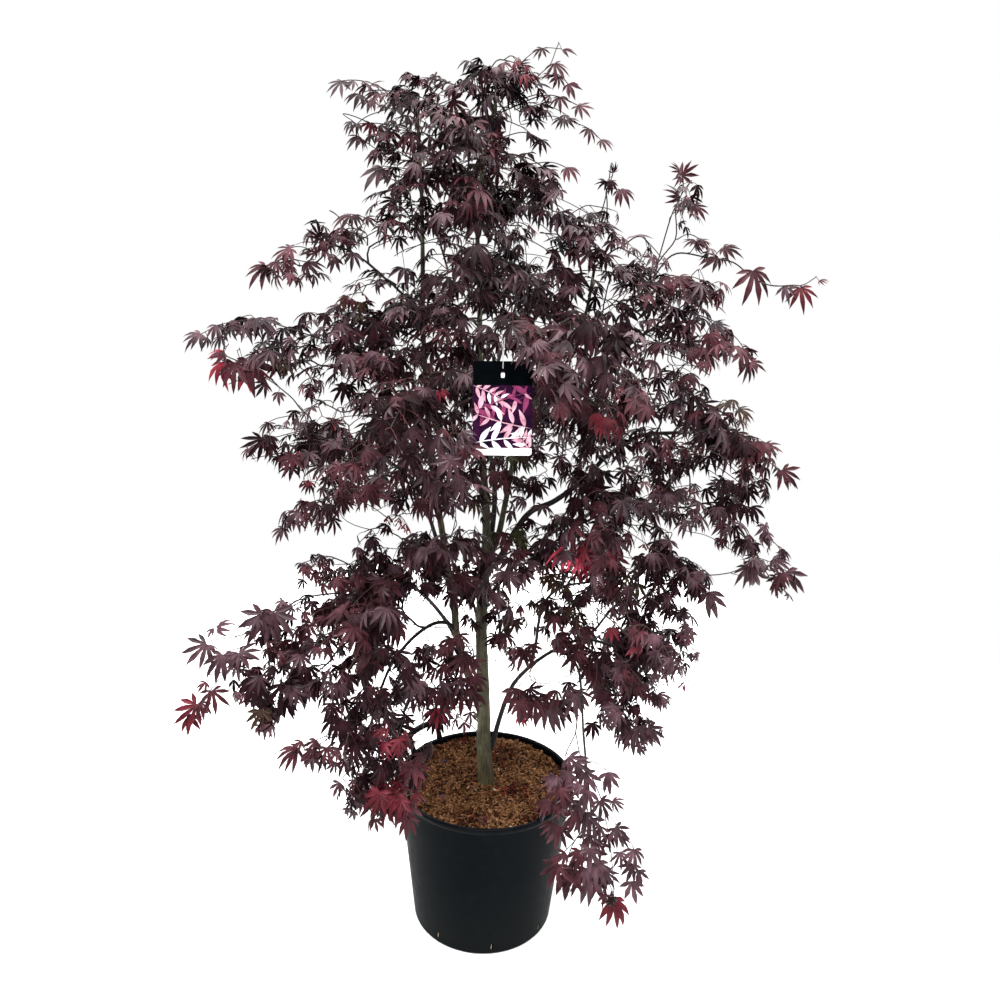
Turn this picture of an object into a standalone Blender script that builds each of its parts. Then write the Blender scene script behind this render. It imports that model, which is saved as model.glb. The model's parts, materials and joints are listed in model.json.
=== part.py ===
"""A potted red-leaved garden maple: nursery pot with two grips, potting mix, trunk, main boughs,
foliage masses and a hanging plant label. Metres, +Z up, origin at the centre of the pot's underside.
The front of the plant faces -Y."""

import math

import bmesh
import bpy
from mathutils import Vector

# ---------------------------------------------------------------- driving dimensions
POT_H = 0.356            # pot height to the top of the rim
POT_R_RIM = 0.207        # outer radius of the rolled rim
POT_R_TOP = 0.2020       # outer wall radius just under the rim
POT_R_FOOT = 0.1660      # outer wall radius above the rounded foot
POT_FLAT_R = 0.1580      # radius of the flat underside
FOOT_RISE = 0.009        # height of the rounded foot
POT_WALL = 0.0028        # wall thickness
POT_FLOOR = 0.0045       # floor thickness
RIM_BAND = 0.014         # height of the rolled rim band
SLOTS = 8                # drainage slots round the foot
SLOT_W, SLOT_H, SLOT_Z = 0.007, 0.017, 0.0215
SOIL_TOP = 0.3425        # level of the potting mix at the trunk
SOIL_EDGE = 0.3415       # level of the potting mix at the pot wall
GRIP_ANGLES = {"pot_grip_left": 140.0, "pot_grip_right": -40.0}   # degrees round the rim
GRIP_SPAN, GRIP_RISE, GRIP_BAR, GRIP_LEAN = 0.103, 0.045, 0.0118, 0.40
GAP = 0.0004             # clearance between touching pieces

TAG_SIZE = (0.104, 0.0008, 0.164)
TAG_AT = (0.011, -0.300, 1.2725)
TAG_TILT = (-6.0, -1.2)   # degrees: leans back, turned in its own plane
STRAP_W, STRAP_T, STRAP_LEN = 0.0042, 0.0012, 0.060

# Limbs: key points of the centreline, radius at the foot, radius at the tip, sides, parents.
LIMBS = {
    "trunk": dict(path=[(0.001, 0.0, SOIL_TOP + GAP), (-0.004, 0.0, 0.39), (-0.008, 0.0, 0.449), (-0.011, 0.0, 0.552),
                        (-0.017, 0.0, 0.652), (-0.021, 0.0, 0.735), (-0.019, 0.0, 0.821), (-0.015, 0.0, 0.905)],
                  r0=0.0150, r1=0.0118, sides=12, flare=0.0055, parents=[]),
    "left_leader": dict(path=[(-0.012, 0.0, 0.535), (-0.026, 0.002, 0.566), (-0.052, 0.002, 0.625), (-0.075, 0.0, 0.705),
                              (-0.084, 0.0, 0.795), (-0.101, 0.0, 0.888), (-0.113, 0.0, 0.957), (-0.124, 0.0, 1.024),
                              (-0.135, 0.004, 1.091), (-0.147, 0.014, 1.195), (-0.155, 0.02, 1.301), (-0.160, 0.02, 1.404),
                              (-0.162, 0.02, 1.543), (-0.165, 0.016, 1.659), (-0.172, 0.0, 1.79)],
                        r0=0.0098, r1=0.0032, sides=8, parents=["trunk"]),
    "main_leader": dict(path=[(-0.015, 0.0, 0.9056), (-0.018, 0.0, 1.024), (-0.026, 0.002, 1.092), (-0.036, 0.012, 1.244),
                              (-0.044, 0.018, 1.448), (-0.052, 0.018, 1.62), (-0.038, 0.010, 1.74), (-0.022, 0.0, 1.82)],
                        r0=0.0090, r1=0.0030, sides=8, parents=["trunk"]),
    "back_leader": dict(path=[(-0.014, 0.004, 0.895), (-0.006, 0.016, 0.935), (0.000, 0.034, 1.005), (-0.004, 0.056, 1.07),
                              (-0.020, 0.10, 1.162), (-0.010, 0.15, 1.28), (0.020, 0.21, 1.38), (0.036, 0.27, 1.44)],
                        r0=0.0066, r1=0.0030, sides=8, parents=["trunk", "main_leader"]),
    "right_leader": dict(path=[(-0.013, -0.002, 0.893), (0.004, -0.004, 0.927), (0.014, -0.002, 0.966), (0.024, 0.0, 1.025),
                               (0.049, 0.02, 1.158), (0.120, 0.03, 1.33), (0.172, 0.03, 1.41), (0.190, 0.025, 1.52)],
                         r0=0.0072, r1=0.0030, sides=8, parents=["trunk", "main_leader", "back_leader"]),
    "right_bough": dict(path=[(-0.014, -0.004, 0.866), (0.018, -0.012, 0.905), (0.050, -0.022, 0.972), (0.080, -0.032, 1.015),
                              (0.128, -0.044, 1.043), (0.190, -0.054, 1.098), (0.225, -0.056, 1.141), (0.259, -0.06, 1.168),
                              (0.302, -0.06, 1.192), (0.40, -0.055, 1.20)],
                        r0=0.0078, r1=0.0034, sides=8, parents=["trunk", "right_leader"]),
    "low_right_bough": dict(path=[(-0.004, 0.002, 0.392), (0.013, 0.006, 0.440), (0.026, 0.008, 0.496), (0.042, 0.008, 0.554),
                                  (0.060, 0.0, 0.600), (0.097, -0.010, 0.649), (0.145, -0.026, 0.694), (0.210, -0.040, 0.728),
                                  (0.300, -0.050, 0.71)],
                            r0=0.0066, r1=0.0028, sides=8, parents=["trunk"]),
    "low_right_fork": dict(path=[(0.094, -0.009, 0.646), (0.103, -0.006, 0.700), (0.107, -0.010, 0.752), (0.116, -0.030, 0.806),
                                 (0.146, -0.090, 0.866), (0.205, -0.18, 0.915)],
                           r0=0.0042, r1=0.0022, sides=6, parents=["low_right_bough"]),
    "left_low_bough": dict(path=[(-0.077, 0.0, 0.722), (-0.100, -0.014, 0.746), (-0.135, -0.034, 0.746), (-0.180, -0.085, 0.722),
                                 (-0.215, -0.155, 0.680), (-0.238, -0.27, 0.60)],
                           r0=0.0046, r1=0.0022, sides=6, parents=["left_leader"]),
    "second_left": dict(path=[(-0.083, 0.0, 0.792), (-0.098, 0.020, 0.838), (-0.122, 0.040, 0.905), (-0.147, 0.056, 0.973),
                              (-0.178, 0.062, 1.043), (-0.250, 0.045, 1.105), (-0.36, 0.01, 1.15)],
                        r0=0.0056, r1=0.0024, sides=6, parents=["left_leader"]),
    "left_tier_bough": dict(path=[(-0.135, 0.004, 1.088), (-0.152, -0.020, 1.150), (-0.186, -0.032, 1.222),
                                  (-0.235, -0.026, 1.290), (-0.29, -0.01, 1.345)],
                            r0=0.0044, r1=0.0024, sides=6, parents=["left_leader"]),
    "weeping_bough": dict(path=[(0.142, -0.025, 0.692), (0.170, -0.060, 0.700), (0.190, -0.115, 0.692), (0.194, -0.175, 0.662),
                                (0.196, -0.228, 0.610), (0.204, -0.268, 0.540), (0.214, -0.292, 0.47)],
                          r0=0.0034, r1=0.0020, sides=6, parents=["low_right_bough"]),
    "shoulder_bough": dict(path=[(0.046, 0.018, 1.148), (0.084, 0.0, 1.212), (0.150, -0.026, 1.282), (0.226, -0.046, 1.346),
                                 (0.31, -0.055, 1.41)],
                           r0=0.0052, r1=0.0028, sides=6, parents=["right_leader"]),
    "front_left_bough": dict(path=[(-0.018, 0.0, 1.010), (-0.034, -0.040, 1.062), (-0.062, -0.110, 1.108), (-0.092, -0.200, 1.146),
                                   (-0.115, -0.31, 1.185)],
                             r0=0.0048, r1=0.0024, sides=6, parents=["main_leader"]),
    "front_right_bough": dict(path=[(0.040, 0.014, 1.112), (0.062, -0.030, 1.170), (0.092, -0.100, 1.232), (0.122, -0.190, 1.292),
                                    (0.15, -0.29, 1.345)],
                              r0=0.0046, r1=0.0024, sides=6, parents=["right_leader"]),
    "back_left_bough": dict(path=[(-0.072, 0.0, 0.690), (-0.100, 0.030, 0.728), (-0.160, 0.100, 0.765), (-0.240, 0.195, 0.770),
                                  (-0.36, 0.32, 0.70)],
                            r0=0.0050, r1=0.0024, sides=6, parents=["left_leader"]),
    "back_right_bough": dict(path=[(-0.020, 0.002, 0.776), (0.020, 0.050, 0.826), (0.090, 0.130, 0.880), (0.190, 0.215, 0.925),
                                   (0.35, 0.31, 0.97)],
                             r0=0.0056, r1=0.0026, sides=6, parents=["trunk"]),
}
ENDS_IN = {
    "left_leader": "top_left", "main_leader": "top_middle", "back_leader": "back_up", "right_leader": "right_up",
    "right_bough": "right_outer", "low_right_bough": "right_low", "low_right_fork": "right_low_front",
    "left_low_bough": "left_hanging", "second_left": "left_low_tier", "left_tier_bough": "left_tier",
    "weeping_bough": "right_hanging", "shoulder_bough": "right_shoulder", "front_left_bough": "left_skirt_front",
    "front_right_bough": "right_front", "back_left_bough": "back_low_left", "back_right_bough": "right_back",
}

# Foliage masses: centre, half sizes, slope of the pad along x, droop of its edge.
MASSES = {
    "top_middle": ((0.005, 0.00, 1.842), (0.128, 0.130, 0.078), 0.08, 0.02),
    "top_left": ((-0.205, -0.03, 1.803), (0.148, 0.120, 0.058), 0.02, 0.03),
    "top_right": ((0.140, 0.03, 1.765), (0.078, 0.100, 0.072), -0.55, 0.02),
    "upper_front": ((-0.115, -0.13, 1.700), (0.172, 0.120, 0.080), 0.00, 0.02),
    "upper_right": ((0.070, 0.03, 1.655), (0.108, 0.140, 0.104), -0.20, 0.02),
    "upper_left": ((-0.240, 0.00, 1.610), (0.092, 0.120, 0.084), 0.15, 0.02),
    "upper_back": ((-0.070, 0.21, 1.690), (0.160, 0.130, 0.100), 0.00, 0.03),
    "left_spray_up": ((-0.380, -0.05, 1.525), (0.142, 0.095, 0.046), 0.42, 0.02),
    "middle_front_up": ((-0.040, -0.17, 1.505), (0.180, 0.150, 0.090), 0.02, 0.02),
    "right_up": ((0.190, 0.00, 1.555), (0.120, 0.140, 0.090), -0.15, 0.02),
    "right_sprig": ((0.350, 0.00, 1.662), (0.048, 0.050, 0.066), 0.30, 0.00),
    "far_right_spray": ((0.500, -0.05, 1.522), (0.160, 0.065, 0.026), -0.17, 0.01),
    "right_shoulder": ((0.345, -0.06, 1.415), (0.160, 0.170, 0.104), -0.35, 0.02),
    "back_up": ((0.045, 0.30, 1.480), (0.195, 0.140, 0.100), -0.10, 0.03),
    "left_tier_tip": ((-0.510, -0.05, 1.335), (0.132, 0.120, 0.074), 0.10, 0.03),
    "left_tier": ((-0.270, -0.02, 1.355), (0.158, 0.180, 0.096), 0.08, 0.03),
    "right_front": ((0.175, -0.32, 1.345), (0.128, 0.140, 0.106), -0.10, 0.03),
    "middle_back": ((-0.040, 0.33, 1.215), (0.230, 0.150, 0.130), 0.05, 0.03),
    "left_low_tier": ((-0.385, 0.00, 1.160), (0.160, 0.160, 0.084), 0.12, 0.03),
    "left_skirt_front": ((-0.130, -0.34, 1.245), (0.134, 0.130, 0.110), 0.05, 0.03),
    "left_skirt_tip": ((-0.325, -0.20, 1.070), (0.112, 0.120, 0.060), 0.40, 0.03),
    "right_outer": ((0.470, -0.05, 1.180), (0.152, 0.160, 0.106), -0.38, 0.03),
    "right_inner": ((0.250, 0.07, 1.205), (0.112, 0.130, 0.088), -0.10, 0.02),
    "right_skirt_outer": ((0.545, -0.08, 0.985), (0.138, 0.135, 0.092), -0.55, 0.03),
    "right_skirt": ((0.270, -0.19, 1.055), (0.134, 0.130, 0.074), -0.15, 0.03),
    "right_back": ((0.400, 0.33, 0.990), (0.180, 0.135, 0.100), -0.25, 0.04),
    "right_low_front": ((0.270, -0.25, 0.925), (0.166, 0.145, 0.070), -0.12, 0.04),
    "right_low": ((0.305, -0.05, 0.648), (0.122, 0.130, 0.168), -0.10, 0.02),
    "left_mid_low": ((-0.220, -0.14, 0.885), (0.185, 0.130, 0.070), 0.10, 0.04),
    "left_low": ((-0.320, -0.24, 0.755), (0.160, 0.130, 0.102), 0.22, 0.03),
    "left_low_tip": ((-0.545, -0.20, 0.685), (0.118, 0.110, 0.086), 0.40, 0.03),
    "centre_low": ((-0.125, -0.12, 0.625), (0.112, 0.100, 0.092), 0.05, 0.02),
    "left_hanging": ((-0.205, -0.33, 0.555), (0.104, 0.112, 0.120), -0.10, 0.02),
    "left_hanging_tip": ((-0.345, -0.31, 0.592), (0.086, 0.090, 0.052), 0.10, 0.03),
    "right_hanging": ((0.232, -0.29, 0.375), (0.100, 0.088, 0.172), -0.10, 0.00),
    "back_low_left": ((-0.400, 0.34, 0.680), (0.180, 0.140, 0.090), 0.25, 0.04),
    "back_left": ((-0.330, 0.30, 1.000), (0.130, 0.130, 0.075), 0.15, 0.03),
    "back_low_right": ((0.370, 0.32, 0.640), (0.150, 0.130, 0.090), -0.25, 0.04),
}
MASS_AROUND, MASS_RINGS = 12, 6

MATERIALS = {
    "pot_plastic": ((0.030, 0.034, 0.036), 0.42),
    "potting_mix": ((0.170, 0.095, 0.045), 0.95),
    "bark": ((0.120, 0.120, 0.075), 0.75),
    "foliage": ((0.065, 0.022, 0.030), 0.55),
    "label_card": ((0.180, 0.050, 0.100), 0.35),
}


# ---------------------------------------------------------------- helpers
def clear_scene():
    for obj in list(bpy.data.objects):
        bpy.data.objects.remove(obj, do_unlink=True)


def material(name):
    mat = bpy.data.materials.get(name)
    if mat is None:
        colour, rough = MATERIALS[name]
        mat = bpy.data.materials.new(name)
        mat.use_nodes = True
        bsdf = mat.node_tree.nodes["Principled BSDF"]
        bsdf.inputs["Base Color"].default_value = (*colour, 1.0)
        bsdf.inputs["Roughness"].default_value = rough
        bsdf.inputs["Metallic"].default_value = 0.0
    return mat


def from_bmesh(name, bm, mat, helper=False):
    bmesh.ops.recalc_face_normals(bm, faces=bm.faces)
    mesh = bpy.data.meshes.new(name)
    bm.to_mesh(mesh)
    bm.free()
    obj = bpy.data.objects.new(name, mesh)
    bpy.context.scene.collection.objects.link(obj)
    mesh.materials.append(material(mat))
    if helper:
        obj.hide_render = True
        obj.display_type = "WIRE"
    return obj


def cut(obj, helper, operation="DIFFERENCE"):
    mod = obj.modifiers.new(operation.lower() + "_" + helper.name, "BOOLEAN")
    mod.operation = operation
    mod.solver = "EXACT"
    mod.object = helper
    return mod


def rings_to_bmesh(rings, cap_start=True, cap_end=True):
    """A closed skin over rings of equal point counts, in order from foot to tip."""
    bm = bmesh.new()
    rows = [[bm.verts.new(p) for p in ring] for ring in rings]
    n = len(rows[0])
    for a, b in zip(rows, rows[1:]):
        for i in range(n):
            j = (i + 1) % n
            bm.faces.new((a[i], a[j], b[j], b[i]))
    if cap_start:
        bm.faces.new(list(reversed(rows[0])))
    if cap_end:
        bm.faces.new(rows[-1])
    return bm


def spline(points, per_span):
    """A smooth line through the points (centripetal-free Catmull-Rom), per_span steps for each span."""
    p = [Vector(q) for q in points]
    p = [p[0] * 2 - p[1]] + p + [p[-1] * 2 - p[-2]]
    line = []
    for k in range(1, len(p) - 2):
        a, b, c, d = p[k - 1], p[k], p[k + 1], p[k + 2]
        for s in range(per_span):
            t = s / per_span
            line.append(0.5 * ((2 * b) + (c - a) * t + (2 * a - 5 * b + 4 * c - d) * t * t + (3 * b - a - 3 * c + d) * t ** 3))
    line.append(p[-2].copy())
    return line


def limb_line(name, per_span=2):
    """Centreline points and radii of a limb: a straight taper by length, with a root flare on the trunk."""
    spec = LIMBS[name]
    line = spline(spec["path"], per_span)
    along = [0.0]
    for a, b in zip(line, line[1:]):
        along.append(along[-1] + (b - a).length)
    total = along[-1]
    radii = []
    for s in along:
        t = s / total
        r = spec["r0"] + (spec["r1"] - spec["r0"]) * t ** 0.85
        r += spec.get("flare", 0.0) * math.exp(-s / 0.12)
        radii.append(r)
    if spec["parents"]:
        radii[0] *= 0.4                            # the root of a limb is buried in its parent before it is trimmed
    return line, radii


def limb_rings(line, radii, sides, grow=0.0):
    rings = []
    side = Vector((1.0, 0.0, 0.0))
    for i, point in enumerate(line):
        ahead = line[min(i + 1, len(line) - 1)] - line[max(i - 1, 0)]
        ahead.normalize()
        side = (side - ahead * side.dot(ahead)).normalized()
        other = ahead.cross(side)
        if i == 0 and abs(ahead.z) > 0.9:          # a flat, level cut at the foot of an upright limb
            side, other = Vector((1, 0, 0)), Vector((0, 1, 0))
        rings.append([point + (side * math.cos(a) + other * math.sin(a)) * (radii[i] + grow)
                      for a in (2 * math.pi * k / sides for k in range(sides))])
    return rings


# ---------------------------------------------------------------- pot, mix and grips
def lathe(name, profile, segments, mat, helper=False):
    """A turned solid from (radius, z) points that start and end on the axis."""
    bm = bmesh.new()
    rows = []
    for r, z in profile:
        if r < 1e-9:
            rows.append([bm.verts.new((0, 0, z))])
        else:
            rows.append([bm.verts.new((r * math.cos(a), r * math.sin(a), z))
                         for a in (2 * math.pi * k / segments for k in range(segments))])
    for a, b in zip(rows, rows[1:]):
        for i in range(segments):
            j = (i + 1) % segments
            if len(a) == 1:
                bm.faces.new((a[0], b[i], b[j]))
            elif len(b) == 1:
                bm.faces.new((a[i], a[j], b[0]))
            else:
                bm.faces.new((a[i], a[j], b[j], b[i]))
    return from_bmesh(name, bm, mat, helper)


def wall_radius(z):
    """Outer radius of the pot wall at height z."""
    z0, z1 = FOOT_RISE, POT_H - RIM_BAND - 0.003
    return POT_R_FOOT + (POT_R_TOP - POT_R_FOOT) * (z - z0) / (z1 - z0)


def inner_radius(z):
    return wall_radius(z) - POT_WALL


def make_pot():
    band = POT_H - RIM_BAND
    foot = POT_R_FOOT - POT_FLAT_R
    profile = [(0, 0), (POT_FLAT_R, 0)]
    profile += [(POT_FLAT_R + foot * math.sin(a), FOOT_RISE * (1 - math.cos(a))) for a in (math.radians(35), math.radians(65))]
    profile += [(POT_R_FOOT, FOOT_RISE), (POT_R_TOP, band - 0.003), (POT_R_RIM - 0.0012, band), (POT_R_RIM, band + 0.004),
                (POT_R_RIM, POT_H - 0.004), (POT_R_RIM - 0.0022, POT_H), (POT_R_RIM - 0.0064, POT_H),
                (POT_R_RIM - 0.0084, POT_H - 0.0035), (inner_radius(band - 0.006), band - 0.006),
                (inner_radius(0.020), 0.020), (POT_FLAT_R + 0.001, POT_FLOOR), (0, POT_FLOOR)]
    pot = lathe("pot_shell", profile, 36, "pot_plastic")
    for k in range(SLOTS):
        angle = math.radians(-81.0 + 360.0 * k / SLOTS)
        bm = bmesh.new()
        bmesh.ops.create_cube(bm, size=1.0)
        for v in bm.verts:
            v.co = Vector((v.co.x * 0.034, v.co.y * SLOT_W, v.co.z * SLOT_H))
        slot = from_bmesh("cut_slot_%02d" % k, bm, "pot_plastic", helper=True)
        slot.location = (wall_radius(SLOT_Z) * math.cos(angle), wall_radius(SLOT_Z) * math.sin(angle), SLOT_Z)
        slot.rotation_euler = (0, 0, angle)
        cut(pot, slot)
    return pot


def make_mix():
    """The potting mix fills the pot to just under the rim, flat where the trunk stands and a little uneven outside it."""
    seg = 28
    bm = bmesh.new()
    floor = [(POT_FLAT_R, POT_FLOOR + GAP), (inner_radius(0.021) - 0.0010, 0.0215)]
    top_r = POT_R_RIM - 0.0100
    top = [(top_r, SOIL_EDGE), (0.160, None), (0.115, None), (0.070, None), (0.034, SOIL_TOP)]
    rows = []
    for r, z in floor + top:
        row = []
        for k in range(seg):
            a = 2 * math.pi * k / seg
            h = z
            if h is None:
                t = (r - 0.034) / (top_r - 0.034)
                h = SOIL_TOP + (SOIL_EDGE - SOIL_TOP) * t + 0.0022 * math.sin(3 * a + 40 * r) + 0.0014 * math.sin(7 * a - 55 * r)
            row.append(bm.verts.new((r * math.cos(a), r * math.sin(a), h)))
        rows.append(row)
    for a, b in zip(rows, rows[1:]):
        for i in range(seg):
            j = (i + 1) % seg
            bm.faces.new((a[i], a[j], b[j], b[i]))
    bm.faces.new(list(reversed(rows[0])))
    bm.faces.new(rows[-1])
    return from_bmesh("potting_mix", bm, "potting_mix")


def make_grip(name, degrees):
    """A moulded grip that stands on the rim: two posts and a bar swept as one strip, bent to the rim and leaning out."""
    half, rise, corner = GRIP_SPAN / 2 - GRIP_BAR / 2, GRIP_RISE - GRIP_BAR / 2, 0.011
    turn = [(-half + corner * (1 - math.cos(a)), rise - corner + corner * math.sin(a)) for a in (math.radians(30), math.radians(60))]
    left = [(-half, 0.0), (-half, rise - corner)] + turn + [(-half + corner, rise)]
    centre = left + [(0.0, rise + 0.0015)] + [(-x, z) for x, z in reversed(left)]
    rings = []
    for i, (s, z) in enumerate(centre):
        a, b = centre[max(i - 1, 0)], centre[min(i + 1, len(centre) - 1)]
        length = math.hypot(b[0] - a[0], b[1] - a[1])
        ns, nz = -(b[1] - a[1]) / length, (b[0] - a[0]) / length
        foot = 1.35 if i in (0, len(centre) - 1) else 1.0        # the posts widen where they meet the rim
        rings.append([(s + ns * GRIP_BAR * foot * u, w * GRIP_BAR * 0.85, z + nz * GRIP_BAR * u)
                      for u, w in ((-0.5, -0.5), (0.5, -0.5), (0.5, 0.5), (-0.5, 0.5))])
    grip = from_bmesh(name, rings_to_bmesh(rings), "pot_plastic")
    bevel = grip.modifiers.new("soft_edges", "BEVEL")
    bevel.width, bevel.segments, bevel.limit_method, bevel.angle_limit = 0.0014, 1, "ANGLE", math.radians(50)
    angle = math.radians(degrees)
    r = POT_R_RIM - 0.0046
    for v in grip.data.vertices:
        radius = r + v.co.y + GRIP_LEAN * v.co.z
        ring_angle = angle + v.co.x / r
        v.co = Vector((radius * math.cos(ring_angle), radius * math.sin(ring_angle), POT_H + GAP + v.co.z))
    grip.data.flip_normals()                       # bending the strip round the rim turns it inside out
    return grip


# ---------------------------------------------------------------- limbs
def make_limb(name):
    spec = LIMBS[name]
    line, radii = limb_line(name)
    obj = from_bmesh(name, rings_to_bmesh(limb_rings(line, radii, spec["sides"])), "bark")
    for parent in spec["parents"]:
        cut(obj, limb_cutter(parent))
    return obj


def limb_cutter(name):
    helper = bpy.data.objects.get("cut_" + name)
    if helper is None:
        line, radii = limb_line(name)
        helper = from_bmesh("cut_" + name, rings_to_bmesh(limb_rings(line, radii, LIMBS[name]["sides"], grow=GAP)), "bark", helper=True)
    return helper


# ---------------------------------------------------------------- foliage masses
def unevenness(name):
    """Five fixed phases for each mass, from the letters of its name."""
    total = 0
    for i, ch in enumerate(name):
        total = (total * 31 + ord(ch) * (i + 7)) % 100003
    return [((total >> (3 * k)) % 97) / 97.0 * 2 * math.pi for k in range(5)]


def mass_offset(name, theta, phi):
    """Offset from the centre of a mass to its free surface, in the direction theta round, phi up."""
    _, (rx, ry, rz), slope, droop = MASSES[name]
    s = unevenness(name)
    ring = math.cos(phi)
    wave = 1 + 0.10 * math.sin(2 * theta + s[0]) + 0.08 * math.sin(3 * theta + s[1]) + 0.07 * math.sin(5 * theta + s[2])
    lift = 1 + 0.14 * math.sin(2 * theta + s[3]) + 0.10 * math.sin(4 * theta + s[4])
    x = rx * ring * math.cos(theta) * wave
    y = ry * ring * math.sin(theta) * wave
    z = rz * math.sin(phi) * lift * (1.0 if phi > 0 else 0.72)
    reach = (x / rx) ** 2 + (y / ry) ** 2
    return Vector((x, y, z + slope * x - droop * reach))


def support(name, direction):
    """How far a mass would reach along a direction if it stood free."""
    reach = 0.0
    for i in range(-MASS_RINGS, MASS_RINGS + 1):
        phi = math.pi / 2 * i / MASS_RINGS
        for k in range(MASS_AROUND):
            reach = max(reach, mass_offset(name, 2 * math.pi * k / MASS_AROUND, phi).dot(direction))
    return reach


def planes_for(names):
    """For each mass, the planes that keep it clear of its neighbours, the limbs and the label: (normal, distance)."""
    planes = {n: [] for n in names}
    for i, a in enumerate(names):
        for b in names[i + 1:]:
            ca, ra = Vector(MASSES[a][0]), MASSES[a][1]
            cb, rb = Vector(MASSES[b][0]), MASSES[b][1]
            d = cb - ca
            if any(abs(d[k]) > 1.35 * (ra[k] + rb[k]) + 0.12 for k in range(3)):
                continue
            n = Vector([d[k] / (ra[k] ** 2 + rb[k] ** 2) for k in range(3)]).normalized()
            ha, hb = support(a, n), support(b, -n)
            span = d.dot(n)
            if ha + hb < span - GAP:
                continue
            share = span * ha / (ha + hb)
            planes[a].append((n, share - GAP))
            planes[b].append((-n, span - share - GAP))
    for n in names:
        centre = Vector(MASSES[n][0])
        blockers = []
        for limb in LIMBS:
            if ENDS_IN.get(limb) == n:
                continue
            line, radii = limb_line(limb, per_span=6)
            for point, radius in zip(line, radii):
                blockers.append((point, radius + 0.0022))
        blockers += [(p, 0.004) for p in tag_points()]
        blockers += [(Vector((POT_R_RIM * math.cos(a), POT_R_RIM * math.sin(a), POT_H)), 0.010)
                     for a in (2 * math.pi * k / 90 for k in range(90))]
        for name_g, deg in GRIP_ANGLES.items():
            a = math.radians(deg)
            for s in (-0.5, -0.25, 0.0, 0.25, 0.5):
                for h in (0.3, 0.7, 1.0):
                    q = a + s * GRIP_SPAN / POT_R_RIM
                    r = POT_R_RIM + GRIP_LEAN * GRIP_RISE * h
                    blockers.append((Vector((r * math.cos(q), r * math.sin(q), POT_H + GRIP_RISE * h)), 0.011))
        for point, radius in blockers:
            d = point - centre
            if d.length < 0.4:
                planes[n].append((d.normalized(), d.length - radius))
    return planes


def mass_shape(name, planes, grow=0.0):
    centre = Vector(MASSES[name][0])

    def place(theta, phi):
        w = mass_offset(name, theta, phi)
        for normal, limit in planes:
            reach = w.dot(normal)
            if reach > limit > 0:
                w = w * (limit / reach)
        if grow:
            w = w + w.normalized() * grow
        return centre + w

    bm = bmesh.new()
    foot = bm.verts.new(place(0.0, -math.pi / 2))
    top = bm.verts.new(place(0.0, math.pi / 2))
    rows = []
    for i in range(1, MASS_RINGS):
        phi = -math.pi / 2 + math.pi * i / MASS_RINGS
        rows.append([bm.verts.new(place(2 * math.pi * (k + 0.5 * (i % 2)) / MASS_AROUND, phi)) for k in range(MASS_AROUND)])
    n = MASS_AROUND
    for k in range(n):
        bm.faces.new((foot, rows[0][(k + 1) % n], rows[0][k]))
        bm.faces.new((top, rows[-1][k], rows[-1][(k + 1) % n]))
    for i, (a, b) in enumerate(zip(rows, rows[1:])):
        odd = (i + 1) % 2                      # the lower ring is the shifted one
        for k in range(n):
            j = (k + 1) % n
            if odd:
                bm.faces.new((a[k], b[j], b[k]))
                bm.faces.new((a[k], a[j], b[j]))
            else:
                bm.faces.new((a[k], a[j], b[k]))
                bm.faces.new((a[j], b[j], b[k]))
    return bm


# ---------------------------------------------------------------- label
def tag_matrix():
    from mathutils import Euler, Matrix
    lean, turn = (math.radians(a) for a in TAG_TILT)
    return Matrix.Translation(TAG_AT) @ Euler((lean, turn, 0)).to_matrix().to_4x4()


def tag_points():
    w, _, h = TAG_SIZE
    m = tag_matrix()
    pts = [m @ Vector((w * (i / 8 - 0.5), 0, h * (j / 12 - 0.5))) for i in range(9) for j in range(13)]
    pts += [m @ Vector((0, 0, h / 2 + STRAP_LEN * k / 6)) for k in range(5)]
    return pts


def make_tag():
    w, t, h = TAG_SIZE
    bm = bmesh.new()
    r = 0.004
    outline = []
    for cx, cz, a0 in ((w / 2 - r, h / 2 - r, 0), (-w / 2 + r, h / 2 - r, 90), (-w / 2 + r, -h / 2 + r, 180), (w / 2 - r, -h / 2 + r, 270)):
        outline += [(cx + r * math.cos(math.radians(a0 + a)), cz + r * math.sin(math.radians(a0 + a))) for a in (0, 45, 90)]
    rows = [[bm.verts.new((x, y, z)) for x, z in outline] for y in (-t / 2, t / 2)]
    n = len(outline)
    bm.faces.new(rows[0])
    bm.faces.new(list(reversed(rows[1])))
    for i in range(n):
        j = (i + 1) % n
        bm.faces.new((rows[0][i], rows[1][i], rows[1][j], rows[0][j]))
    tag = from_bmesh("plant_label", bm, "label_card")
    bm = bmesh.new()
    bmesh.ops.create_cube(bm, size=1.0)
    for v in bm.verts:
        v.co = Vector((v.co.x * 0.008, v.co.y * 0.02, h / 2 - 0.0245 + v.co.z * 0.0095))
    hole = from_bmesh("cut_label_hole", bm, "label_card", helper=True)
    bm = bmesh.new()
    bmesh.ops.create_cube(bm, size=1.0)
    for v in bm.verts:
        v.co = Vector((v.co.x * STRAP_W, (v.co.y - 0.0) * STRAP_T - 0.0006, h / 2 - 0.012 + (v.co.z + 0.5) * (STRAP_LEN + 0.012)))
    strap = from_bmesh("join_label_strap", bm, "label_card", helper=True)
    for obj in (tag, hole, strap):
        obj.matrix_world = tag_matrix()
    cut(tag, hole)
    cut(tag, strap, "UNION")
    return tag


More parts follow.
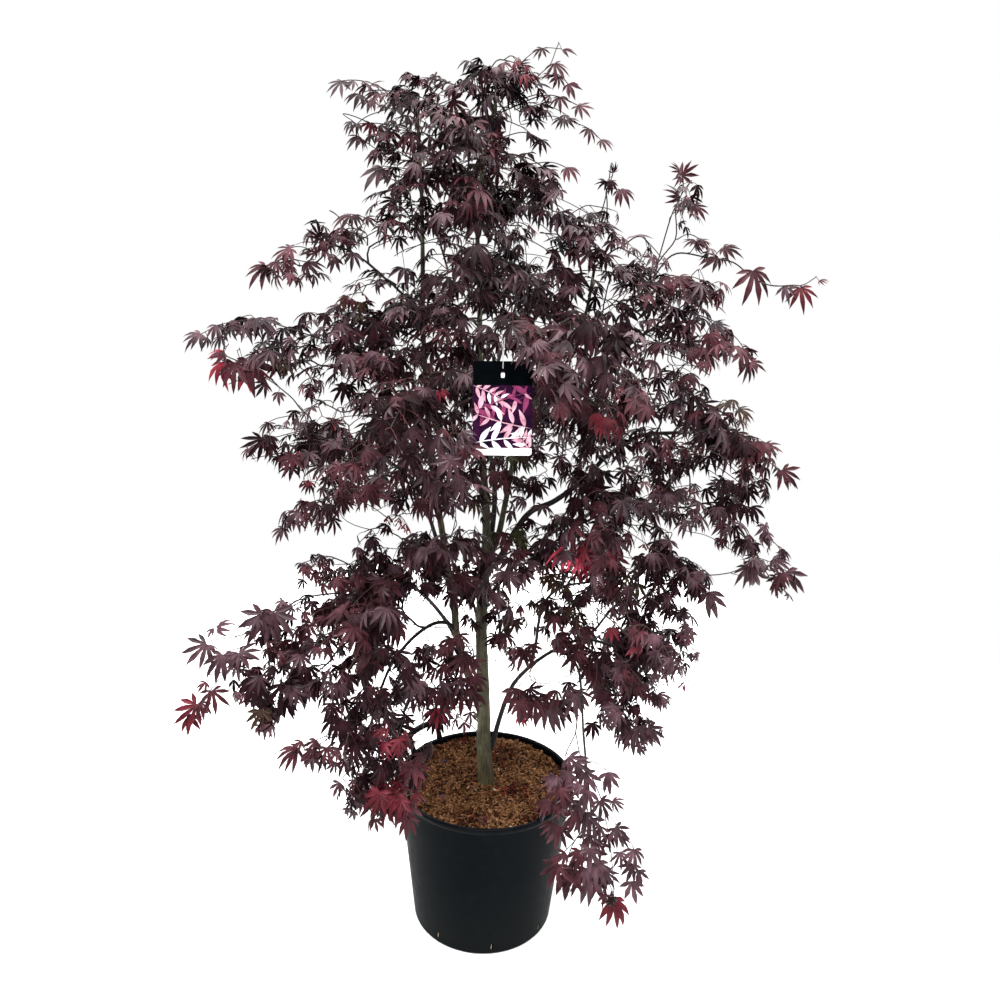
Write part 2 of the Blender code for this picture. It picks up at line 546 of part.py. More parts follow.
# ---------------------------------------------------------------- build
def main():
    clear_scene()
    make_pot()
    make_mix()
    for name, degrees in GRIP_ANGLES.items():
        make_grip(name, degrees)
    make_tag()
    limbs = {name: make_limb(name) for name in LIMBS}
    names = list(MASSES)
    planes = planes_for(names)
    for name in names:
        from_bmesh(name, mass_shape(name, planes[name]), "foliage")
    for limb, mass in ENDS_IN.items():
        helper = bpy.data.objects.get("cut_" + mass)
        if helper is None:
            helper = from_bmesh("cut_" + mass, mass_shape(mass, planes[mass], grow=GAP), "foliage", helper=True)
        cut(limbs[limb], helper)


main()
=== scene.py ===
"""Looks of the potted purple-leaved maple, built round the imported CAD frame.

Everything is in metres in the CAD's frame: +Z up, the pot's underside at z = 0, the front towards -Y.
The trunk and boughs repeat the CAD's centrelines; a seeded branching rule grows twigs on from them to a spray
of leaves at each point dealt out inside the CAD's masses of foliage.
"""

import json
import math

import bpy
import numpy as np
from mathutils import Matrix, Vector, noise
from mathutils.bvhtree import BVHTree

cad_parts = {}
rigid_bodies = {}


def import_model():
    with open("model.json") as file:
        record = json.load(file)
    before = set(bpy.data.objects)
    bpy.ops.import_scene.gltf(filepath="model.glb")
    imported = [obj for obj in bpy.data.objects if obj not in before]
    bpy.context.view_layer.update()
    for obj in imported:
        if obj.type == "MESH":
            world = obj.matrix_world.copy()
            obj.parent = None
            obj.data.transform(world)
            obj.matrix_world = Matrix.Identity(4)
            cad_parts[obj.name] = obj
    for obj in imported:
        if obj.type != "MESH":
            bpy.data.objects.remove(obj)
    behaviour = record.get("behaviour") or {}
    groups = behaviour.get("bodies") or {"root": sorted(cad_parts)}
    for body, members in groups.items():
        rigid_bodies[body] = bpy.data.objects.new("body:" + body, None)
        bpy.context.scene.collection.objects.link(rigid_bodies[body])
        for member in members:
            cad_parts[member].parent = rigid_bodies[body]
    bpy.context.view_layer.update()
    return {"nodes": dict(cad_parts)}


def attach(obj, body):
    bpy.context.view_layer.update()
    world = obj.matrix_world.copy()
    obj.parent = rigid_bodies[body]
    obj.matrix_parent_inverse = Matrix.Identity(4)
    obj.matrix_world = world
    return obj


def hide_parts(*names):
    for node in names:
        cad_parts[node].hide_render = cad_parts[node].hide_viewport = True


for obj in list(bpy.data.objects):
    bpy.data.objects.remove(obj, do_unlink=True)
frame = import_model()
rng = np.random.default_rng(20417)
UP = np.array([0.0, 0.0, 1.0])

# ---------------------------------------------------------------- driving sizes (as in the CAD)
POT_H, POT_R_RIM, POT_R_TOP, POT_R_FOOT, POT_FLAT_R = 0.356, 0.207, 0.2020, 0.1660, 0.1580
FOOT_RISE, POT_WALL, POT_FLOOR, RIM_BAND = 0.009, 0.0028, 0.0045, 0.014
SLOTS, SLOT_W, SLOT_H, SLOT_Z = 8, 0.007, 0.017, 0.0215
SOIL_TOP, SOIL_EDGE = 0.3425, 0.3415
GRIP_ANGLES = {"pot_grip_left": 140.0, "pot_grip_right": -40.0}
GRIP_SPAN, GRIP_RISE, GRIP_BAR, GRIP_LEAN = 0.103, 0.045, 0.0118, 0.40
TAG_SIZE, TAG_AT, TAG_TILT = (0.104, 0.0008, 0.164), (0.011, -0.300, 1.2725), (-6.0, -1.2)
STRAP_LEN = 0.060

LIMBS = {
    "trunk": dict(path=[(0.001, 0.0, SOIL_TOP), (-0.004, 0.0, 0.39), (-0.008, 0.0, 0.449), (-0.011, 0.0, 0.552),
                        (-0.017, 0.0, 0.652), (-0.021, 0.0, 0.735), (-0.019, 0.0, 0.821), (-0.015, 0.0, 0.905)],
                  r0=0.0150, r1=0.0118, flare=0.0055, parent=None, bark="bark_green"),
    "left_leader": dict(path=[(-0.012, 0.0, 0.535), (-0.026, 0.002, 0.566), (-0.052, 0.002, 0.625), (-0.075, 0.0, 0.705),
                              (-0.084, 0.0, 0.795), (-0.101, 0.0, 0.888), (-0.113, 0.0, 0.957), (-0.124, 0.0, 1.024),
                              (-0.135, 0.004, 1.091), (-0.147, 0.014, 1.195), (-0.155, 0.02, 1.301), (-0.160, 0.02, 1.404),
                              (-0.162, 0.02, 1.543), (-0.165, 0.016, 1.659), (-0.172, 0.0, 1.79)],
                        r0=0.0098, r1=0.0032, parent="trunk", bark="bark_green"),
    "main_leader": dict(path=[(-0.015, 0.0, 0.9056), (-0.018, 0.0, 1.024), (-0.026, 0.002, 1.092), (-0.036, 0.012, 1.244),
                              (-0.044, 0.018, 1.448), (-0.052, 0.018, 1.62), (-0.038, 0.010, 1.74), (-0.022, 0.0, 1.82)],
                        r0=0.0090, r1=0.0030, parent="trunk", bark="bark_green"),
    "back_leader": dict(path=[(-0.014, 0.004, 0.895), (-0.006, 0.016, 0.935), (0.000, 0.034, 1.005), (-0.004, 0.056, 1.07),
                              (-0.020, 0.10, 1.162), (-0.010, 0.15, 1.28), (0.020, 0.21, 1.38), (0.036, 0.27, 1.44)],
                        r0=0.0066, r1=0.0030, parent="trunk", bark="bark_dark"),
    "right_leader": dict(path=[(-0.013, -0.002, 0.893), (0.004, -0.004, 0.927), (0.014, -0.002, 0.966), (0.024, 0.0, 1.025),
                               (0.049, 0.02, 1.158), (0.120, 0.03, 1.33), (0.172, 0.03, 1.41), (0.190, 0.025, 1.52)],
                         r0=0.0072, r1=0.0030, parent="trunk", bark="bark_green"),
    "right_bough": dict(path=[(-0.014, -0.004, 0.866), (0.018, -0.012, 0.905), (0.050, -0.022, 0.972), (0.080, -0.032, 1.015),
                              (0.128, -0.044, 1.043), (0.190, -0.054, 1.098), (0.225, -0.056, 1.141), (0.259, -0.06, 1.168),
                              (0.302, -0.06, 1.192), (0.40, -0.055, 1.20)],
                        r0=0.0078, r1=0.0034, parent="trunk", bark="bark_dark"),
    "low_right_bough": dict(path=[(-0.004, 0.002, 0.392), (0.013, 0.006, 0.440), (0.026, 0.008, 0.496), (0.042, 0.008, 0.554),
                                  (0.060, 0.0, 0.600), (0.097, -0.010, 0.649), (0.145, -0.026, 0.694), (0.210, -0.040, 0.728),
                                  (0.300, -0.050, 0.71)],
                            r0=0.0066, r1=0.0028, parent="trunk", bark="bark_dark"),
    "low_right_fork": dict(path=[(0.094, -0.009, 0.646), (0.103, -0.006, 0.700), (0.107, -0.010, 0.752), (0.116, -0.030, 0.806),
                                 (0.146, -0.090, 0.866), (0.205, -0.18, 0.915)],
                           r0=0.0042, r1=0.0022, parent="low_right_bough", bark="bark_dark"),
    "left_low_bough": dict(path=[(-0.077, 0.0, 0.722), (-0.100, -0.014, 0.746), (-0.135, -0.034, 0.746), (-0.180, -0.085, 0.722),
                                 (-0.215, -0.155, 0.680), (-0.238, -0.27, 0.60)],
                           r0=0.0046, r1=0.0022, parent="left_leader", bark="bark_dark"),
    "second_left": dict(path=[(-0.083, 0.0, 0.792), (-0.098, 0.020, 0.838), (-0.122, 0.040, 0.905), (-0.147, 0.056, 0.973),
                              (-0.178, 0.062, 1.043), (-0.250, 0.045, 1.105), (-0.36, 0.01, 1.15)],
                        r0=0.0056, r1=0.0024, parent="left_leader", bark="bark_dark"),
    "left_tier_bough": dict(path=[(-0.135, 0.004, 1.088), (-0.152, -0.020, 1.150), (-0.186, -0.032, 1.222),
                                  (-0.235, -0.026, 1.290), (-0.29, -0.01, 1.345)],
                            r0=0.0044, r1=0.0024, parent="left_leader", bark="bark_dark"),
    "weeping_bough": dict(path=[(0.142, -0.025, 0.692), (0.170, -0.060, 0.700), (0.190, -0.115, 0.692), (0.194, -0.175, 0.662),
                                (0.196, -0.228, 0.610), (0.204, -0.268, 0.540), (0.214, -0.292, 0.47)],
                          r0=0.0034, r1=0.0020, parent="low_right_bough", bark="bark_dark"),
    "shoulder_bough": dict(path=[(0.046, 0.018, 1.148), (0.084, 0.0, 1.212), (0.150, -0.026, 1.282), (0.226, -0.046, 1.346),
                                 (0.31, -0.055, 1.41)],
                           r0=0.0052, r1=0.0028, parent="right_leader", bark="bark_dark"),
    "front_left_bough": dict(path=[(-0.018, 0.0, 1.010), (-0.034, -0.040, 1.062), (-0.062, -0.110, 1.108), (-0.092, -0.200, 1.146),
                                   (-0.115, -0.31, 1.185)],
                             r0=0.0048, r1=0.0024, parent="main_leader", bark="bark_dark"),
    "front_right_bough": dict(path=[(0.040, 0.014, 1.112), (0.062, -0.030, 1.170), (0.092, -0.100, 1.232), (0.122, -0.190, 1.292),
                                    (0.15, -0.29, 1.345)],
                              r0=0.0046, r1=0.0024, parent="right_leader", bark="bark_dark"),
    "back_left_bough": dict(path=[(-0.072, 0.0, 0.690), (-0.100, 0.030, 0.728), (-0.160, 0.100, 0.765), (-0.240, 0.195, 0.770),
                                  (-0.36, 0.32, 0.70)],
                            r0=0.0050, r1=0.0024, parent="left_leader", bark="bark_dark"),
    "back_right_bough": dict(path=[(-0.020, 0.002, 0.776), (0.020, 0.050, 0.826), (0.090, 0.130, 0.880), (0.190, 0.215, 0.925),
                                   (0.35, 0.31, 0.97)],
                             r0=0.0056, r1=0.0026, parent="trunk", bark="bark_dark"),
}

# ---------------------------------------------------------------- materials
MATS = {}


def node_material(name, rough=0.5, specular=0.5, metallic=0.0, sheen=0.0, coat=0.0, coat_rough=0.1):
    mat = bpy.data.materials.new(name)
    mat.use_nodes = True
    bsdf = mat.node_tree.nodes["Principled BSDF"]
    bsdf.inputs["Roughness"].default_value = rough
    bsdf.inputs["Specular IOR Level"].default_value = specular
    bsdf.inputs["Metallic"].default_value = metallic
    bsdf.inputs["Sheen Weight"].default_value = sheen
    bsdf.inputs["Coat Weight"].default_value = coat
    bsdf.inputs["Coat Roughness"].default_value = coat_rough
    MATS[name] = mat
    return mat, mat.node_tree, bsdf


def coords(tree, scale=(1, 1, 1)):
    tc = tree.nodes.new("ShaderNodeTexCoord")
    mp = tree.nodes.new("ShaderNodeMapping")
    mp.inputs["Scale"].default_value = scale
    tree.links.new(tc.outputs["Object"], mp.inputs["Vector"])
    return mp.outputs["Vector"]


def noise_out(tree, vector, scale, detail=3.0, rough=0.5):
    n = tree.nodes.new("ShaderNodeTexNoise")
    n.inputs["Scale"].default_value = scale
    n.inputs["Detail"].default_value = detail
    n.inputs["Roughness"].default_value = rough
    tree.links.new(vector, n.inputs["Vector"])
    return n.outputs["Fac"]


def ramp(tree, fac, stops):
    r = tree.nodes.new("ShaderNodeValToRGB")
    els = r.color_ramp.elements
    while len(els) < len(stops):
        els.new(0.5)
    for e, (p, c) in zip(els, stops):
        e.position = p
        e.color = (*c, 1.0)
    tree.links.new(fac, r.inputs["Fac"])
    return r.outputs["Color"]


def mix(tree, fac, a, b, mode="MIX"):
    m = tree.nodes.new("ShaderNodeMix")
    m.data_type = "RGBA"
    m.blend_type = mode
    for socket, value in ((m.inputs[0], fac), (m.inputs[6], a), (m.inputs[7], b)):
        if isinstance(value, (int, float)):
            socket.default_value = value
        elif isinstance(value, tuple):
            socket.default_value = (*value, 1.0)
        else:
            tree.links.new(value, socket)
    return m.outputs[2]


def bump(tree, bsdf, height, strength, distance):
    b = tree.nodes.new("ShaderNodeBump")
    b.inputs["Strength"].default_value = strength
    b.inputs["Distance"].default_value = distance
    tree.links.new(height, b.inputs["Height"])
    tree.links.new(b.outputs["Normal"], bsdf.inputs["Normal"])


def leaf_material(name, dark, mid, light, rough=0.46, specular=0.5):
    """A leaf tint that shifts from leaf to leaf and, finely, across the blade."""
    mat, tree, bsdf = node_material(name, rough=rough, specular=specular)
    v = coords(tree)
    broad = noise_out(tree, v, 21.0, 2.0, 0.5)
    tint = ramp(tree, broad, [(0.30, dark), (0.50, mid), (0.70, light)])
    fine = noise_out(tree, v, 160.0, 3.0, 0.6)
    shade = ramp(tree, fine, [(0.35, (0.78, 0.78, 0.78)), (0.65, (1.12, 1.10, 1.12))])
    tree.links.new(mix(tree, 1.0, tint, shade, "MULTIPLY"), bsdf.inputs["Base Color"])
    veins = noise_out(tree, v, 420.0, 2.0, 0.6)
    bump(tree, bsdf, veins, 0.25, 0.0006)
    return mat


def make_materials():
    leaf_material("leaf_dark", (0.0034, 0.0009, 0.0014), (0.0078, 0.0020, 0.0031), (0.0172, 0.0048, 0.0068), rough=0.46, specular=0.05)
    leaf_material("leaf_plum", (0.0110, 0.0038, 0.0058), (0.0285, 0.0104, 0.0146), (0.0660, 0.0300, 0.0385), rough=0.42, specular=0.16)
    leaf_material("leaf_burgundy", (0.0122, 0.0025, 0.0039), (0.0300, 0.0068, 0.0096), (0.0640, 0.0190, 0.0240), rough=0.46, specular=0.09)
    leaf_material("leaf_red", (0.0230, 0.0015, 0.0030), (0.0500, 0.0038, 0.0074), (0.1050, 0.0120, 0.0190), rough=0.46, specular=0.10)
    leaf_material("leaf_scarlet", (0.0700, 0.0040, 0.0100), (0.1900, 0.0130, 0.0270), (0.3600, 0.0420, 0.0700), rough=0.46, specular=0.12)
    leaf_material("key_red", (0.050, 0.0050, 0.0090), (0.150, 0.0200, 0.0300), (0.300, 0.0700, 0.0850), rough=0.50, specular=0.12)
    leaf_material("leaf_bronze", (0.0100, 0.0038, 0.0022), (0.0195, 0.0080, 0.0038), (0.0330, 0.0160, 0.0060), rough=0.46, specular=0.12)
    leaf_material("leaf_green", (0.0080, 0.0080, 0.0024), (0.0170, 0.0175, 0.0042), (0.0330, 0.0350, 0.0080), rough=0.46, specular=0.12)

    mat, tree, bsdf = node_material("twig", rough=0.60, specular=0.15)
    v = coords(tree)
    c = ramp(tree, noise_out(tree, v, 9.0, 3.0), [(0.30, (0.010, 0.006, 0.006)), (0.55, (0.026, 0.016, 0.013)), (0.75, (0.052, 0.040, 0.028))])
    tree.links.new(c, bsdf.inputs["Base Color"])

    mat, tree, bsdf = node_material("petiole", rough=0.55, specular=0.15)
    c = ramp(tree, noise_out(tree, coords(tree), 14.0, 2.0), [(0.30, (0.022, 0.007, 0.008)), (0.70, (0.070, 0.018, 0.020))])
    tree.links.new(c, bsdf.inputs["Base Color"])

    for name, dark, mid, light in (("bark_green", (0.024, 0.023, 0.013), (0.066, 0.062, 0.036), (0.150, 0.142, 0.088)),
                                   ("bark_dark", (0.006, 0.0055, 0.0055), (0.016, 0.0145, 0.0125), (0.046, 0.041, 0.031))):
        mat, tree, bsdf = node_material(name, rough=0.70, specular=0.18)
        streak = noise_out(tree, coords(tree, (260, 260, 18)), 1.0, 5.0, 0.6)
        patch = noise_out(tree, coords(tree, (1, 1, 0.45)), 34.0, 4.0, 0.6)
        base = ramp(tree, patch, [(0.30, dark), (0.52, mid), (0.74, light)])
        lines = ramp(tree, streak, [(0.34, (0.55, 0.52, 0.50)), (0.52, (1.0, 1.0, 1.0)), (0.75, (1.18, 1.16, 1.10))])
        c = mix(tree, 1.0, base, lines, "MULTIPLY")
        spots = tree.nodes.new("ShaderNodeTexVoronoi")
        spots.inputs["Scale"].default_value = 1.0
        tree.links.new(coords(tree, (150, 150, 300)), spots.inputs["Vector"])
        pale = ramp(tree, spots.outputs["Distance"], [(0.10, (1.0, 1.0, 1.0)), (0.17, (0.0, 0.0, 0.0))])
        gate = ramp(tree, noise_out(tree, coords(tree), 60.0, 2.0), [(0.50, (0, 0, 0)), (0.62, (0.55, 0.55, 0.55))])
        c = mix(tree, mix(tree, 1.0, pale, gate, "MULTIPLY"), c, (0.20, 0.165, 0.11) if name == "bark_green" else (0.07, 0.055, 0.04))
        height = tree.nodes.new("ShaderNodeSeparateXYZ")
        tree.links.new(coords(tree), height.inputs[0])
        foot = ramp(tree, height.outputs["Z"], [(0.36, (0.62, 0.55, 0.48)), (0.52, (1.0, 1.0, 1.0))])
        c = mix(tree, 1.0, c, foot, "MULTIPLY")
        tree.links.new(c, bsdf.inputs["Base Color"])
        bump(tree, bsdf, streak, 0.45, 0.0008)

    mat, tree, bsdf = node_material("pot_plastic", rough=0.40, specular=0.012)
    v = coords(tree)
    broad = noise_out(tree, coords(tree, (1, 1, 0.35)), 7.0, 3.0)
    dust = noise_out(tree, v, 46.0, 5.0, 0.62)
    c = ramp(tree, broad, [(0.30, (0.0012, 0.0021, 0.0028)), (0.70, (0.0024, 0.0035, 0.0042))])
    grime = ramp(tree, dust, [(0.52, (0, 0, 0)), (0.80, (0.030, 0.030, 0.030))])
    c = mix(tree, grime, c, (0.075, 0.070, 0.058))
    low = tree.nodes.new("ShaderNodeSeparateXYZ")
    tree.links.new(coords(tree), low.inputs[0])
    c = mix(tree, ramp(tree, low.outputs["Z"], [(0.02, (0.030, 0.030, 0.030)), (0.20, (0.004, 0.004, 0.004))]), c, (0.080, 0.078, 0.070))
    tree.links.new(c, bsdf.inputs["Base Color"])
    r = ramp(tree, dust, [(0.30, (0.36, 0.36, 0.36)), (0.75, (0.54, 0.54, 0.54))])
    tree.links.new(r, bsdf.inputs["Roughness"])
    bump(tree, bsdf, noise_out(tree, v, 900.0, 2.0), 0.10, 0.0004)

    mat, tree, bsdf = node_material("rim_plastic", rough=0.14, specular=0.030)
    v = coords(tree)
    c = ramp(tree, noise_out(tree, v, 30.0, 3.0), [(0.30, (0.0012, 0.0017, 0.0025)), (0.70, (0.0024, 0.0030, 0.0040))])
    tree.links.new(c, bsdf.inputs["Base Color"])
    r = ramp(tree, noise_out(tree, v, 60.0, 4.0), [(0.35, (0.09, 0.09, 0.09)), (0.75, (0.18, 0.18, 0.18))])
    tree.links.new(r, bsdf.inputs["Roughness"])

    # mix_base, the ground under the bits, is very dark partly for the mix's own colour and partly as painted shade
    # between the bits; mix_dark is partly dark bark and partly painted shade for the gaps in the mix
    for name, dark, mid, light in (("mix_base", (0.0035, 0.0015, 0.0008), (0.012, 0.0045, 0.0019), (0.030, 0.0120, 0.0048)),
                                   ("mix_ochre", (0.034, 0.0142, 0.0060), (0.094, 0.0420, 0.0170), (0.285, 0.158, 0.0850)),
                                   ("mix_brown", (0.014, 0.0052, 0.0022), (0.037, 0.0138, 0.0054), (0.075, 0.0310, 0.0120)),
                                   ("mix_dark", (0.0035, 0.0016, 0.0010), (0.0075, 0.0032, 0.0018), (0.016, 0.0070, 0.0040)),
                                   ("mix_pale", (0.140, 0.098, 0.066), (0.260, 0.200, 0.145), (0.400, 0.335, 0.260)),
                                   ("mix_red", (0.020, 0.0030, 0.0020), (0.048, 0.0075, 0.0046), (0.090, 0.0170, 0.0100))):
        mat, tree, bsdf = node_material(name, rough=0.92, specular=0.04)
        c = ramp(tree, noise_out(tree, coords(tree), 210.0, 4.0, 0.7), [(0.30, dark), (0.50, mid), (0.72, light)])
        tree.links.new(c, bsdf.inputs["Base Color"])

    for name, a, b, rough in (("card_black", (0.0006, 0.0010, 0.0014), (0.0012, 0.0018, 0.0024), 0.40),
                              ("card_white", (0.66, 0.60, 0.63), (0.88, 0.86, 0.87), 0.35),
                              ("card_plum", (0.0040, 0.0014, 0.0090), (0.026, 0.0035, 0.0220), 0.32),
                              ("card_magenta", (0.090, 0.010, 0.040), (0.250, 0.045, 0.120), 0.32),
                              ("card_pink", (0.33, 0.12, 0.18), (0.62, 0.38, 0.44), 0.32),
                              ("strap_white", (0.72, 0.72, 0.72), (0.84, 0.84, 0.84), 0.40),
                              ("strap_clear", (0.30, 0.29, 0.29), (0.50, 0.49, 0.49), 0.30)):
        mat, tree, bsdf = node_material(name, rough=rough, specular=0.004 if name == "card_black" else 0.03)
        c = ramp(tree, noise_out(tree, coords(tree), 60.0, 3.0), [(0.32, a), (0.68, b)])
        tree.links.new(c, bsdf.inputs["Base Color"])

    mat, tree, bsdf = node_material("floor", rough=0.95, specular=0.0)
    c = ramp(tree, noise_out(tree, coords(tree), 1.2, 2.0), [(0.3, (0.60, 0.60, 0.60)), (0.7, (0.63, 0.63, 0.63))])
    tree.links.new(c, bsdf.inputs["Base Color"])


# ---------------------------------------------------------------- meshes from arrays
class Bag:
    """Collects vertices and triangles or quads for one joined piece."""

    def __init__(self):
        self.v, self.f, self.n = [], [], 0

    def add(self, verts, faces):
        self.v.append(np.asarray(verts, dtype=np.float64))
        self.f.append(np.asarray(faces, dtype=np.int64) + self.n)
        self.n += len(verts)

    def tris(self):
        return sum(len(f) * (f.shape[1] - 2) for f in self.f)


def mesh_object(name, bag, material, smooth=True):
    verts = np.concatenate(bag.v)
    counts = np.concatenate([np.full(len(f), f.shape[1]) for f in bag.f])
    loops = np.concatenate([f.ravel() for f in bag.f])
    mesh = bpy.data.meshes.new(name)
    mesh.vertices.add(len(verts))
    mesh.vertices.foreach_set("co", verts.astype(np.float32).ravel())
    mesh.loops.add(len(loops))
    mesh.loops.foreach_set("vertex_index", loops.astype(np.int32))
    mesh.polygons.add(len(counts))
    starts = np.concatenate([[0], np.cumsum(counts)[:-1]])
    mesh.polygons.foreach_set("loop_start", starts.astype(np.int32))
    mesh.polygons.foreach_set("use_smooth", np.full(len(counts), smooth))
    mesh.update(calc_edges=True)
    mesh.validate()
    obj = bpy.data.objects.new(name, mesh)
    bpy.context.scene.collection.objects.link(obj)
    mesh.materials.append(MATS[material])
    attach(obj, "root")
    return obj


def unit(v):
    return v / max(np.linalg.norm(v), 1e-12)


def spline(points, step):
    """A smooth line through the points with a point about every step metres."""
    p = np.array(points, dtype=float)
    p = np.vstack([2 * p[0] - p[1], p, 2 * p[-1] - p[-2]])
    out = []
    for k in range(1, len(p) - 2):
        a, b, c, d = p[k - 1], p[k], p[k + 1], p[k + 2]
        n = max(2, int(round(np.linalg.norm(c - b) / step)))
        for s in range(n):
            t = s / n
            out.append(0.5 * (2 * b + (c - a) * t + (2 * a - 5 * b + 4 * c - d) * t * t + (3 * b - a - 3 * c + d) * t ** 3))
    out.append(p[-2])
    return np.array(out)


def tube(bag, line, radii, sides, cap=True, relief=None, level_foot=False):
    """A round limb along a line. relief(theta, s, p) gives a factor and an offset of the radius."""
    line = np.asarray(line)
    n = len(line)
    tang = np.gradient(line, axis=0)
    tang /= np.maximum(np.linalg.norm(tang, axis=1, keepdims=True), 1e-12)
    side = unit(np.cross(tang[0], [0.31, 0.9, 0.17]))
    along = np.concatenate([[0], np.cumsum(np.linalg.norm(np.diff(line, axis=0), axis=1))])
    ang = np.arange(sides) * 2 * math.pi / sides
    verts = np.empty((n * sides, 3))
    for i in range(n):
        side = unit(side - tang[i] * side.dot(tang[i]))
        other = np.cross(tang[i], side)
        s_, o_ = side, other
        if level_foot and i == 0:
            s_ = unit(np.array([side[0], side[1], 0.0]))
            o_ = np.cross(UP, s_)
        r = np.full(sides, radii[i])
        if relief is not None:
            r = np.array([relief(a, along[i], line[i] + (s_ * math.cos(a) + o_ * math.sin(a)) * radii[i], radii[i]) for a in ang])
        verts[i * sides:(i + 1) * sides] = line[i] + np.outer(np.cos(ang) * r, s_) + np.outer(np.sin(ang) * r, o_)
    k = np.arange(sides)
    j = (k + 1) % sides
    quads = np.concatenate([np.stack([i * sides + k, i * sides + j, (i + 1) * sides + j, (i + 1) * sides + k], 1) for i in range(n - 1)])
    base = bag.n
    bag.add(verts, quads)
    if cap:
        for row, centre, flip in ((0, line[0], True), (n - 1, line[-1], False)):
            ring = verts[row * sides:(row + 1) * sides]
            tri = np.stack([np.full(sides, sides), j, k] if flip else [np.full(sides, sides), k, j], 1)
            bag.add(np.vstack([ring, centre[None]]), tri)
    return base


# ---------------------------------------------------------------- wood: nodes of the branching skeleton
class Wood:
    def __init__(self):
        self.pos, self.parent, self.dir, self.run, self.limb, self.load = [], [], [], [], [], []

    def add(self, pos, parent, direction, limb):
        self.pos.append(np.asarray(pos, float))
        self.parent.append(parent)
        self.dir.append(unit(np.asarray(direction, float)))
        run = 0.0 if parent < 0 else self.run[parent] + float(np.linalg.norm(self.pos[parent] - self.pos[-1]))
        self.run.append(run)
        self.limb.append(limb)
        return len(self.pos) - 1


wood = Wood()
limb_nodes = {}


def limb_line(name, step):
    spec = LIMBS[name]
    line = spline(spec["path"], step)
    along = np.concatenate([[0], np.cumsum(np.linalg.norm(np.diff(line, axis=0), axis=1))])
    t = along / along[-1]
    radii = spec["r0"] + (spec["r1"] - spec["r0"]) * t ** 0.85 + spec.get("flare", 0.0) * np.exp(-along / 0.12)
    return line, radii, along


def plant_limbs():
    for name, spec in LIMBS.items():
        line, radii, along = limb_line(name, 0.014)
        if spec["parent"] is None:
            parent = -1
        else:
            ids = limb_nodes[spec["parent"]]
            parent = min(ids, key=lambda i: np.linalg.norm(wood.pos[i] - line[0]))
        ids = []
        for i, p in enumerate(line):
            ahead = line[min(i + 1, len(line) - 1)] - line[max(i - 1, 0)]
            parent = wood.add(p, parent, ahead, name)
            ids.append(parent)
        limb_nodes[name] = ids


# ---------------------------------------------------------------- foliage: where the sprays go
LIMB_NODES = list(LIMBS)
OTHER = ["pot_shell", "pot_grip_left", "pot_grip_right", "potting_mix", "plant_label"]
MASS_NODES = sorted(n for n in frame["nodes"] if n not in LIMB_NODES and n not in OTHER)

# sprays per mass, relative to its size: 1 is the common density
DENSITY = {"back_left": 1.3, "back_low_left": 1.3, "back_low_right": 1.3, "back_up": 1.25, "middle_back": 1.25, "right_back": 1.3,
           "upper_back": 1.2, "far_right_spray": 0.25, "right_sprig": 0.3, "right_hanging": 0.35, "left_spray_up": 0.5, "left_tier_tip": 0.6,
           "left_low_tip": 0.5, "right_skirt_outer": 0.7, "left_hanging_tip": 0.5, "left_hanging": 0.7, "centre_low": 0.7}


class Mass:
    def __init__(self, name):
        mesh = frame["nodes"][name].data
        v = np.empty(len(mesh.vertices) * 3)
        mesh.vertices.foreach_get("co", v)
        self.v = v.reshape(-1, 3)
        mesh.calc_loop_triangles()
        tris = [tuple(t.vertices) for t in mesh.loop_triangles]
        self.tree = BVHTree.FromPolygons([Vector(p) for p in self.v], tris)
        self.lo, self.hi = self.v.min(0), self.v.max(0)
        a, b, c = (self.v[[t[k] for t in tris]] for k in range(3))
        self.volume = abs(np.einsum("ij,ij->i", a, np.cross(b, c)).sum() / 6)
        self.centre = (self.lo + self.hi) / 2
        self.name = name

    def depth(self, p):
        """Distance inside the surface, negative outside."""
        loc, normal, _, dist = self.tree.find_nearest(Vector(p))
        inside = (Vector(p) - loc).dot(normal) < 0
        return dist if inside else -dist


# Accents: a spray whose tip falls within the radius takes the tint with the given chance.
ACCENTS = [
    ((-0.18, -0.40, 0.50), 0.085, "leaf_red", 0.7),
    ((-0.12, -0.38, 0.46), 0.070, "leaf_red", 0.6),
    ((-0.56, -0.22, 0.62), 0.060, "leaf_red", 0.4),
    ((0.20, -0.34, 0.905), 0.080, "leaf_red", 0.4),
    ((0.17, -0.42, 1.37), 0.085, "leaf_red", 0.25),
    ((0.37, -0.20, 1.34), 0.060, "leaf_red", 0.3),
    ((0.26, -0.20, 0.86), 0.070, "leaf_bronze", 0.5),
    ((-0.32, -0.10, 1.42), 0.045, "leaf_bronze", 0.3),
    ((-0.42, -0.10, 1.19), 0.050, "leaf_bronze", 0.1),
    ((0.02, -0.10, 1.10), 0.080, "leaf_bronze", 0.5),
    ((0.17, -0.12, 0.80), 0.120, "leaf_bronze", 0.34),
    ((0.22, -0.10, 0.98), 0.090, "leaf_bronze", 0.26),
]
TINTS = (("leaf_dark", 0.38), ("leaf_plum", 0.30), ("leaf_burgundy", 0.32))


def tint_for(p):
    for centre, radius, tint, chance in ACCENTS:
        if np.linalg.norm(p - np.array(centre)) < radius and rng.random() < chance:
            return tint
    x, total = rng.random(), 0.0
    for tint, share in TINTS:
        total += share
        if x < total:
            return tint
    return TINTS[0][0]


def in_front_of_label(p, margin=0.0):
    """True where a leaf would hide the label from the front."""
    eye = np.array([0.0118, -1.779, 1.493])
    if p[1] > TAG_AT[1] + 0.03:
        return False
    d = p - eye
    t = (TAG_AT[1] - eye[1]) / d[1] if abs(d[1]) > 1e-9 else 0
    q = eye + d * t
    return abs(q[0] - TAG_AT[0]) < TAG_SIZE[0] / 2 + margin and abs(q[2] - TAG_AT[2]) < TAG_SIZE[2] / 2 + margin


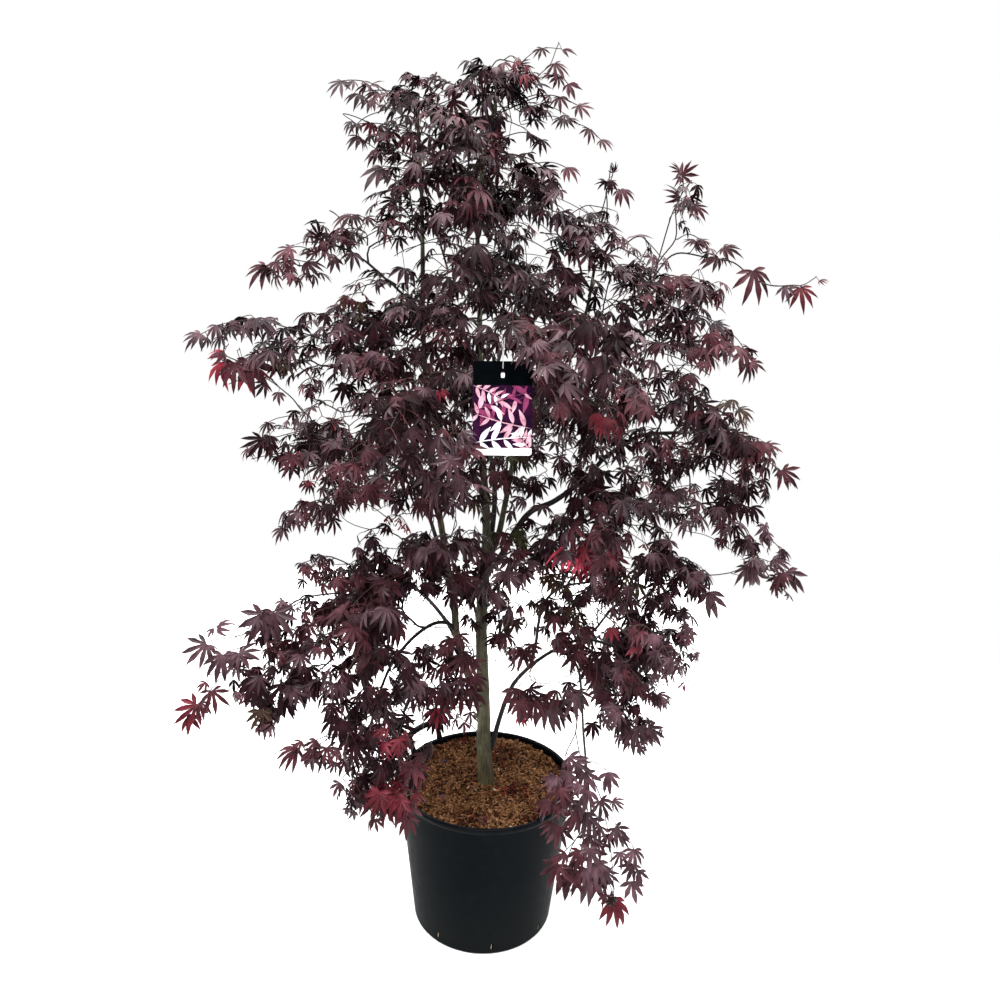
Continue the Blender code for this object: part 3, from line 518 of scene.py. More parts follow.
# ---------------------------------------------------------------- the front view's frame, 1000 x 1000
EYE = np.array([0.0118, -1.779, 1.493])
FOCAL, PITCH, ROLL = 850.0, math.radians(14.62), math.radians(1.87)
RC, RS = math.cos(ROLL), math.sin(ROLL)


def at(u, v, y):
    """The point seen at (u, v) in the front view that lies in the plane y."""
    p, q = u - 500.0, v - 500.0
    a = (RC * p + RS * q) / FOCAL
    b = -(-RS * p + RC * q) / FOCAL
    t = (y - EYE[1]) / (math.cos(PITCH) + b * math.sin(PITCH))
    return np.array([EYE[0] + a * t, y, EYE[2] + t * (-math.sin(PITCH) + b * math.cos(PITCH))])


def seen(p):
    dy, dz = p[1] - EYE[1], p[2] - EYE[2]
    depth = dy * math.cos(PITCH) - dz * math.sin(PITCH)
    a = FOCAL * (p[0] - EYE[0]) / depth
    b = -FOCAL * (dy * math.sin(PITCH) + dz * math.cos(PITCH)) / depth
    return 500 + RC * a - RS * b, 500 + RS * a + RC * b


# How far the crown reaches in the front view, and where sky shows through it: (u, v, half width, half height)
OUTLINE = [(478, 58), (500, 62), (516, 56), (534, 66), (536, 80), (553, 92), (566, 100), (560, 108), (546, 112), (546, 122),
           (532, 120), (515, 116), (503, 120), (518, 128), (530, 142), (520, 150), (512, 148), (526, 160), (548, 164), (558, 174),
           (564, 192), (558, 202), (575, 206), (600, 208), (624, 222), (622, 240), (612, 250), (626, 262), (634, 252), (632, 240),
           (645, 246), (656, 266), (675, 270), (700, 282), (716, 300), (714, 312), (736, 330), (752, 350), (758, 374), (748, 378),
           (736, 364), (722, 356), (714, 374), (702, 376), (694, 368), (692, 380), (702, 388), (724, 400), (745, 415), (765, 440),
           (782, 448), (778, 456), (790, 475), (798, 490), (785, 488), (770, 482), (760, 490), (765, 505), (750, 505), (738, 512),
           (745, 530), (760, 540), (752, 560), (775, 568), (790, 572), (806, 585), (800, 598), (780, 590), (765, 585), (750, 592),
           (738, 588), (732, 578), (738, 562), (730, 545), (722, 530), (712, 520), (708, 505), (690, 520), (668, 525), (650, 520),
           (655, 540), (690, 548), (704, 572), (712, 598), (720, 620), (708, 612), (700, 610), (695, 625), (704, 650), (706, 676),
           (692, 668), (672, 690), (669, 712), (655, 702), (652, 722), (664, 750), (650, 745), (640, 762), (626, 748), (620, 736),
           (604, 744), (582, 744), (578, 722), (566, 734), (546, 738), (530, 726), (515, 714), (505, 700), (494, 690), (478, 700),
           (470, 728), (455, 722), (445, 735), (436, 722), (424, 722), (405, 728), (400, 736), (424, 752), (426, 775), (420, 800),
           (410, 826), (395, 824), (380, 826), (366, 818), (358, 800), (350, 822), (344, 806), (348, 780), (345, 760), (335, 745),
           (322, 735), (318, 715), (325, 700), (305, 690), (300, 712), (290, 700), (285, 720), (270, 730), (258, 738), (246, 728),
           (250, 708), (235, 702), (228, 680), (232, 655), (245, 640), (240, 625), (258, 608), (275, 610), (288, 622), (300, 625),
           (300, 612), (312, 596), (318, 585), (302, 576), (318, 560), (340, 556), (318, 548), (345, 530), (352, 510), (340, 508),
           (320, 505), (310, 515), (290, 530), (285, 545), (272, 540), (275, 520), (290, 505), (310, 492), (318, 480), (300, 470),
           (285, 462), (262, 450), (246, 462), (250, 445), (270, 432), (288, 425), (300, 410), (310, 395), (300, 392), (285, 385),
           (280, 395), (270, 390), (255, 388), (240, 390), (225, 385), (222, 370), (208, 360), (212, 352), (235, 368), (255, 360),
           (250, 345), (262, 335), (245, 325), (232, 340), (222, 338), (212, 345), (200, 345), (186, 352), (184, 345), (205, 328),
           (240, 318), (262, 322), (280, 335), (300, 325), (320, 330), (330, 318), (310, 318), (335, 305), (345, 298), (352, 286),
           (345, 280), (328, 280), (315, 268), (300, 262), (290, 276), (270, 280), (252, 286), (243, 292), (245, 278), (262, 262),
           (272, 250), (298, 246), (300, 236), (318, 232), (322, 222), (335, 213), (360, 216), (378, 212), (374, 196), (380, 186),
           (362, 180), (355, 178), (378, 166), (400, 164), (384, 152), (388, 142), (372, 138), (360, 134), (348, 136), (345, 124),
           (370, 126), (382, 122), (372, 116), (356, 104), (360, 94), (385, 86), (405, 88), (420, 92), (430, 84), (448, 78), (470, 68)]
SKY = [(376, 112, 12, 9), (427, 98, 6, 5), (424, 120, 8, 5), (456, 103, 10, 6), (463, 88, 6, 4), (436, 165, 6, 5), (470, 165, 6, 4),
       (397, 165, 7, 4), (416, 200, 6, 7), (434, 191, 8, 8), (461, 198, 6, 5), (455, 173, 4, 6), (530, 87, 12, 4), (514, 114, 12, 5),
       (552, 118, 10, 6), (560, 148, 26, 14), (590, 160, 18, 14), (556, 196, 4, 7), (528, 222, 15, 8), (538, 246, 13, 17),
       (487, 236, 8, 5), (447, 236, 4, 6), (412, 226, 4, 9), (400, 254, 16, 12), (380, 262, 12, 10), (362, 258, 7, 7),
       (582, 270, 5, 9), (566, 264, 5, 5), (590, 292, 6, 12), (605, 300, 6, 12), (616, 300, 7, 8), (634, 296, 5, 6), (585, 310, 10, 5),
       (660, 358, 28, 7), (658, 402, 6, 6), (662, 430, 12, 7), (632, 456, 14, 4), (606, 462, 14, 5), (680, 462, 14, 6),
       (650, 465, 6, 5), (712, 478, 20, 7), (652, 490, 5, 6), (690, 538, 24, 8), (640, 548, 16, 6), (700, 552, 20, 10),
       (620, 536, 9, 7), (752, 528, 10, 14), (722, 560, 10, 14), (545, 576, 10, 6), (530, 594, 12, 9), (556, 600, 6, 7),
       (580, 590, 10, 5), (590, 614, 17, 8), (522, 638, 9, 12), (548, 466, 12, 7), (545, 500, 12, 9), (540, 520, 7, 6),
       (300, 300, 45, 14), (330, 290, 18, 8), (357, 297, 8, 5), (385, 295, 7, 5), (236, 348, 14, 9), (300, 384, 8, 6),
       (330, 392, 9, 9), (255, 405, 38, 10), (352, 415, 8, 9), (322, 430, 8, 4), (282, 440, 6, 4), (372, 516, 30, 15),
       (330, 536, 34, 8), (408, 512, 5, 8), (428, 520, 4, 9), (460, 518, 8, 10), (410, 528, 18, 8), (445, 530, 16, 6),
       (385, 538, 12, 6), (412, 608, 17, 18), (430, 634, 22, 16), (420, 586, 13, 4), (463, 617, 6, 8), (452, 590, 5, 7),
       (497, 620, 5, 13), (328, 664, 22, 10), (310, 718, 18, 13), (345, 655, 5, 10), (357, 684, 4, 6), (412, 650, 10, 6),
       (385, 680, 10, 5), (505, 674, 13, 22), (550, 672, 18, 12), (570, 678, 7, 8), (586, 704, 5, 12), (612, 740, 8, 10),
       (240, 640, 7, 10), (226, 650, 10, 6), (222, 680, 8, 7), (270, 668, 4, 4), (484, 690, 12, 40), (320, 640, 5, 5),
       (236, 715, 16, 12), (420, 727, 20, 10), (450, 712, 6, 10), (330, 748, 6, 5), (505, 330, 3, 10),
       (326, 412, 16, 10), (312, 360, 8, 6), (606, 294, 8, 14), (612, 312, 8, 6), (440, 262, 8, 6), (545, 246, 12, 12),
       (256, 652, 7, 8), (345, 787, 7, 7), (540, 668, 16, 14), (622, 630, 9, 6), (628, 560, 8, 7), (638, 530, 8, 8),
       (463, 66, 9, 8), (470, 102, 8, 5), (526, 124, 9, 8), (530, 150, 8, 6), (560, 166, 7, 6), (366, 236, 7, 8), (349, 268, 14, 7),
       (312, 232, 6, 4), (322, 356, 8, 6), (302, 320, 8, 4), (645, 240, 7, 6), (738, 244, 8, 5), (783, 290, 7, 5), (757, 360, 5, 8),
       (716, 314, 6, 7), (742, 402, 6, 6), (778, 456, 6, 7), (686, 486, 10, 7), (730, 480, 9, 6), (620, 470, 8, 6), (732, 556, 8, 8),
       (706, 602, 8, 6), (436, 600, 10, 7), (606, 620, 9, 6), (655, 720, 5, 6), (634, 722, 6, 5), (576, 686, 8, 6), (592, 706, 5, 7),
       (538, 686, 6, 6), (290, 616, 7, 8), (300, 686, 6, 5), (380, 686, 6, 5), (290, 520, 5, 6), (266, 464, 6, 5), (404, 708, 5, 5),
       (378, 162, 9, 8), (450, 106, 12, 5), (478, 110, 8, 5), (530, 118, 7, 5), (566, 180, 6, 9), (574, 206, 5, 7), (512, 196, 7, 6),
       (546, 250, 8, 11), (610, 300, 8, 8), (620, 190, 6, 5), (228, 366, 7, 6), (256, 436, 7, 6), (280, 452, 7, 5), (320, 276, 8, 6),
       (370, 264, 6, 6), (730, 322, 9, 9), (742, 340, 6, 8), (722, 240, 8, 5), (742, 404, 8, 6), (792, 296, 6, 5), (790, 462, 6, 7),
       (738, 484, 9, 6), (764, 506, 6, 6), (680, 490, 8, 6), (702, 512, 6, 5), (550, 448, 9, 6), (395, 486, 8, 6), (388, 546, 9, 8),
       (414, 520, 7, 8), (332, 570, 7, 6), (288, 606, 6, 9), (320, 600, 12, 5), (356, 702, 7, 8), (400, 712, 6, 8), (522, 620, 8, 7),
       (576, 642, 8, 7), (660, 690, 7, 7), (645, 731, 9, 5), (785, 563, 7, 5), (785, 602, 6, 5), (326, 766, 6, 6), (298, 690, 7, 7),
       (380, 167, 10, 9), (566, 192, 8, 8), (615, 196, 8, 6), (548, 263, 8, 7), (612, 312, 9, 7), (697, 276, 10, 6), (732, 292, 9, 5),
       (270, 332, 8, 5), (232, 364, 9, 6), (256, 440, 10, 7), (762, 500, 8, 8), (785, 468, 8, 6), (285, 614, 6, 8), (397, 716, 8, 8),
       (391, 552, 9, 8), (340, 806, 7, 8),
       (398, 270, 9, 7), (290, 398, 7, 6), (285, 400, 8, 6), (600, 300, 8, 7), (566, 186, 8, 7), (500, 180, 8, 6), (612, 848, 7, 9),
       (240, 352, 12, 9), (523, 130, 7, 9), (517, 150, 6, 8), (512, 178, 7, 8), (374, 165, 6, 6), (346, 100, 6, 5), (322, 266, 8, 7), (368, 236, 8, 6),
       (436, 246, 9, 7), (434, 272, 7, 6), (536, 256, 8, 6), (474, 322, 8, 6), (326, 418, 13, 9), (268, 470, 7, 9), (294, 574, 9, 7),
       (330, 556, 9, 6), (340, 520, 8, 7), (296, 604, 7, 8), (516, 606, 6, 8), (530, 636, 6, 10), (600, 616, 12, 12), (578, 634, 8, 7),
       (636, 530, 14, 6), (660, 546, 6, 6), (572, 588, 9, 7), (622, 470, 9, 7), (676, 366, 9, 7), (698, 374, 6, 5), (610, 306, 8, 7),
       (300, 690, 7, 8), (238, 652, 8, 5), (580, 706, 8, 6), (404, 530, 9, 6), (616, 210, 8, 5), (716, 590, 6, 9),
       (405, 630, 9, 9), (608, 624, 12, 9), (666, 424, 12, 9), (628, 562, 11, 10), (350, 430, 9, 8), (662, 622, 12, 6), (554, 454, 8, 6),
       (776, 598, 8, 6), (256, 640, 5, 5), (592, 206, 8, 5), (512, 192, 7, 7),
       (690, 607, 14, 6), (602, 420, 8, 5), (655, 424, 10, 6), (540, 648, 8, 10), (392, 546, 8, 6), (640, 612, 8, 5)]
O_A = np.array(OUTLINE, float)
O_B = np.roll(O_A, -1, 0)
SKY_A = np.array(SKY, float)


def in_crown(u, v):
    cross = (O_A[:, 1] > v) != (O_B[:, 1] > v)
    with np.errstate(divide="ignore", invalid="ignore"):
        x = (O_B[:, 0] - O_A[:, 0]) * (v - O_A[:, 1]) / (O_B[:, 1] - O_A[:, 1]) + O_A[:, 0]
    return bool(np.count_nonzero(cross & (u < x)) % 2)


def beyond(u, v):
    """Pixels outside the crown's outline; negative inside."""
    d = O_B - O_A
    p = np.array([u, v]) - O_A
    t = np.clip((p * d).sum(1) / (d * d).sum(1), 0, 1)
    best = float(np.sqrt(((p - t[:, None] * d) ** 2).sum(1)).min())
    return -best if in_crown(u, v) else best


def in_sky(u, v, scale=1.0):
    return bool((((u - SKY_A[:, 0]) / SKY_A[:, 2]) ** 2 + ((v - SKY_A[:, 1]) / SKY_A[:, 3]) ** 2 < scale * scale).any())


# Shoots that can be told apart: (leaf size, tint or "", depth at its start, depth at its tip, its course in the front view)
D, P, B, R, S, Z, G = "leaf_dark", "leaf_plum", "leaf_burgundy", "leaf_red", "leaf_scarlet", "leaf_bronze", "leaf_green"
SHOOTS = [
    # the top
    (0.056, D, 0.00, 0.00, [(480, 105), (472, 84), (470, 72)]), (0.056, D, 0.00, -0.04, [(484, 98), (486, 80), (492, 70)]),
    (0.056, B, 0.00, -0.05, [(500, 92), (508, 74), (516, 66)]), (0.050, B, 0.00, -0.05, [(510, 90), (520, 76), (530, 72)]),
    (0.054, D, -0.05, -0.12, [(440, 134), (454, 126), (468, 130)]), (0.054, B, -0.04, -0.12, [(470, 138), (484, 134), (496, 142)]),
    (0.052, D, 0.00, -0.04, [(476, 96), (452, 84), (430, 78)]),
    (0.040, B, 0.00, -0.03, [(440, 100), (424, 84), (414, 76)]),
    (0.058, "", -0.02, -0.06, [(450, 110), (412, 94), (378, 90), (364, 92)]),
    (0.042, D, 0.02, 0.00, [(520, 112), (548, 106), (562, 112)]),
    (0.052, D, 0.00, -0.05, [(462, 122), (490, 116), (520, 126)]),
    (0.060, P, -0.05, -0.14, [(430, 128), (446, 120), (460, 124)]),
    (0.058, "", -0.02, -0.08, [(500, 152), (528, 158), (552, 174), (560, 186)]),
    (0.062, B, -0.06, -0.14, [(420, 186), (446, 178), (470, 184)]),
    (0.050, B, -0.02, -0.06, [(415, 202), (396, 190), (380, 192)]),
    (0.054, Z, -0.02, -0.06, [(465, 182), (482, 168), (500, 176)]),
    (0.054, "", -0.02, -0.08, [(480, 202), (512, 202), (540, 206), (556, 212)]),
    # upper right
    (0.046, P, 0.00, -0.04, [(555, 226), (585, 206), (612, 210)]),
    (0.056, B, -0.02, -0.10, [(545, 250), (575, 240), (602, 252)]),
    (0.044, P, 0.00, -0.06, [(620, 248), (640, 236), (660, 256)]),
    (0.052, "", 0.00, -0.06, [(576, 292), (586, 276), (598, 284)]),
    (0.050, D, -0.02, -0.06, [(602, 316), (607, 290), (614, 270), (626, 276)]),
    (0.054, B, -0.04, -0.10, [(650, 284), (684, 276), (712, 284)]),
    # upper left
    (0.050, P, -0.02, -0.06, [(405, 296), (378, 272), (352, 252), (326, 244), (304, 242)]),
    (0.046, D, -0.05, -0.07, [(322, 248), (320, 234), (320, 226)]),
    (0.042, B, -0.05, -0.06, [(318, 262), (306, 266), (312, 270)]),
    (0.046, P, -0.04, -0.06, [(408, 292), (380, 276), (358, 280)]),
    (0.050, D, 0.00, -0.05, [(448, 270), (428, 256), (416, 264)]),
    (0.054, P, -0.02, -0.06, [(400, 330), (366, 312), (336, 312), (318, 314)]),
    (0.046, Z, -0.03, -0.08, [(380, 316), (360, 304), (350, 298)]),
    (0.052, P, -0.04, -0.06, [(340, 345), (300, 332), (262, 320), (238, 322)]),
    (0.056, P, -0.06, -0.08, [(330, 352), (292, 346), (262, 350)]),
    (0.040, Z, -0.06, -0.10, [(310, 360), (294, 360), (284, 362)]),
    (0.042, B, -0.08, -0.12, [(352, 352), (342, 356), (338, 360)]),
    (0.040, D, -0.05, -0.08, [(345, 368), (322, 366), (308, 368)]),
    (0.040, P, -0.02, -0.05, [(340, 412), (318, 400), (304, 396)]),
    (0.046, P, -0.02, -0.06, [(330, 440), (300, 430), (276, 428)]),
    (0.042, P, -0.04, -0.06, [(296, 432), (272, 438), (256, 444)]),
    (0.050, D, -0.02, -0.06, [(330, 462), (300, 458), (280, 462)]),
    (0.054, B, -0.08, -0.20, [(372, 492), (338, 496), (308, 506), (294, 512)]),
    (0.060, B, -0.10, -0.26, [(400, 470), (372, 476), (344, 484)]),
    # left middle
    (0.040, D, -0.04, -0.10, [(398, 536), (380, 528), (364, 532)]),
    (0.050, D, -0.04, -0.12, [(408, 550), (384, 548), (366, 552)]),
    (0.036, B, -0.08, -0.12, [(352, 566), (328, 556), (310, 560), (298, 566)]),
    (0.056, B, -0.08, -0.16, [(385, 580), (352, 570), (326, 576)]),
    (0.070, P, -0.08, -0.20, [(410, 580), (396, 576), (386, 584)]),
    (0.068, P, -0.10, -0.24, [(398, 606), (388, 602), (380, 606)]),
    (0.056, B, -0.12, -0.20, [(365, 612), (336, 606), (312, 614)]),
    (0.070, B, -0.14, -0.26, [(372, 618), (356, 614), (346, 622)]),
    (0.046, P, -0.10, -0.20, [(345, 592), (306, 598), (274, 612), (262, 616)]),
    (0.050, P, -0.14, -0.20, [(292, 604), (266, 620), (244, 650), (236, 656)]),
    (0.046, D, -0.16, -0.24, [(310, 634), (284, 636), (270, 646)]),
    (0.048, D, -0.16, -0.26, [(300, 654), (276, 664), (258, 670)]),
    (0.056, B, -0.18, -0.26, [(330, 640), (304, 648), (288, 654)]),
    (0.056, P, -0.18, -0.26, [(322, 664), (308, 670), (296, 680)]),
    (0.060, P, -0.16, -0.28, [(372, 660), (346, 668), (330, 678)]),
    (0.058, D, -0.18, -0.30, [(358, 690), (340, 694), (328, 700)]),
    (0.054, P, -0.16, -0.26, [(402, 676), (384, 688), (370, 694)]),
    (0.046, P, -0.22, -0.36, [(370, 716), (352, 726), (346, 744)]),
    (0.050, P, -0.28, -0.38, [(356, 752), (352, 776), (360, 796)]),
    (0.058, D, -0.24, -0.36, [(400, 722), (382, 740), (376, 756)]),
    (0.056, R, -0.30, -0.38, [(402, 752), (392, 774), (386, 790)]),
    (0.052, R, -0.32, -0.40, [(412, 764), (408, 784), (404, 794)]),
    (0.054, B, -0.26, -0.36, [(424, 726), (416, 742), (408, 756)]),
    # left of the trunk and before it
    (0.052, B, -0.08, -0.14, [(440, 702), (424, 704), (410, 706)]),
    (0.058, P, -0.10, -0.22, [(450, 548), (424, 540), (408, 542)]),
    (0.058, P, -0.10, -0.24, [(470, 546), (452, 536), (436, 544)]),
    (0.050, P, -0.06, -0.14, [(486, 536), (470, 530), (462, 536)]),
    (0.054, P, -0.06, -0.16, [(478, 588), (462, 576), (452, 580)]),
    (0.060, P, -0.06, -0.20, [(490, 556), (504, 560), (514, 572)]),
    (0.066, P, -0.06, -0.22, [(482, 580), (492, 584), (500, 594)]),
    (0.046, B, -0.04, -0.14, [(500, 612), (512, 602), (522, 606)]),
    (0.050, Z, -0.04, -0.12, [(498, 622), (512, 618), (524, 620)]),
    (0.046, B, -0.03, -0.10, [(498, 642), (504, 630), (512, 636)]),
    (0.050, Z, -0.04, -0.10, [(490, 490), (478, 488), (470, 494)]),
    (0.052, B, -0.06, -0.14, [(470, 470), (486, 466), (494, 472)]),
    (0.046, D, -0.02, -0.08, [(496, 480), (516, 478), (532, 486)]),
    (0.044, G, -0.02, -0.08, [(502, 462), (516, 456), (528, 460)]),
    (0.046, Z, -0.02, -0.08, [(520, 458), (536, 456), (548, 462)]),
    (0.046, G, -0.03, -0.10, [(502, 542), (508, 528), (518, 532)]),
    (0.040, D, -0.03, -0.08, [(508, 528), (526, 520), (538, 524)]),
    (0.048, D, -0.06, -0.14, [(556, 430), (548, 438), (540, 446)]),
    (0.048, D, -0.04, -0.14, [(596, 452), (574, 448), (562, 452)]),
    (0.042, D, -0.04, -0.10, [(548, 470), (542, 474), (538, 478)]),
    # right of the trunk
    (0.046, B, -0.04, -0.12, [(536, 664), (530, 644), (522, 648)]),
    (0.048, Z, -0.04, -0.12, [(560, 618), (550, 604), (540, 602)]),
    (0.050, B, -0.04, -0.14, [(580, 634), (570, 634), (562, 640)]),
    (0.056, D, -0.08, -0.20, [(590, 532), (566, 530), (546, 534)]),
    (0.056, S, -0.12, -0.26, [(600, 552), (586, 548), (574, 552)]),
    (0.054, R, -0.14, -0.28, [(612, 548), (600, 546), (592, 550)]),
    (0.062, B, -0.12, -0.28, [(620, 532), (612, 524), (602, 530)]),
    (0.050, D, -0.08, -0.18, [(600, 510), (580, 510), (562, 514)]),
    (0.034, G, -0.06, -0.12, [(574, 526), (566, 518), (558, 520)]),
    (0.044, G, -0.08, -0.18, [(638, 580), (624, 568), (612, 570)]),
    (0.042, G, -0.04, -0.12, [(580, 592), (568, 582), (556, 584)]),
    (0.048, Z, -0.04, -0.14, [(600, 600), (584, 598), (572, 604)]),
    (0.048, D, -0.06, -0.14, [(598, 622), (588, 624), (580, 628)]),
    (0.044, D, -0.06, -0.18, [(640, 602), (616, 600), (600, 604)]),
    # fuller places in the middle
    (0.058, B, -0.10, -0.20, [(470, 340), (454, 328), (442, 326)]), (0.056, D, -0.10, -0.18, [(462, 350), (446, 342), (434, 340)]),
    (0.056, P, -0.10, -0.18, [(478, 330), (464, 318), (452, 314)]), (0.058, D, -0.14, -0.26, [(484, 342), (494, 334), (502, 338)]),
    (0.060, B, -0.16, -0.28, [(520, 318), (530, 326), (540, 336)]), (0.058, D, -0.14, -0.24, [(562, 356), (552, 346), (544, 350)]),
    (0.056, D, -0.10, -0.18, [(434, 478), (416, 484), (408, 492)]), (0.052, B, -0.10, -0.18, [(446, 488), (432, 494), (424, 500)]),
    (0.054, D, -0.08, -0.16, [(470, 482), (456, 490), (448, 496)]), (0.050, D, -0.08, -0.16, [(404, 480), (396, 490), (392, 498)]),
    (0.054, P, -0.08, -0.16, [(548, 552), (534, 556), (524, 562)]), (0.052, Z, -0.08, -0.16, [(572, 558), (560, 564), (550, 572)]),
    (0.054, D, -0.08, -0.16, [(600, 470), (588, 474), (578, 482)]), (0.054, D, -0.08, -0.16, [(616, 426), (606, 434), (600, 442)]),
    (0.052, D, -0.08, -0.14, [(676, 448), (666, 454), (658, 460)]), (0.056, P, -0.10, -0.20, [(652, 382), (642, 388), (636, 396)]),
    (0.056, B, -0.12, -0.22, [(620, 366), (608, 370), (600, 378)]), (0.052, P, -0.14, -0.22, [(336, 630), (324, 636), (316, 644)]),
    (0.050, D, -0.06, -0.12, [(440, 650), (430, 646), (422, 650)]), (0.052, D, -0.08, -0.16, [(428, 562), (418, 570), (412, 578)]),
    (0.052, D, -0.10, -0.16, [(350, 462), (338, 466), (330, 472)]), (0.052, D, -0.08, -0.14, [(394, 404), (382, 410), (374, 416)]),
    (0.050, D, -0.02, -0.08, [(452, 200), (442, 204), (434, 210)]), (0.050, B, -0.04, -0.12, [(506, 636), (504, 646), (508, 654)]),
    (0.048, D, -0.02, -0.08, [(404, 150), (390, 136), (380, 134)]), (0.046, B, -0.02, -0.08, [(410, 158), (394, 150), (384, 150)]),
    (0.048, D, -0.04, -0.10, [(446, 166), (434, 158), (424, 160)]), (0.048, D, -0.04, -0.10, [(426, 226), (414, 224), (406, 228)]),
    (0.048, D, -0.04, -0.10, [(466, 232), (454, 228), (446, 232)]), (0.048, B, -0.04, -0.10, [(508, 226), (518, 222), (528, 226)]),
    (0.050, P, -0.10, -0.16, [(656, 346), (646, 350), (638, 354)]), (0.050, D, -0.10, -0.18, [(660, 428), (648, 430), (640, 438)]),
    (0.050, P, -0.12, -0.20, [(664, 440), (652, 442), (644, 450)]), (0.050, D, -0.10, -0.16, [(694, 450), (684, 454), (678, 462)]),
    (0.050, B, -0.12, -0.18, [(686, 436), (676, 440), (668, 448)]), (0.048, D, -0.08, -0.14, [(632, 436), (622, 440), (616, 448)]),
    (0.048, D, -0.08, -0.14, [(480, 436), (470, 440), (464, 448)]), (0.048, P, -0.08, -0.14, [(478, 460), (468, 464), (462, 472)]),
    (0.046, D, -0.08, -0.14, [(494, 500), (502, 500), (508, 506)]), (0.048, B, -0.08, -0.14, [(508, 540), (514, 540), (520, 546)]),
    (0.048, D, -0.08, -0.14, [(540, 552), (548, 552), (552, 558)]), (0.046, B, -0.08, -0.14, [(340, 512), (330, 512), (324, 518)]),
    (0.046, B, -0.10, -0.16, [(330, 556), (320, 560), (312, 566)]), (0.046, D, -0.08, -0.14, [(676, 566), (686, 570), (692, 576)]),
    (0.046, P, -0.08, -0.14, [(668, 648), (674, 652), (680, 660)]), (0.046, B, -0.10, -0.14, [(768, 580), (776, 584), (784, 590)]),
    (0.050, R, -0.28, -0.36, [(394, 738), (392, 732), (398, 740)]), (0.048, P, -0.24, -0.30, [(330, 738), (322, 742), (316, 750)]),
    (0.046, B, -0.30, -0.34, [(596, 872), (600, 880), (604, 888)]), (0.050, D, -0.08, -0.16, [(520, 318), (526, 322), (530, 330)]),
    (0.050, D, -0.04, -0.10, [(424, 122), (408, 116), (396, 118)]), (0.050, B, -0.05, -0.12, [(416, 134), (402, 130), (394, 134)]),
    (0.050, D, -0.04, -0.10, [(462, 152), (452, 148), (442, 152)]), (0.050, P, -0.05, -0.12, [(452, 150), (444, 144), (432, 148)]),
    (0.052, P, 0.00, 0.00, [(482, 92), (476, 76), (474, 68)]), (0.050, D, 0.02, 0.02, [(486, 92), (488, 76), (484, 66)]),
    (0.046, P, 0.02, 0.00, [(456, 96), (440, 88), (434, 84)]), (0.048, D, -0.04, -0.10, [(416, 206), (404, 200), (392, 204)]),
    (0.048, B, -0.05, -0.12, [(412, 220), (400, 214), (390, 218)]), (0.048, D, -0.04, -0.10, [(420, 214), (408, 208), (400, 212)]),
    (0.044, B, -0.05, -0.08, [(366, 232), (352, 228), (342, 230)]), (0.044, D, -0.06, -0.08, [(296, 264), (284, 262), (272, 264)]),
    (0.050, D, -0.06, -0.14, [(440, 302), (428, 298), (418, 302)]), (0.052, P, -0.08, -0.16, [(428, 308), (416, 304), (406, 308)]),
    (0.050, D, -0.06, -0.14, [(448, 308), (438, 304), (428, 312)]), (0.050, D, -0.06, -0.14, [(588, 316), (578, 312), (568, 316)]),
    (0.052, B, -0.08, -0.16, [(582, 328), (572, 324), (562, 328)]), (0.050, D, -0.06, -0.14, [(592, 334), (584, 332), (578, 340)]),
    (0.046, D, -0.04, -0.08, [(536, 182), (542, 180), (546, 184)]), (0.046, B, -0.04, -0.10, [(602, 234), (610, 232), (616, 238)]),
    (0.048, P, -0.06, -0.10, [(352, 326), (342, 322), (332, 326)]), (0.046, D, -0.08, -0.12, [(362, 372), (350, 370), (342, 374)]),
    (0.050, B, -0.06, -0.12, [(690, 300), (700, 300), (708, 306)]), (0.048, D, -0.08, -0.14, [(670, 348), (658, 346), (650, 350)]),
    (0.048, D, -0.06, -0.12, [(690, 340), (680, 342), (674, 350)]), (0.048, P, -0.06, -0.10, [(712, 324), (720, 330), (724, 340)]),
    (0.050, D, -0.08, -0.14, [(486, 438), (476, 442), (468, 450)]), (0.050, D, -0.06, -0.12, [(502, 476), (512, 476), (520, 482)]),
    (0.048, P, -0.06, -0.12, [(536, 478), (528, 482), (522, 490)]), (0.048, B, -0.08, -0.12, [(724, 450), (736, 448), (744, 454)]),
    (0.048, D, -0.08, -0.12, [(726, 456), (738, 458), (744, 464)]), (0.048, D, -0.08, -0.14, [(420, 508), (410, 508), (402, 514)]),
    (0.048, D, -0.08, -0.14, [(446, 568), (436, 572), (430, 580)]), (0.048, B, -0.06, -0.14, [(606, 590), (596, 592), (588, 598)]),
    (0.050, P, -0.06, -0.14, [(584, 592), (590, 596), (594, 604)]), (0.050, P, -0.14, -0.24, [(392, 650), (380, 650), (370, 656)]),
    (0.050, D, -0.14, -0.22, [(384, 644), (372, 644), (362, 650)]), (0.046, B, -0.08, -0.12, [(714, 520), (720, 526), (722, 534)]),
    (0.046, D, -0.06, -0.12, [(670, 556), (678, 556), (682, 562)]), (0.044, P, -0.20, -0.24, [(282, 700), (272, 702), (266, 708)]),
    (0.050, P, -0.06, -0.12, [(612, 716), (616, 722), (620, 730)]),
    (0.046, D, -0.02, -0.08, [(420, 94), (408, 90), (398, 94)]), (0.044, P, -0.02, -0.06, [(394, 98), (402, 92), (410, 96)]),
    (0.044, R, 0.02, -0.02, [(512, 84), (520, 74), (526, 74)]), (0.046, B, 0.00, -0.04, [(516, 92), (524, 82), (532, 82)]),
    (0.050, D, -0.04, -0.10, [(446, 170), (430, 168), (418, 172)]), (0.050, B, -0.06, -0.12, [(436, 178), (420, 176), (408, 182)]),
    (0.046, D, -0.04, -0.10, [(456, 166), (446, 162), (438, 166)]), (0.046, D, -0.04, -0.08, [(458, 250), (448, 246), (442, 252)]),
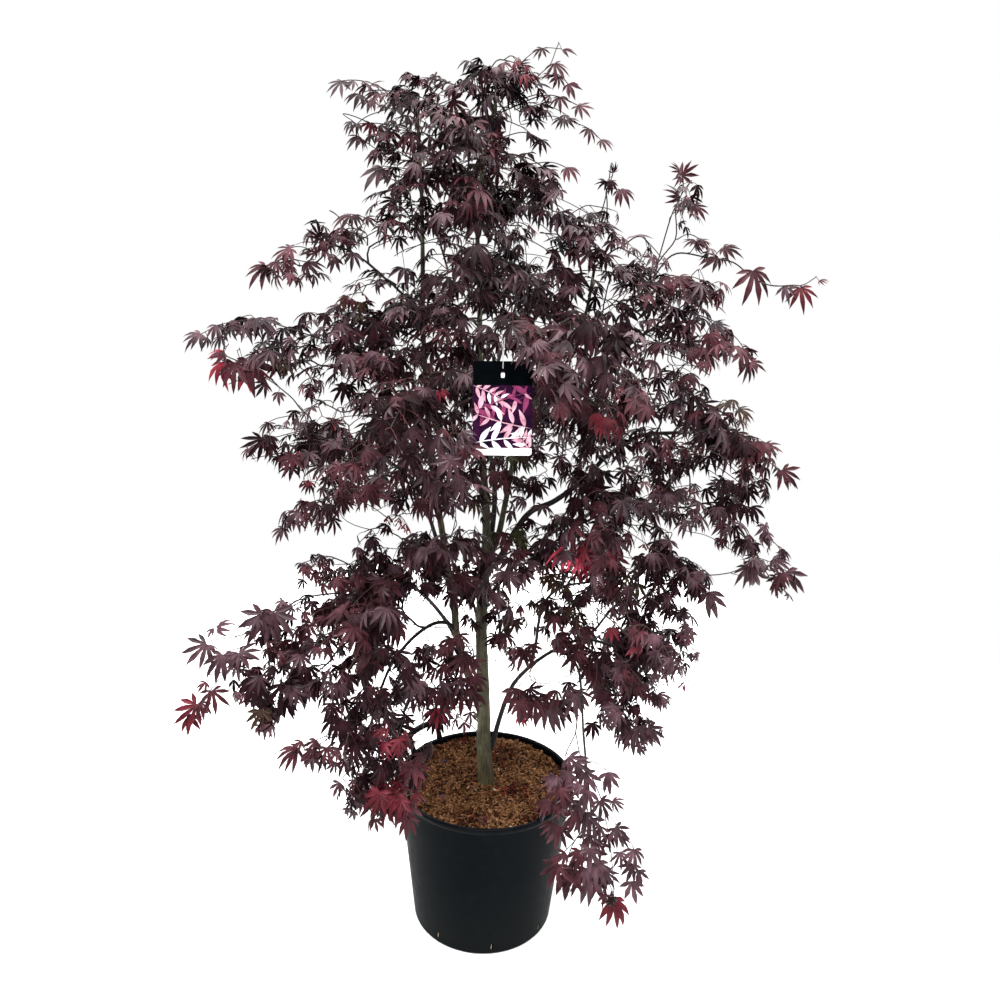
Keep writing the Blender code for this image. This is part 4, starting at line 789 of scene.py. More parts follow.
    (0.046, D, -0.04, -0.10, [(586, 294), (578, 290), (570, 294)]), (0.048, P, -0.10, -0.16, [(656, 394), (648, 394), (642, 400)]),
    (0.044, R, -0.14, -0.20, [(644, 386), (636, 388), (630, 396)]), (0.046, D, -0.10, -0.14, [(650, 404), (644, 406), (638, 412)]),
    (0.048, D, -0.08, -0.14, [(556, 436), (548, 436), (540, 442)]),
    (0.050, D, -0.06, -0.12, [(466, 458), (454, 458), (446, 466)]), (0.050, P, -0.08, -0.14, [(462, 470), (452, 470), (442, 478)]),
    (0.044, D, -0.02, -0.06, [(364, 404), (354, 400), (346, 404)]), (0.044, D, -0.06, -0.08, [(310, 416), (300, 412), (292, 416)]),
    (0.046, D, -0.08, -0.14, [(410, 514), (400, 514), (392, 520)]), (0.048, B, -0.10, -0.16, [(406, 574), (396, 574), (388, 582)]),
    (0.044, D, -0.10, -0.14, [(326, 564), (316, 564), (308, 572)]), (0.048, P, -0.06, -0.12, [(480, 566), (470, 564), (462, 570)]),
    (0.046, D, -0.04, -0.10, [(490, 606), (482, 608), (476, 616)]), (0.046, B, -0.06, -0.12, [(656, 574), (664, 574), (670, 580)]),
    (0.046, P, -0.06, -0.12, [(674, 604), (680, 608), (684, 618)]), (0.048, D, -0.08, -0.14, [(616, 516), (626, 514), (634, 520)]),
    (0.048, D, -0.08, -0.14, [(534, 546), (542, 544), (548, 550)]), (0.046, B, -0.06, -0.12, [(504, 536), (512, 538), (516, 546)]),
    (0.046, P, -0.22, -0.28, [(384, 708), (378, 710), (374, 718)]),
    (0.046, B, -0.06, -0.12, [(474, 706), (466, 706), (460, 714)]),
    (0.048, P, -0.08, -0.14, [(640, 660), (650, 664), (656, 672)]), (0.046, D, -0.06, -0.12, [(634, 668), (646, 674), (652, 682)]),
    (0.046, P, -0.06, -0.12, [(622, 700), (630, 704), (636, 712)]), (0.044, D, -0.02, -0.04, [(474, 92), (462, 84), (454, 86)]),
    (0.044, D, 0.00, -0.04, [(516, 106), (530, 102), (540, 106)]), (0.048, D, -0.06, -0.12, [(650, 330), (662, 332), (672, 340)]),
    (0.048, P, -0.08, -0.14, [(684, 326), (674, 330), (664, 338)]), (0.046, D, -0.04, -0.10, [(450, 272), (438, 270), (428, 276)]),
    (0.046, B, -0.04, -0.10, [(408, 226), (396, 222), (386, 228)]), (0.042, D, -0.04, -0.08, [(334, 402), (324, 400), (314, 406)]),
    (0.046, D, -0.08, -0.14, [(392, 388), (382, 388), (374, 396)]), (0.048, P, -0.10, -0.18, [(428, 392), (416, 388), (406, 394)]),
    (0.042, D, -0.06, -0.10, [(296, 446), (286, 446), (278, 452)]), (0.048, D, -0.10, -0.16, [(444, 462), (432, 462), (424, 470)]),
    (0.044, B, -0.04, -0.10, [(492, 456), (500, 458), (506, 466)]), (0.046, D, -0.10, -0.18, [(560, 418), (548, 416), (540, 424)]),
    (0.044, D, -0.04, -0.08, [(498, 504), (490, 504), (484, 512)]), (0.044, P, -0.08, -0.12, [(378, 534), (368, 534), (360, 542)]),
    (0.046, P, -0.06, -0.12, [(450, 572), (442, 572), (434, 580)]), (0.048, D, -0.08, -0.14, [(640, 530), (650, 532), (656, 540)]),
    (0.046, B, -0.08, -0.14, [(672, 532), (662, 534), (654, 544)]), (0.046, D, -0.08, -0.12, [(680, 508), (690, 508), (698, 516)]),
    (0.044, P, -0.10, -0.12, [(732, 524), (740, 524), (746, 532)]), (0.046, D, -0.08, -0.12, [(744, 474), (754, 476), (762, 484)]),
    (0.046, D, -0.08, -0.12, [(690, 458), (700, 458), (706, 466)]), (0.044, B, -0.06, -0.10, [(672, 582), (680, 584), (686, 592)]),
    (0.044, Z, -0.06, -0.12, [(594, 568), (586, 568), (580, 576)]), (0.046, B, -0.18, -0.24, [(342, 632), (332, 634), (324, 642)]),
    (0.046, R, -0.34, -0.38, [(386, 776), (380, 780), (376, 788)]), (0.044, B, -0.38, -0.41, [(384, 804), (378, 806), (374, 812)]),
    (0.044, B, -0.06, -0.08, [(298, 260), (288, 260), (280, 268)]), (0.044, P, -0.04, -0.08, [(360, 304), (352, 304), (344, 310)]),
    (0.052, P, -0.10, -0.18, [(404, 346), (392, 346), (382, 354)]), (0.050, D, -0.08, -0.16, [(400, 362), (388, 360), (378, 368)]),
    (0.048, D, -0.06, -0.12, [(364, 292), (352, 294), (342, 302)]), (0.046, B, -0.04, -0.10, [(372, 284), (362, 286), (354, 294)]),
    (0.046, P, -0.04, -0.10, [(318, 376), (306, 380), (298, 388)]), (0.050, D, -0.08, -0.16, [(640, 472), (652, 476), (660, 486)]),
    (0.050, P, -0.10, -0.18, [(684, 476), (674, 480), (664, 490)]), (0.046, D, -0.06, -0.14, [(652, 402), (662, 404), (670, 412)]),
    (0.046, B, -0.08, -0.14, [(640, 400), (632, 406), (626, 414)]), (0.046, P, -0.04, -0.10, [(726, 400), (734, 406), (740, 416)]),
    (0.044, D, -0.06, -0.12, [(612, 394), (604, 398), (598, 406)]), (0.048, B, -0.06, -0.10, [(758, 566), (766, 572), (772, 582)]),
    (0.046, P, -0.06, -0.10, [(742, 534), (748, 542), (754, 552)]), (0.048, D, -0.08, -0.14, [(438, 560), (430, 566), (424, 576)]),
    (0.046, B, -0.06, -0.14, [(414, 568), (420, 572), (428, 580)]), (0.046, P, -0.04, -0.10, [(458, 640), (466, 644), (472, 654)]),
    (0.046, D, -0.16, -0.20, [(352, 740), (346, 746), (342, 756)]), (0.048, P, -0.24, -0.30, [(362, 756), (356, 764), (354, 774)]),
    (0.044, D, -0.16, -0.20, [(332, 660), (338, 664), (344, 674)]), (0.044, P, -0.14, -0.18, [(418, 664), (410, 668), (404, 678)]),
    (0.044, D, -0.06, -0.10, [(622, 604), (630, 606), (638, 614)]), (0.046, D, -0.02, -0.06, [(628, 252), (636, 256), (642, 264)]),
    (0.040, D, -0.02, -0.04, [(678, 202), (682, 208), (682, 216)]), (0.040, D, -0.02, -0.04, [(690, 234), (698, 238), (704, 246)]),
    (0.036, D, 0.00, -0.02, [(612, 162), (614, 168), (612, 176)]), (0.044, D, -0.02, -0.06, [(486, 66), (480, 70), (474, 78)]),
    (0.042, B, -0.04, -0.08, [(412, 140), (406, 144), (402, 152)]), (0.042, D, -0.02, -0.06, [(396, 166), (400, 172), (398, 182)]),
    (0.044, D, -0.04, -0.10, [(524, 226), (516, 228), (510, 236)]), (0.046, B, -0.10, -0.20, [(520, 402), (530, 406), (538, 416)]),
    (0.044, P, -0.06, -0.12, [(318, 478), (314, 486), (314, 496)]), (0.046, D, -0.10, -0.18, [(390, 430), (382, 434), (376, 444)]),
    (0.044, P, -0.08, -0.14, [(388, 494), (382, 496), (378, 504)]), (0.044, D, -0.34, -0.38, [(604, 872), (608, 880), (612, 890)]),
    (0.046, P, -0.10, -0.12, [(624, 722), (634, 728), (640, 738)]),
    (0.046, P, -0.04, -0.08, [(650, 246), (645, 252), (640, 262)]), (0.048, D, -0.06, -0.12, [(640, 298), (650, 303), (657, 314)]),
    (0.046, B, -0.06, -0.12, [(674, 296), (665, 302), (658, 312)]), (0.046, P, -0.06, -0.10, [(680, 288), (688, 293), (692, 304)]),
    (0.046, D, -0.06, -0.12, [(667, 360), (673, 367), (676, 380)]), (0.044, P, -0.08, -0.14, [(686, 362), (681, 370), (675, 380)]),
    (0.044, D, -0.02, -0.06, [(600, 215), (608, 220), (612, 230)]), (0.044, B, -0.02, -0.06, [(577, 245), (584, 250), (588, 260)]),
    (0.044, B, -0.02, -0.06, [(398, 205), (406, 210), (411, 220)]), (0.044, D, -0.02, -0.06, [(423, 203), (417, 210), (411, 220)]),
    (0.044, R, -0.02, -0.06, [(510, 55), (517, 59), (522, 68)]), (0.042, P, -0.02, -0.06, [(374, 85), (380, 90), (384, 100)]),
    (0.042, P, -0.02, -0.06, [(421, 131), (428, 136), (432, 146)]), (0.042, D, -0.02, -0.06, [(337, 245), (343, 250), (346, 260)]),
    (0.042, B, -0.04, -0.08, [(281, 255), (288, 260), (292, 270)]), (0.048, D, -0.06, -0.12, [(299, 366), (307, 372), (312, 382)]),
    (0.046, B, -0.06, -0.12, [(324, 365), (317, 372), (311, 382)]), (0.046, D, -0.06, -0.12, [(342, 376), (350, 381), (354, 392)]),
    (0.046, D, -0.06, -0.12, [(311, 399), (318, 405), (322, 416)]), (0.044, P, -0.06, -0.12, [(297, 404), (303, 410), (306, 420)]),
    (0.046, D, -0.08, -0.16, [(401, 338), (409, 344), (414, 354)]), (0.046, P, -0.10, -0.18, [(413, 362), (420, 368), (424, 378)]),
    (0.046, D, -0.12, -0.22, [(441, 409), (448, 415), (452, 426)]), (0.044, D, -0.06, -0.12, [(541, 505), (548, 510), (552, 520)]),
    (0.048, D, -0.08, -0.14, [(645, 572), (653, 579), (657, 591)]), (0.048, B, -0.08, -0.14, [(668, 576), (662, 585), (654, 596)]),
    (0.046, P, -0.10, -0.14, [(670, 597), (664, 605), (657, 615)]), (0.046, P, -0.08, -0.12, [(675, 558), (684, 564), (690, 576)]),
    (0.044, D, -0.08, -0.12, [(735, 519), (744, 525), (750, 536)]), (0.046, D, -0.06, -0.12, [(395, 588), (402, 594), (407, 604)]),
    (0.044, P, -0.08, -0.14, [(417, 624), (424, 630), (428, 640)]), (0.046, P, -0.14, -0.20, [(329, 638), (337, 643), (343, 654)]),
    (0.046, D, -0.14, -0.20, [(354, 638), (348, 646), (342, 657)]), (0.046, D, -0.22, -0.26, [(255, 688), (262, 694), (266, 705)]),
    (0.044, P, -0.20, -0.24, [(229, 668), (237, 673), (241, 684)]), (0.046, D, -0.32, -0.38, [(341, 778), (347, 783), (351, 794)]),
    (0.046, P, -0.32, -0.38, [(362, 782), (357, 790), (351, 801)]), (0.042, B, -0.06, -0.08, [(493, 645), (500, 650), (504, 661)]),
     
    (0.046, B, -0.10, -0.14, [(625, 698), (633, 703), (637, 714)]), (0.044, P, -0.06, -0.12, [(581, 449), (588, 454), (592, 464)]),
    (0.046, P, 0.00, 0.00, [(504, 60), (514, 62), (523, 70)]), (0.050, P, -0.04, -0.10, [(621, 266), (629, 274), (633, 287)]),
    (0.050, D, -0.04, -0.10, [(652, 268), (644, 276), (637, 289)]), (0.046, P, -0.06, -0.10, [(701, 303), (697, 312), (692, 325)]),
    (0.050, D, -0.22, -0.27, [(284, 694), (275, 700), (269, 713)]), (0.046, B, -0.22, -0.27, [(255, 698), (261, 706), (263, 719)]),
    (0.046, D, -0.06, -0.12, [(413, 587), (408, 595), (404, 607)]), (0.046, D, -0.08, -0.14, [(635, 602), (644, 608), (651, 619)]),
    (0.046, P, -0.08, -0.12, [(691, 561), (699, 567), (703, 579)]), (0.044, D, -0.02, -0.06, [(601, 230), (595, 238), (590, 249)]),
    (0.042, D, -0.08, -0.12, [(261, 376), (271, 379), (280, 388)]), (0.044, B, -0.02, -0.06, [(423, 196), (430, 202), (434, 213)]),
    (0.042, D, -0.02, -0.06, [(443, 234), (450, 241), (453, 253)]), (0.042, P, -0.04, -0.06, [(345, 116), (353, 121), (357, 131)]),
    (0.042, B, -0.05, -0.07, [(329, 210), (337, 215), (341, 225)]), 
    (0.046, D, -0.34, -0.38, [(363, 763), (358, 771), (355, 783)]), (0.042, D, -0.06, -0.10, [(536, 600), (530, 606), (527, 616)]),
    (0.046, B, -0.06, -0.08, [(492, 640), (500, 646), (507, 657)]), (0.046, Z, -0.06, -0.08, [(520, 588), (529, 593), (533, 605)]),
    (0.044, D, -0.06, -0.10, [(555, 600), (548, 608), (544, 619)]), (0.046, B, -0.10, -0.14, [(623, 696), (631, 700), (636, 711)]),
    (0.046, P, -0.04, -0.06, [(652, 252), (645, 258), (640, 270)]), (0.044, D, -0.30, -0.36, [(364, 760), (359, 768), (356, 781)]),
    (0.046, D, -0.06, -0.10, [(703, 306), (698, 314), (693, 327)]), (0.044, B, -0.06, -0.10, [(401, 588), (406, 596), (409, 607)]),
    (0.046, P, -0.02, -0.06, [(413, 335), (408, 342), (406, 354)]), (0.044, D, -0.02, -0.06, [(692, 180), (688, 186), (686, 196)]),
    # right edge
    (0.054, B, -0.04, -0.10, [(690, 312), (716, 322), (736, 338), (746, 352)]),
    (0.046, B, -0.10, -0.16, [(680, 344), (696, 348), (706, 356)]),
    (0.050, D, -0.04, -0.08, [(648, 380), (676, 372), (700, 384)]),
    (0.066, P, -0.06, -0.16, [(668, 410), (692, 400), (712, 412)]),
    (0.048, Z, -0.08, -0.12, [(714, 424), (726, 410), (732, 402)]),
    (0.052, B, -0.06, -0.10, [(716, 440), (742, 436), (764, 444), (776, 458)]),
    (0.042, B, -0.08, -0.10, [(742, 452), (768, 462), (784, 474)]),
    (0.054, D, -0.06, -0.08, [(690, 494), (716, 488), (742, 486), (752, 490)]),
    (0.058, P, -0.06, -0.14, [(686, 504), (708, 504), (724, 516)]),
    (0.040, P, -0.08, -0.10, [(728, 504), (748, 514), (766, 534), (778, 546)]),
    (0.046, B, -0.08, -0.14, [(728, 528), (744, 544), (752, 556)]),
    (0.046, B, -0.10, -0.12, [(752, 556), (770, 562), (788, 572)]),
    (0.054, P, -0.06, -0.14, [(650, 506), (672, 502), (688, 512)]),
    (0.048, D, -0.06, -0.12, [(632, 526), (652, 524), (668, 532)]),
    (0.056, D, -0.08, -0.16, [(644, 560), (676, 558), (696, 572), (706, 590)]),
    (0.050, D, -0.08, -0.14, [(650, 596), (668, 596), (680, 606)]),
    (0.042, P, -0.06, -0.12, [(664, 626), (682, 636), (692, 648)]),
    (0.046, D, -0.06, -0.16, [(622, 648), (640, 646), (656, 658)]),
    (0.056, P, -0.06, -0.16, [(596, 652), (608, 656), (616, 668)]),
    (0.056, P, -0.06, -0.16, [(600, 676), (610, 694), (616, 706)]),
    (0.052, P, -0.06, -0.14, [(626, 690), (640, 684), (650, 690)]),
    (0.040, P, -0.06, -0.12, [(640, 684), (656, 688), (660, 696)]),
    (0.050, P, -0.08, -0.16, [(618, 712), (632, 720), (640, 728)]),
    (0.042, P, -0.08, -0.14, [(634, 712), (650, 718), (656, 726)]),
]
# Fine twigs with no leaves: (depth at the start, depth at the tip, course)
BARE = [
    (0.00, -0.06, [(456, 628), (428, 627), (400, 622)]), (0.00, -0.05, [(450, 622), (430, 604), (404, 596)]),
    (0.00, -0.04, [(474, 624), (462, 608), (446, 600), (420, 594)]), (-0.02, -0.06, [(428, 627), (412, 634), (398, 630)]),
    (0.00, -0.05, [(432, 616), (440, 640), (444, 648)]), (-0.02, -0.05, [(418, 614), (404, 612), (396, 616)]),
    (0.00, -0.03, [(488, 628), (500, 616), (514, 606)]), (0.00, 0.02, [(452, 536), (456, 512), (450, 490)]),
    (0.00, 0.03, [(458, 524), (448, 506), (440, 498)]), (0.00, -0.02, [(428, 540), (434, 516), (424, 500)]),
    (-0.02, -0.02, [(540, 588), (548, 610), (562, 622)]), (-0.02, -0.02, [(520, 640), (526, 660), (540, 690)]),
    (-0.02, -0.04, [(600, 312), (616, 304), (634, 306)]), (0.02, 0.02, [(384, 160), (398, 166), (404, 160)]),
    (-0.02, 0.00, [(380, 152), (366, 142), (358, 138)]),
    # the top's outer twigs
    (0.00, -0.02, [(512, 74), (526, 58), (542, 48), (562, 49)]), (0.02, 0.00, [(520, 96), (538, 76), (552, 64)]),
    (0.02, 0.00, [(540, 78), (558, 74), (568, 84)]), (0.02, 0.00, [(502, 112), (540, 96), (560, 97), (579, 106)]),
    (0.02, 0.02, [(520, 126), (548, 116), (566, 120), (588, 128), (601, 140)]), (0.00, 0.00, [(500, 138), (524, 132), (542, 140)]),
    (0.00, 0.00, [(530, 164), (552, 162), (567, 168)]),
    (-0.02, -0.05, [(396, 96), (374, 84), (356, 80), (341, 81)]), (-0.02, -0.05, [(425, 136), (396, 126), (372, 123), (358, 124)]),
    (-0.02, -0.04, [(412, 176), (398, 168), (382, 166)]), (-0.04, -0.06, [(386, 236), (366, 218), (350, 214)]),
    (-0.05, -0.07, [(316, 252), (300, 246), (290, 248)]), (-0.06, -0.08, [(304, 262), (288, 258), (274, 262), (262, 268)]),
    (-0.06, -0.06, [(266, 320), (246, 320), (222, 324), (201, 334)]), (-0.07, -0.08, [(292, 364), (262, 360), (242, 362), (226, 356)]),
    (-0.16, -0.20, [(310, 508), (296, 514), (284, 528)]),
    # the sprigs that stand out at the upper right
    (0.00, 0.00, [(600, 236), (607, 212), (606, 188)]), (0.00, 0.00, [(606, 190), (612, 178), (613, 172)]),
    (0.00, 0.00, [(606, 192), (614, 188), (622, 191)]),
    (-0.02, 0.00, [(652, 284), (660, 254), (672, 214), (680, 198)]), (0.00, 0.00, [(672, 214), (684, 206), (694, 206)]),
    (0.00, 0.00, [(680, 198), (684, 186), (682, 176)]),
    (-0.02, -0.06, [(650, 286), (660, 268), (677, 253), (713, 259), (733, 262), (748, 274), (764, 284), (782, 286)]),
    (-0.03, -0.04, [(690, 254), (696, 244), (698, 240)]), (-0.05, -0.05, [(712, 259), (718, 252), (722, 248)]),
    # the long bare twigs at the lower left
    (-0.12, -0.20, [(300, 602), (276, 616), (250, 632), (228, 638), (212, 640)]), (-0.15, -0.20, [(252, 630), (232, 624), (216, 626)]),
    (-0.14, -0.22, [(292, 604), (268, 622), (246, 646), (230, 664), (214, 686), (202, 700), (192, 710)]),
    (-0.16, -0.21, [(246, 646), (232, 650), (222, 653)]), (-0.20, -0.25, [(300, 660), (280, 664), (262, 676)]),
    (-0.22, -0.31, [(342, 724), (326, 736), (310, 742), (298, 748)]), (-0.26, -0.31, [(326, 736), (326, 744)]),
    (-0.06, -0.06, [(782, 286), (796, 285), (803, 287)]),
    # the weeping twigs over the pot's right side
    (-0.22, -0.27, [(578, 698), (577, 722), (575, 735), (568, 748), (565, 757)]),
    (-0.25, -0.29, [(576, 733), (578, 746), (581, 758), (588, 770)]),
    (-0.28, -0.30, [(586, 766), (594, 782), (602, 802), (608, 832), (612, 862), (614, 896)]),
    (-0.28, -0.30, [(584, 762), (596, 762), (606, 770)]),
    (-0.29, -0.31, [(602, 802), (612, 820), (626, 834), (634, 850), (634, 866), (630, 878)]),
    (-0.28, -0.32, [(586, 768), (587, 796), (588, 824), (591, 850), (590, 876)]),
    (-0.29, -0.33, [(587, 796), (576, 808), (562, 822)]), (-0.28, -0.33, [(568, 758), (562, 776), (556, 788)]),
    (-0.30, -0.33, [(588, 824), (574, 842), (566, 862)]), (-0.31, -0.34, [(574, 842), (564, 852), (556, 860)]),
]

